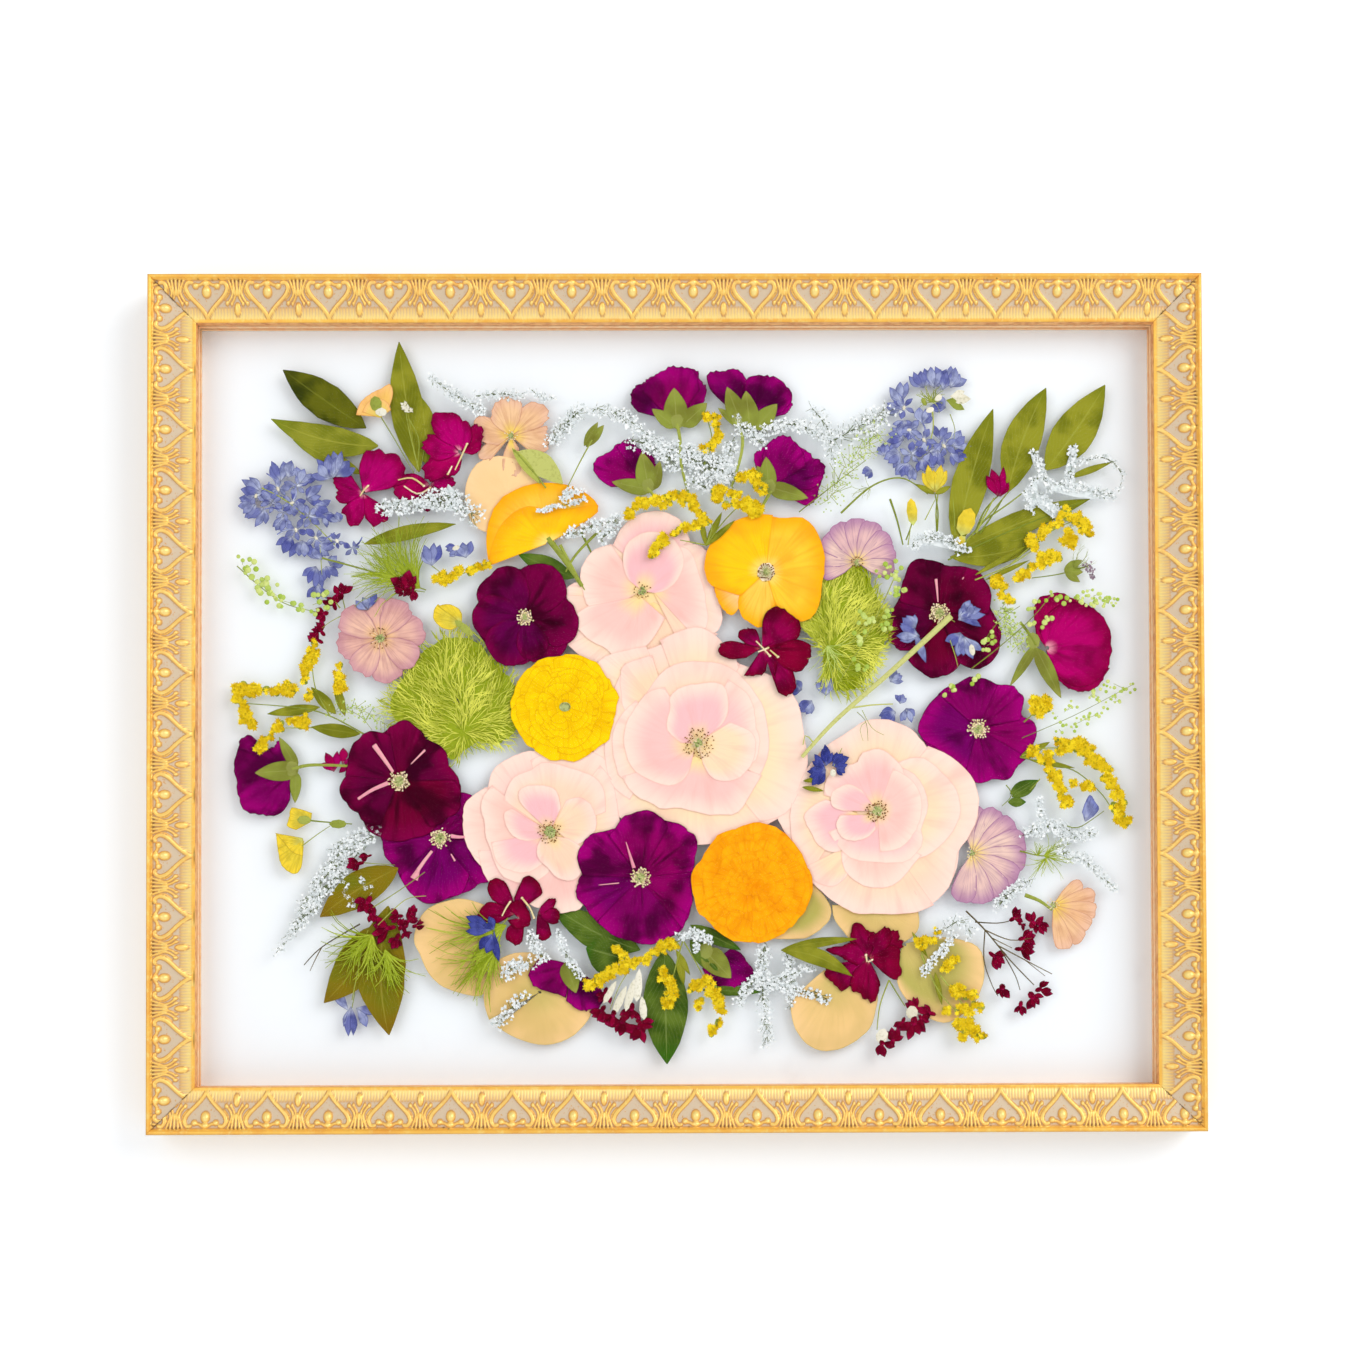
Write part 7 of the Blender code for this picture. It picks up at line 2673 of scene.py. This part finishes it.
def blue_flowers() -> list[Sprig]:
    """Delphinium flowers, in clusters and singly.

    Returns:
        The sprigs, not built yet.
    """
    kinds, deep = [BLUE, STEM, OLIVE_LEAF, CREAM], [DEEP_BLUE, STEM, OLIVE_LEAF, CREAM]

    def bells(rows: list[tuple[float, float, float, float]]) -> list[Part]:
        """Flowers by the place of their base, their direction and their length."""
        return [Bell((x, y), way, reach) for x, y, way, reach in rows]

    def florets(*eyes: Place, reach: float = 12.5) -> list[Part]:
        """Open flowers at some pixels."""
        return [Floret(eye, reach) for eye in eyes]

    return [
        Sprig("delphinium_cluster_left", "blue_petal", kinds, LOW, node="delphinium_left", parts=florets(
            (256, 496), (278, 489), (297, 486), (284, 512), (309, 516), (296, 530), (316, 538), (272, 503),
            (292, 503),
            reach=13.0)
              + florets((337, 541), (352, 548), reach=10.0)
              + bells([(281, 482, 95, 24), (288, 478, 75, 18), (300, 484, 60, 18), (262, 492, 165, 22),
                       (256, 504, 200, 20), (264, 508, 235, 20), (274, 500, 130, 18),
                       (284, 516, 250, 20), (306, 500, 30, 20), (314, 506, 350, 18),
                       (322, 514, 320, 16), (292, 536, 235, 18), (302, 540, 275, 20),
                       (318, 544, 330, 16), (296, 500, 280, 16), (316, 566, 250, 22), (326, 566, 300, 16),
                       (318, 584, 265, 16), (322, 560, 120, 16), (330, 566, 40, 14)]),
              stems=[([(262, 488), (285, 500), (310, 520), (335, 545)], 0.4),
                     ([(320, 545), (322, 575)], 0.3)]),
        Sprig("delphinium_cluster_right", "blue_petal", kinds, LOW, node="delphinium_right", parts=florets(
            (904, 408), (909, 430), (924, 440), (912, 454), (944, 446), (930, 452), reach=13.0)
              + bells([(902, 402, 110, 20), (900, 410, 160, 16), (906, 420, 235, 18), (922, 424, 60, 16),
                       (918, 426, 200, 18), (904, 440, 170, 16), (900, 452, 215, 18),
                       (908, 462, 260, 18), (922, 458, 290, 18), (940, 440, 70, 16), (952, 446, 20, 18),
                       (950, 452, 320, 16), (938, 450, 240, 16), (924, 388, 108, 22),
                       (934, 388, 84, 22), (943, 390, 92, 24), (950, 388, 62, 22), (946, 408, 160, 16),
                       (872, 470, 210, 12), (884, 456, 80, 14), (958, 452, 320, 14),
                       (912, 466, 250, 14), (936, 452, 275, 16)]) + [
                           Threads((932, 402), 80, 100, (8, 20), 30, 0.3),
                           Bell((950, 396), -8, 20, 3, 18, 3), Bell((946, 400), -20, 20, 2, 14, 1),
                           Drop((938, 398), 30, 9, 7, 3), Drop((930, 410), 200, 9, 6, 3),
                           Drop((924, 402), 120, 9, 5, 1)],
              stems=[([(932, 405), (933, 430), (925, 455)], 0.4),
                     ([(950, 414), (955, 430), (952, 446)], 0.25)]),
        Sprig("delphinium_fan", "blue_petal", kinds, MIDDLE,
              parts=bells([
                  (331, 479, 125, 24), (333, 478, 90, 24), (336, 477, 60, 26), (340, 522, 120, 12),
                  (368, 610, 100, 18)])),
        Sprig("delphinium_on_fringe", "blue_petal", kinds, HIGH,
              parts=bells([
                  (432, 566, 95, 22), (466, 558, 110, 20),
                  (458, 548, 200, 12)]) + [Drop((456, 548), 20, 8, 5, 3)],
              stems=[([(432, 566), (440, 572)], 0.3)]),
        Sprig("delphinium_spur", "blue_petal", kinds, LOW, parts=[
            Bell((351, 1006), 262, 28, 3, 15), Bell((356, 1008), 322, 24, 2, 16),
            Bell((350, 1012), 116, 34, 1, 4)],
              stems=[([(352, 1008), (355, 990), (354, 975)], 0.25)]),
        Sprig("delphinium_on_round_leaf", "blue_petal", deep, HIGH, parts=[
            Bell((492, 930), 172, 28, 3, 14), Bell((494, 930), 130, 14, 2, 20),
            Bell((492, 934), 240, 26, 2, 12),
            Bell((494, 930), 285, 34, 1, 7)]),
        Sprig("delphinium_on_velvet", "blue_petal", kinds, HIGH,
              parts=bells([
                  (920, 636, 165, 24), (916, 628, 130, 16), (958, 620, 30, 20), (966, 618, 60, 16),
                  (958, 616, 10, 26), (964, 636, 280, 24),
                  (960, 632, 250, 16)]) + [Bell((914, 628), 290, 36, 1, 7),
                                           Drop((972, 650), 280, 12, 6, 3)],
              stems=[([(945, 616), (955, 622)], 0.3), ([(950, 640), (955, 655), (958, 667)], 0.3)]),
        Sprig("delphinium_bits", "blue_petal", kinds, 9.0,
              parts=bells([
                  (802, 690, 160, 14), (812, 700, 240, 18), (826, 696, 100, 20), (890, 682, 30, 16),
                  (896, 712, 200, 18), (906, 708, 280, 16), (900, 704, 80, 10)])),
        Sprig("delphinium_dark", "blue_petal", deep, HIGH,
              parts=bells([
                  (826, 770, 215, 20), (826, 770, 165, 18), (826, 766, 100, 20), (832, 766, 40, 18),
                  (836, 768, 350, 12)]) + [
                      Drop((833, 773), 90, 8, 6, 3)],
              stems=[([(834, 766), (842, 748)], 0.3)],
              blades=[Blade((803, 781), (824, 779), 5), Blade((802, 787), (824, 791), 5)]),
        Sprig("delphinium_petal", "blue_petal", kinds, 11.0, discs=[
            Petal((1085, 822), [(1082, 812), (1085, 803), (1090, 795), (1096, 803), (1099, 809),
                                (1094, 816)])],
              stems=[([(1067, 826), (1080, 827), (1104, 811)], 0.3)]),
    ]


def green_sprigs() -> list[Sprig]:
    """Bead sprigs, fern threads and long stems.

    Returns:
        The sprigs, not built yet.
    """
    kinds = [LIME, STEM, OLIVE_LEAF, FERN]

    def beads(runs: list[tuple[list[Place], float, int, float]]) -> list[Part]:
        """Beads by line, width, count and size."""
        return [Cluster(line, width, count, size, round=True, stalked=0.3) for line, width, count,
                size in runs]

    return [
        Sprig("bead_sprig_left", "lime_fringe", kinds, LOW,
              [([(237, 566), (263, 589), (286, 604), (316, 612)], 0.3)],
              beads([([(240, 562), (262, 585), (275, 596)], 13, 26, 1.5),
                     ([(278, 600), (300, 606), (330, 602)], 11, 22, 1.4)])),
        Sprig("bead_sprig_top_right", "lime_fringe", kinds, 9.1,
              [([(799, 512), (840, 480), (866, 460)], 0.3)],
              [Cluster([(828, 500), (845, 470), (870, 440), (882, 428)], 17, 230, 0.6)]),
        Sprig("bead_sprig_on_fringe", "lime_fringe", kinds, HIGH,
              [([(896, 574), (870, 630), (838, 684)], 0.3)],
              beads([([(882, 566), (896, 574), (898, 596)], 11, 26, 1.3),
                     ([(888, 608), (886, 640)], 6, 12, 1.3),
                     ([(868, 612), (860, 640), (858, 676)], 9, 24, 1.35)])
              + [Threads((827, 646), 300, 62, (8, 34), 26, 0.22, 0)]),
        Sprig("bead_sprig_on_rose", "lime_fringe", kinds, HIGH,
              [([(971, 669), (998, 648), (1030, 620), (1052, 594)], 0.3)],
              beads([([(1032, 606), (1046, 594), (1064, 598)], 6, 13, 1.3),
                     ([(1034, 626), (1048, 616), (1058, 610)], 6, 8, 1.35),
                     ([(982, 650), (998, 636)], 8, 10, 1.35),
                     ([(945, 693), (970, 680), (984, 676)], 5, 9, 1.3),
                     ([(1086, 590), (1100, 600), (1116, 606)], 7, 34, 0.9),
                     ([(1072, 600), (1098, 606)], 5, 12, 1.1)])),
        Sprig("fluff_by_rose", "lime_fringe", kinds, 9.1, [([(985, 640), (1000, 620), (1020, 606)], 0.25)],
              [Cluster([(1002, 608), (1010, 630), (1022, 645)], 13, 170, 0.7)]),
        Sprig("bead_sprig_right", "lime_fringe", kinds, LOW,
              [([(1022, 738), (1075, 715), (1134, 684)], 0.18)],
              beads([([(1080, 722), (1105, 708), (1134, 684)], 6, 36, 0.85),
                     ([(1058, 716), (1085, 700), (1120, 680)], 9, 26, 0.9),
                     ([(1050, 730), (1075, 728)], 5, 8, 0.9)])),
        Sprig("lime_flecks", "lime_fringe", kinds, 9.2, [([(340, 706), (360, 716), (372, 730)], 0.2)],
              [Cluster([(335, 712), (360, 710), (388, 726)], 11, 110, 0.65)]),
        Sprig("fern_right", "lime_fringe", kinds, 9.6, [([(1020, 851), (1044, 856), (1070, 852)], 0.4)], [
            Threads((1044, 856), 10, 50, (12, 32), 26, 0.26, 3),
            Threads((1038, 856), 95, 45, (8, 18), 14, 0.24, 3),
            Threads((1046, 858), 250, 45, (10, 30), 18, 0.24, 3)]),
        Sprig("fern_left", "lime_fringe", kinds, MIDDLE, [([(322, 558), (380, 574), (426, 590)], 0.5)], [
            Threads((420, 588), 140, 34, (28, 78), 130, 0.36, 3),
            Threads((400, 580), 160, 26, (20, 50), 50, 0.34, 3)],
              [Blade((364, 544), (456, 524), 15, 2.0)]),
        Sprig("fern_hanging", "lime_fringe", kinds, HIGH, [([(352, 1000), (362, 950), (368, 930)], 0.25)], [
            Threads((372, 935), 235, 55, (18, 58), 74, 0.46, 3),
            Threads((385, 950), 285, 25, (20, 50), 36, 0.46, 3)]),
        Sprig("fern_on_round_leaf", "lime_fringe", kinds, MIDDLE,
              [([(508, 918), (480, 950), (455, 985)], 0.35)], [
                  Threads((506, 925), 205, 24, (25, 82), 74, 0.46, 3),
                  Threads((500, 945), 232, 16, (20, 70), 60, 0.46, 3)]),
        Sprig("tendrils", "lime_fringe", kinds, HIGH, [([(857, 712), (866, 722), (868, 741)], 0.18),
                                                       ([(862, 710), (872, 728), (884, 735)], 0.18),
                                                       ([(866, 722), (860, 728), (863, 741)], 0.15)], []),
        Sprig("long_stem", "leaf", [LIME, PALE_STEM], HIGH,
              [([(951, 616), (895, 668), (836, 720), (802, 757)], 1.6),
               ([(850, 708), (872, 705), (893, 704)], 0.5),
               ([(815, 745), (806, 735), (803, 745)], 0.4)], []),
        Sprig("stems_top_right", "leaf", kinds, 9.0,
              [([(841, 513), (872, 486), (902, 478), (928, 494)], 0.55),
               ([(890, 499), (897, 520), (903, 545)], 0.6),
               ([(937, 531), (936, 512), (938, 494)], 0.5),
               ([(906, 540), (912, 522), (912, 500)], 0.4),
               ([(955, 535), (954, 512), (952, 490)], 0.35),
               ([(975, 533), (985, 510), (1000, 494)], 0.55),
               ([(925, 520), (935, 500)], 0.3)], [
                   Threads((870, 488), 200, 80, (8, 20), 12, 0.15)]),
        Sprig("stems_behind_fringe", "leaf", kinds, 8.95, [([(600, 530), (572, 560), (555, 600)], 0.8),
                                                           ([(580, 530), (595, 560)], 0.7),
                                                           ([(560, 545), (590, 600)], 0.9)], []),
    ]


def buds() -> list[Sprig]:
    """Wax flowers and the buds, yellow, green, peach and red.

    Returns:
        The sprigs, not built yet.
    """
    def drops(rows: list[tuple[float, ...]], slot: int = 0, blunt: float = 0.15) -> list[Part]:
        """Buds by place, direction, length and width."""
        return [Drop((x, y), way, reach, wide, slot, blunt) for x, y, way, reach, wide in rows]

    def flowers(rows: list[tuple[float, ...]]) -> list[Part]:
        """Pinched flowers by place, direction, length and width: cups with pointed petals.

        Args:
            rows: The place, the direction, the length and the width of each.

        Returns:
            The flowers.
        """
        made: list[Part] = []
        for x, y, way, reach, wide in rows:
            a = math.radians(way)
            made.append(Bell(off((x, y), a, -0.25 * reach), way, 0.85 * reach, 4, 16 + 2.6 * wide))
            made.append(Drop(off((x, y), a, -0.3 * reach), way, 0.5 * reach, 0.5 * wide))
        return made

    wax = [WAX_PETAL, STEM, OLIVE_LEAF, CREAM]
    return [
        Sprig("wax_buds_left", "crimson_petal", wax, LOW, [([(346, 612), (343, 600), (342, 592)], 0.3),
                                                           ([(340, 608), (334, 600)], 0.4),
                                                           ([(345, 614), (330, 622), (322, 628)], 0.25)],
              flowers([(342, 591, 80, 18, 12), (333, 602, 110, 17, 9), (322, 614, 190, 13, 10),
                       (320, 630, 130, 15, 8), (316, 639, 150, 16, 8)])),
        Sprig("wax_buds_on_fringe", "crimson_petal", wax, HIGH, [([(410, 590), (425, 592)], 0.3)],
              flowers([(406, 584, 100, 22, 14), (412, 592, 250, 14, 8), (400, 590, 200, 10, 7)])),
        Sprig("wax_buds_by_rose_left", "crimson_petal", [MAGENTA, STEM, OLIVE_LEAF, CREAM], LOW,
              [([(350, 766), (400, 768)], 0.3)], [Bell((334, 772), 120, 20, 3), Bell((342, 764), 60, 16, 2),
                                                  Bell((348, 762), 200, 14, 2)]),
        Sprig("wax_buds_lower_left", "crimson_petal", wax, HIGH,
              [([(352, 862), (395, 865)], 0.25),
               ([(372, 908), (400, 890), (425, 872)], 0.3),
               ([(378, 925), (405, 900), (426, 896)], 0.3)],
              flowers([(356, 864, 190, 16, 8), (366, 857, 200, 12, 5), (366, 905, 240, 20, 12),
                       (372, 916, 300, 14, 9), (384, 929, 190, 24, 10), (396, 941, 250, 16, 10),
                       (402, 925, 60, 12, 9), (410, 920, 40, 14, 9), (418, 925, 20, 12, 8),
                       (396, 916, 180, 14, 8), (406, 933, 300, 12, 9), (412, 912, 90, 12, 8)])),
        Sprig("wax_buds_bottom", "crimson_petal", wax, MIDDLE,
              [([(633, 965), (620, 985), (610, 1010)], 0.25), ([(640, 972), (632, 995)], 0.25)],
              flowers([(604, 995, 250, 16, 9), (600, 1012, 230, 16, 10), (612, 1018, 250, 18, 11),
                       (621, 1025, 250, 20, 14), (631, 1012, 260, 18, 12), (637, 1030, 240, 20, 10),
                       (643, 1024, 330, 16, 9)])
              + drops([(610, 992, 240, 26, 7), (620, 1000, 245, 32, 8), (630, 995, 255, 34, 8),
                       (638, 985, 265, 34, 9), (643, 1008, 275, 24, 8)], 3)),
        Sprig("wax_buds_bottom_right", "crimson_petal", wax, MIDDLE,
              [([(889, 980), (880, 1005), (877, 1030)], 0.4), ([(889, 980), (898, 995), (905, 1006)], 0.4)],
              flowers([(915, 1005, 130, 18, 7), (928, 1012, 160, 16, 9), (902, 1024, 250, 14, 8),
                       (914, 1027, 270, 22, 14), (922, 1020, 300, 12, 8), (884, 1046, 300, 16, 12),
                       (894, 1038, 70, 18, 11)])
              + drops([(882, 1036, 250, 16, 12), (912, 1012, 240, 14, 12)], 3, 0.0)),
        Sprig("wax_twigs_right", "crimson_petal", [WAX_PETAL, TWIG, OLIVE_LEAF, CREAM], LOW, [
            ([(966, 911), (985, 930), (1010, 960), (1034, 985)], 0.45),
            ([(975, 922), (1000, 923), (1018, 918)], 0.35),
            ([(985, 930), (1010, 940), (1032, 938)], 0.35),
            ([(985, 930), (984, 960), (992, 985), (998, 996)], 0.35),
            ([(997, 945), (1025, 960), (1052, 974)], 0.35), ([(1000, 948), (1015, 975), (1020, 990)], 0.35),
            ([(992, 938), (1012, 948)], 0.3), ([(1025, 960), (1045, 976)], 0.25)],
              flowers([(1016, 917, 30, 15, 9), (1022, 925, 330, 9, 7), (1035, 920, 60, 18, 14),
                       (1040, 926, 300, 14, 9), (1026, 937, 20, 16, 9), (1024, 949, 0, 18, 9),
                       (996, 958, 320, 18, 9), (1003, 991, 280, 14, 13), (1034, 1000, 300, 18, 14),
                       (1043, 988, 20, 16, 10), (1020, 1008, 260, 14, 9)])),
        Sprig("yellow_buds_left", "yellow_petal", [BUD_SKIN, STEM, OLIVE_LEAF, CREAM], LOW,
              [([(305, 820), (325, 822), (352, 824)], 0.45), ([(302, 846), (318, 834), (330, 826)], 0.3)],
              [Drop((338, 824), 0, 18, 9, 1), Drop((304, 820), 0, 14, 9, 1)],
              discs=[Petal((311, 822), [(296, 830), (287, 826), (289, 818), (291, 808), (300, 809),
                                        (312, 813)], tint=0.9),
                     Petal((304, 840), [(276, 834), (278, 852), (282, 866), (294, 874), (301, 868),
                                        (303, 854)], tint=0.3),
                     Petal((303, 838), [(275, 833), (280, 838), (292, 852), (303, 856)], tint=0.0)]),
        Sprig("yellow_bud_on_fringe", "yellow_petal", [BUD_SKIN, STEM, OLIVE_LEAF, CREAM], HIGH,
              [([(458, 622), (470, 630), (483, 641)], 0.5)], [Drop((464, 628), 320, 24, 8, 1)],
              discs=[Petal((462, 624), [(438, 604), (434, 610), (434, 620), (442, 628), (452, 630)],
                           tint=0.8),
                     Petal((462, 624), [(438, 606), (448, 604), (458, 608), (462, 614)], tint=0.1)]),
        Sprig("yellow_cup_right", "yellow_petal", [BUD_SKIN, STEM, OLIVE_LEAF, CREAM], LOW + 0.3,
              [([(937, 532), (938, 512), (935, 494)], 0.5)],
              [Bell((935, 493), 90, 27, 4, 26), Bell((936, 493), 90, 25, 2, 12)],
              [Blade((935, 494), (915, 484), 6), Blade((935, 494), (951, 486), 6)]),
        Sprig("yellow_buds_right", "yellow_petal", [BUD_SKIN, STEM, OLIVE_LEAF, CREAM], LOW + 0.5,
              [([(908, 545), (911, 525)], 0.3), ([(956, 545), (964, 530)], 0.4)],
              drops([(912, 512, 95, 28, 11), (966, 522, 70, 30, 18), (960, 541, 220, 14, 9)], 0, 0.0)),
        Sprig("green_bud_top", "lime_fringe", [LIME, STEM, SEPAL, CREAM], MIDDLE,
              [([(592, 440), (580, 462), (567, 488)], 0.4)],
              [], [Blade((586, 447), (604, 425), 10), Blade((584, 446), (598, 422), 9)]),
        Sprig("green_buds_right", "lime_fringe", [LIME, STEM, GREEN_LEAF, CREAM], LOW,
              [([(1006, 785), (1012, 795), (1002, 806)], 0.3), ([(1040, 779), (1030, 790)], 0.3)], [],
              [Blade((1012, 797), (1038, 780), 14), Blade((1010, 794), (1034, 780), 12),
               Blade((1008, 802), (1026, 802), 10)]),
        Sprig("seed_head", "mauve_petal", [SEED_HEAD, STEM, SEPAL, CREAM], LOW,
              [([(1088, 566), (1060, 574), (1032, 578)], 0.4)],
              [Cluster([(1086, 562), (1092, 576)], 5, 30, 0.9),
               Threads((1074, 568), 40, 60, (10, 26), 22, 0.1)],
              [Blade((1064, 570), (1082, 560), 9), Blade((1064, 571), (1083, 572), 10),
               Blade((1065, 572), (1080, 582), 8)]),
        Sprig("crimson_bud", "crimson_petal", [MAGENTA, STEM, SEPAL, CREAM], LOW + 0.5,
              [([(976, 533), (985, 515), (994, 498)], 0.6), ([(980, 533), (996, 510), (1002, 500)], 0.5)],
              [Bell((998, 497), 105, 30, 4, 22), Bell((1000, 497), 80, 22, 3, 20)]),
        Sprig("peach_cup", "peach_petal", [GOLDEN_PEACH, STEM, OLIVE_LEAF, CREAM], MIDDLE,
              [([(381, 417), (395, 440), (414, 473)], 0.3)],
              [Drop((376, 404), 100, 16, 12, 1), Drop((381, 412), 80, 9, 12, 3)],
              discs=[Petal((380, 417), [(356, 415), (360, 403), (370, 394), (382, 388), (390, 384),
                                        (393, 394), (389, 408)],
                           tint=0.1, ruffle=0.4),
                     Petal((380, 418), [(362, 412), (368, 402), (378, 398), (387, 402), (391, 410)],
                           tint=0.9)]),
        Sprig("cream_flower", "peach_petal", [CREAM, STEM, OLIVE_LEAF, CREAM], MIDDLE,
              [([(409, 419), (419, 441), (416, 473)], 0.25)],
              [Cluster([(405, 406), (411, 410)], 4, 12, 1.3)]),
        Sprig("dark_twig", "leaf", [WAX, TWIG], LOW, [([(360, 924), (322, 947), (304, 965)], 0.4),
                                                      ([(322, 947), (316, 958), (310, 971)], 0.3),
                                                      ([(345, 932), (338, 938)], 0.3)], []),
        Sprig("peach_bloom_sepals", "leaf", [STEM, STEM, PALE_STEM], 10.6,
              [([(514, 450), (532, 470), (546, 488)], 0.6)],
              [], [Blade((516, 452), (563, 484), 24, 4.0), Blade((512, 448), (540, 484), 9)]),
        Sprig("stems_by_bud", "leaf", [LIME, STEM, OLIVE_LEAF], LOW,
              [([(544, 485), (530, 470), (516, 455)], 0.35),
               ([(548, 538), (566, 562), (582, 586)], 1.7),
               ([(1025, 895), (1040, 901), (1052, 910)], 1.1),
               ([(425, 446), (420, 471)], 0.35)], []),
    ]


# ---- the studio ----------------------------------------------------------------------------------------
@dataclass
class Studio:
    """A white wall and floor, a broad window light from the upper right and a fill."""

    wall_gap: float = 1.8         # behind the rails' back, clear of the hangers
    reach: float = 3.0            # metres
    floor_drop: float = 1.2       # metres below the frame's middle
    sky: float = 0.62

    def build(self) -> None:
        """Add the stage, the lights and the world."""
        paint = WallFinish().material()
        wall_y, floor_z, r = self.wall_gap * MM, MIDDLE_Z * MM - self.floor_drop, self.reach
        seam = [(-r, wall_y, floor_z), (r, wall_y, floor_z)]
        wall = self.plane("wall", seam + [(r, wall_y, r), (-r, wall_y, r)])
        floor = self.plane("floor", [(-r, -r, floor_z), (r, -r, floor_z)] + seam[::-1])
        for made in (wall, floor):
            made.data.materials.append(paint)
        wall.visible_diffuse = wall.visible_glossy = False
        wall.visible_transmission = wall.visible_shadow = False
        self.window("window_light", (1.5, -1.35, 0.75), 1.6, 25.0)
        self.window("fill_light", (-1.4, -2.0, 0.1), 1.6, 11.0)
        world = bpy.data.worlds.new("studio_sky")
        world.use_nodes = True
        world.node_tree.nodes["Background"].inputs[0].default_value = (1.0, 1.0, 1.0, 1.0)
        world.node_tree.nodes["Background"].inputs[1].default_value = self.sky
        bpy.context.scene.world = world
        bpy.context.scene.view_settings.view_transform = "Standard"
        bpy.context.scene.cycles.transparent_max_bounces = 32    # light crosses both panes four times

    def plane(self, name: str, corners: list[tuple[float, float, float]]) -> bpy.types.Object:
        """Make one flat face of the stage.

        Args:
            name: Its name.
            corners: Its corners, in metres.

        Returns:
            Its object.
        """
        mesh = bpy.data.meshes.new(name)
        mesh.from_pydata(corners, [], [(0, 1, 2, 3)])
        made = bpy.data.objects.new(name, mesh)
        bpy.context.collection.objects.link(made)
        return made

    def window(self, name: str, spot: tuple[float, float, float], size: float, power: float) -> None:
        """Hang a square area light that faces the middle of the frame.

        Args:
            name: Its name.
            spot: Where it hangs, in metres.
            size: Its width, in metres.
            power: Its power, in watts.
        """
        data = bpy.data.lights.new(name, "AREA")
        data.size = size
        data.energy = power
        made = bpy.data.objects.new(name, data)
        made.location = spot
        aim = Vector((0.0, 0.0, MIDDLE_Z * MM)) - Vector(spot)
        made.rotation_mode = "QUATERNION"
        made.rotation_quaternion = aim.to_track_quat("-Z", "Y")
        bpy.context.collection.objects.link(made)


def main() -> None:
    """Build every sub-assembly in order."""
    logging.basicConfig(level=logging.INFO, format="%(message)s")
    CAMERA.build()
    Studio().build()
    GildedFrame().build()
    Glazing().build()
    for specimens in (pale_roses, velvet_roses, sunny_blooms, pink_blooms, side_roses, phlox_clusters,
                      leaves, sea_lavender, goldenrod, blue_flowers, green_sprigs, buds, fringes):
        for specimen in specimens():
            specimen.build()


if __name__ == "__main__":
    main()
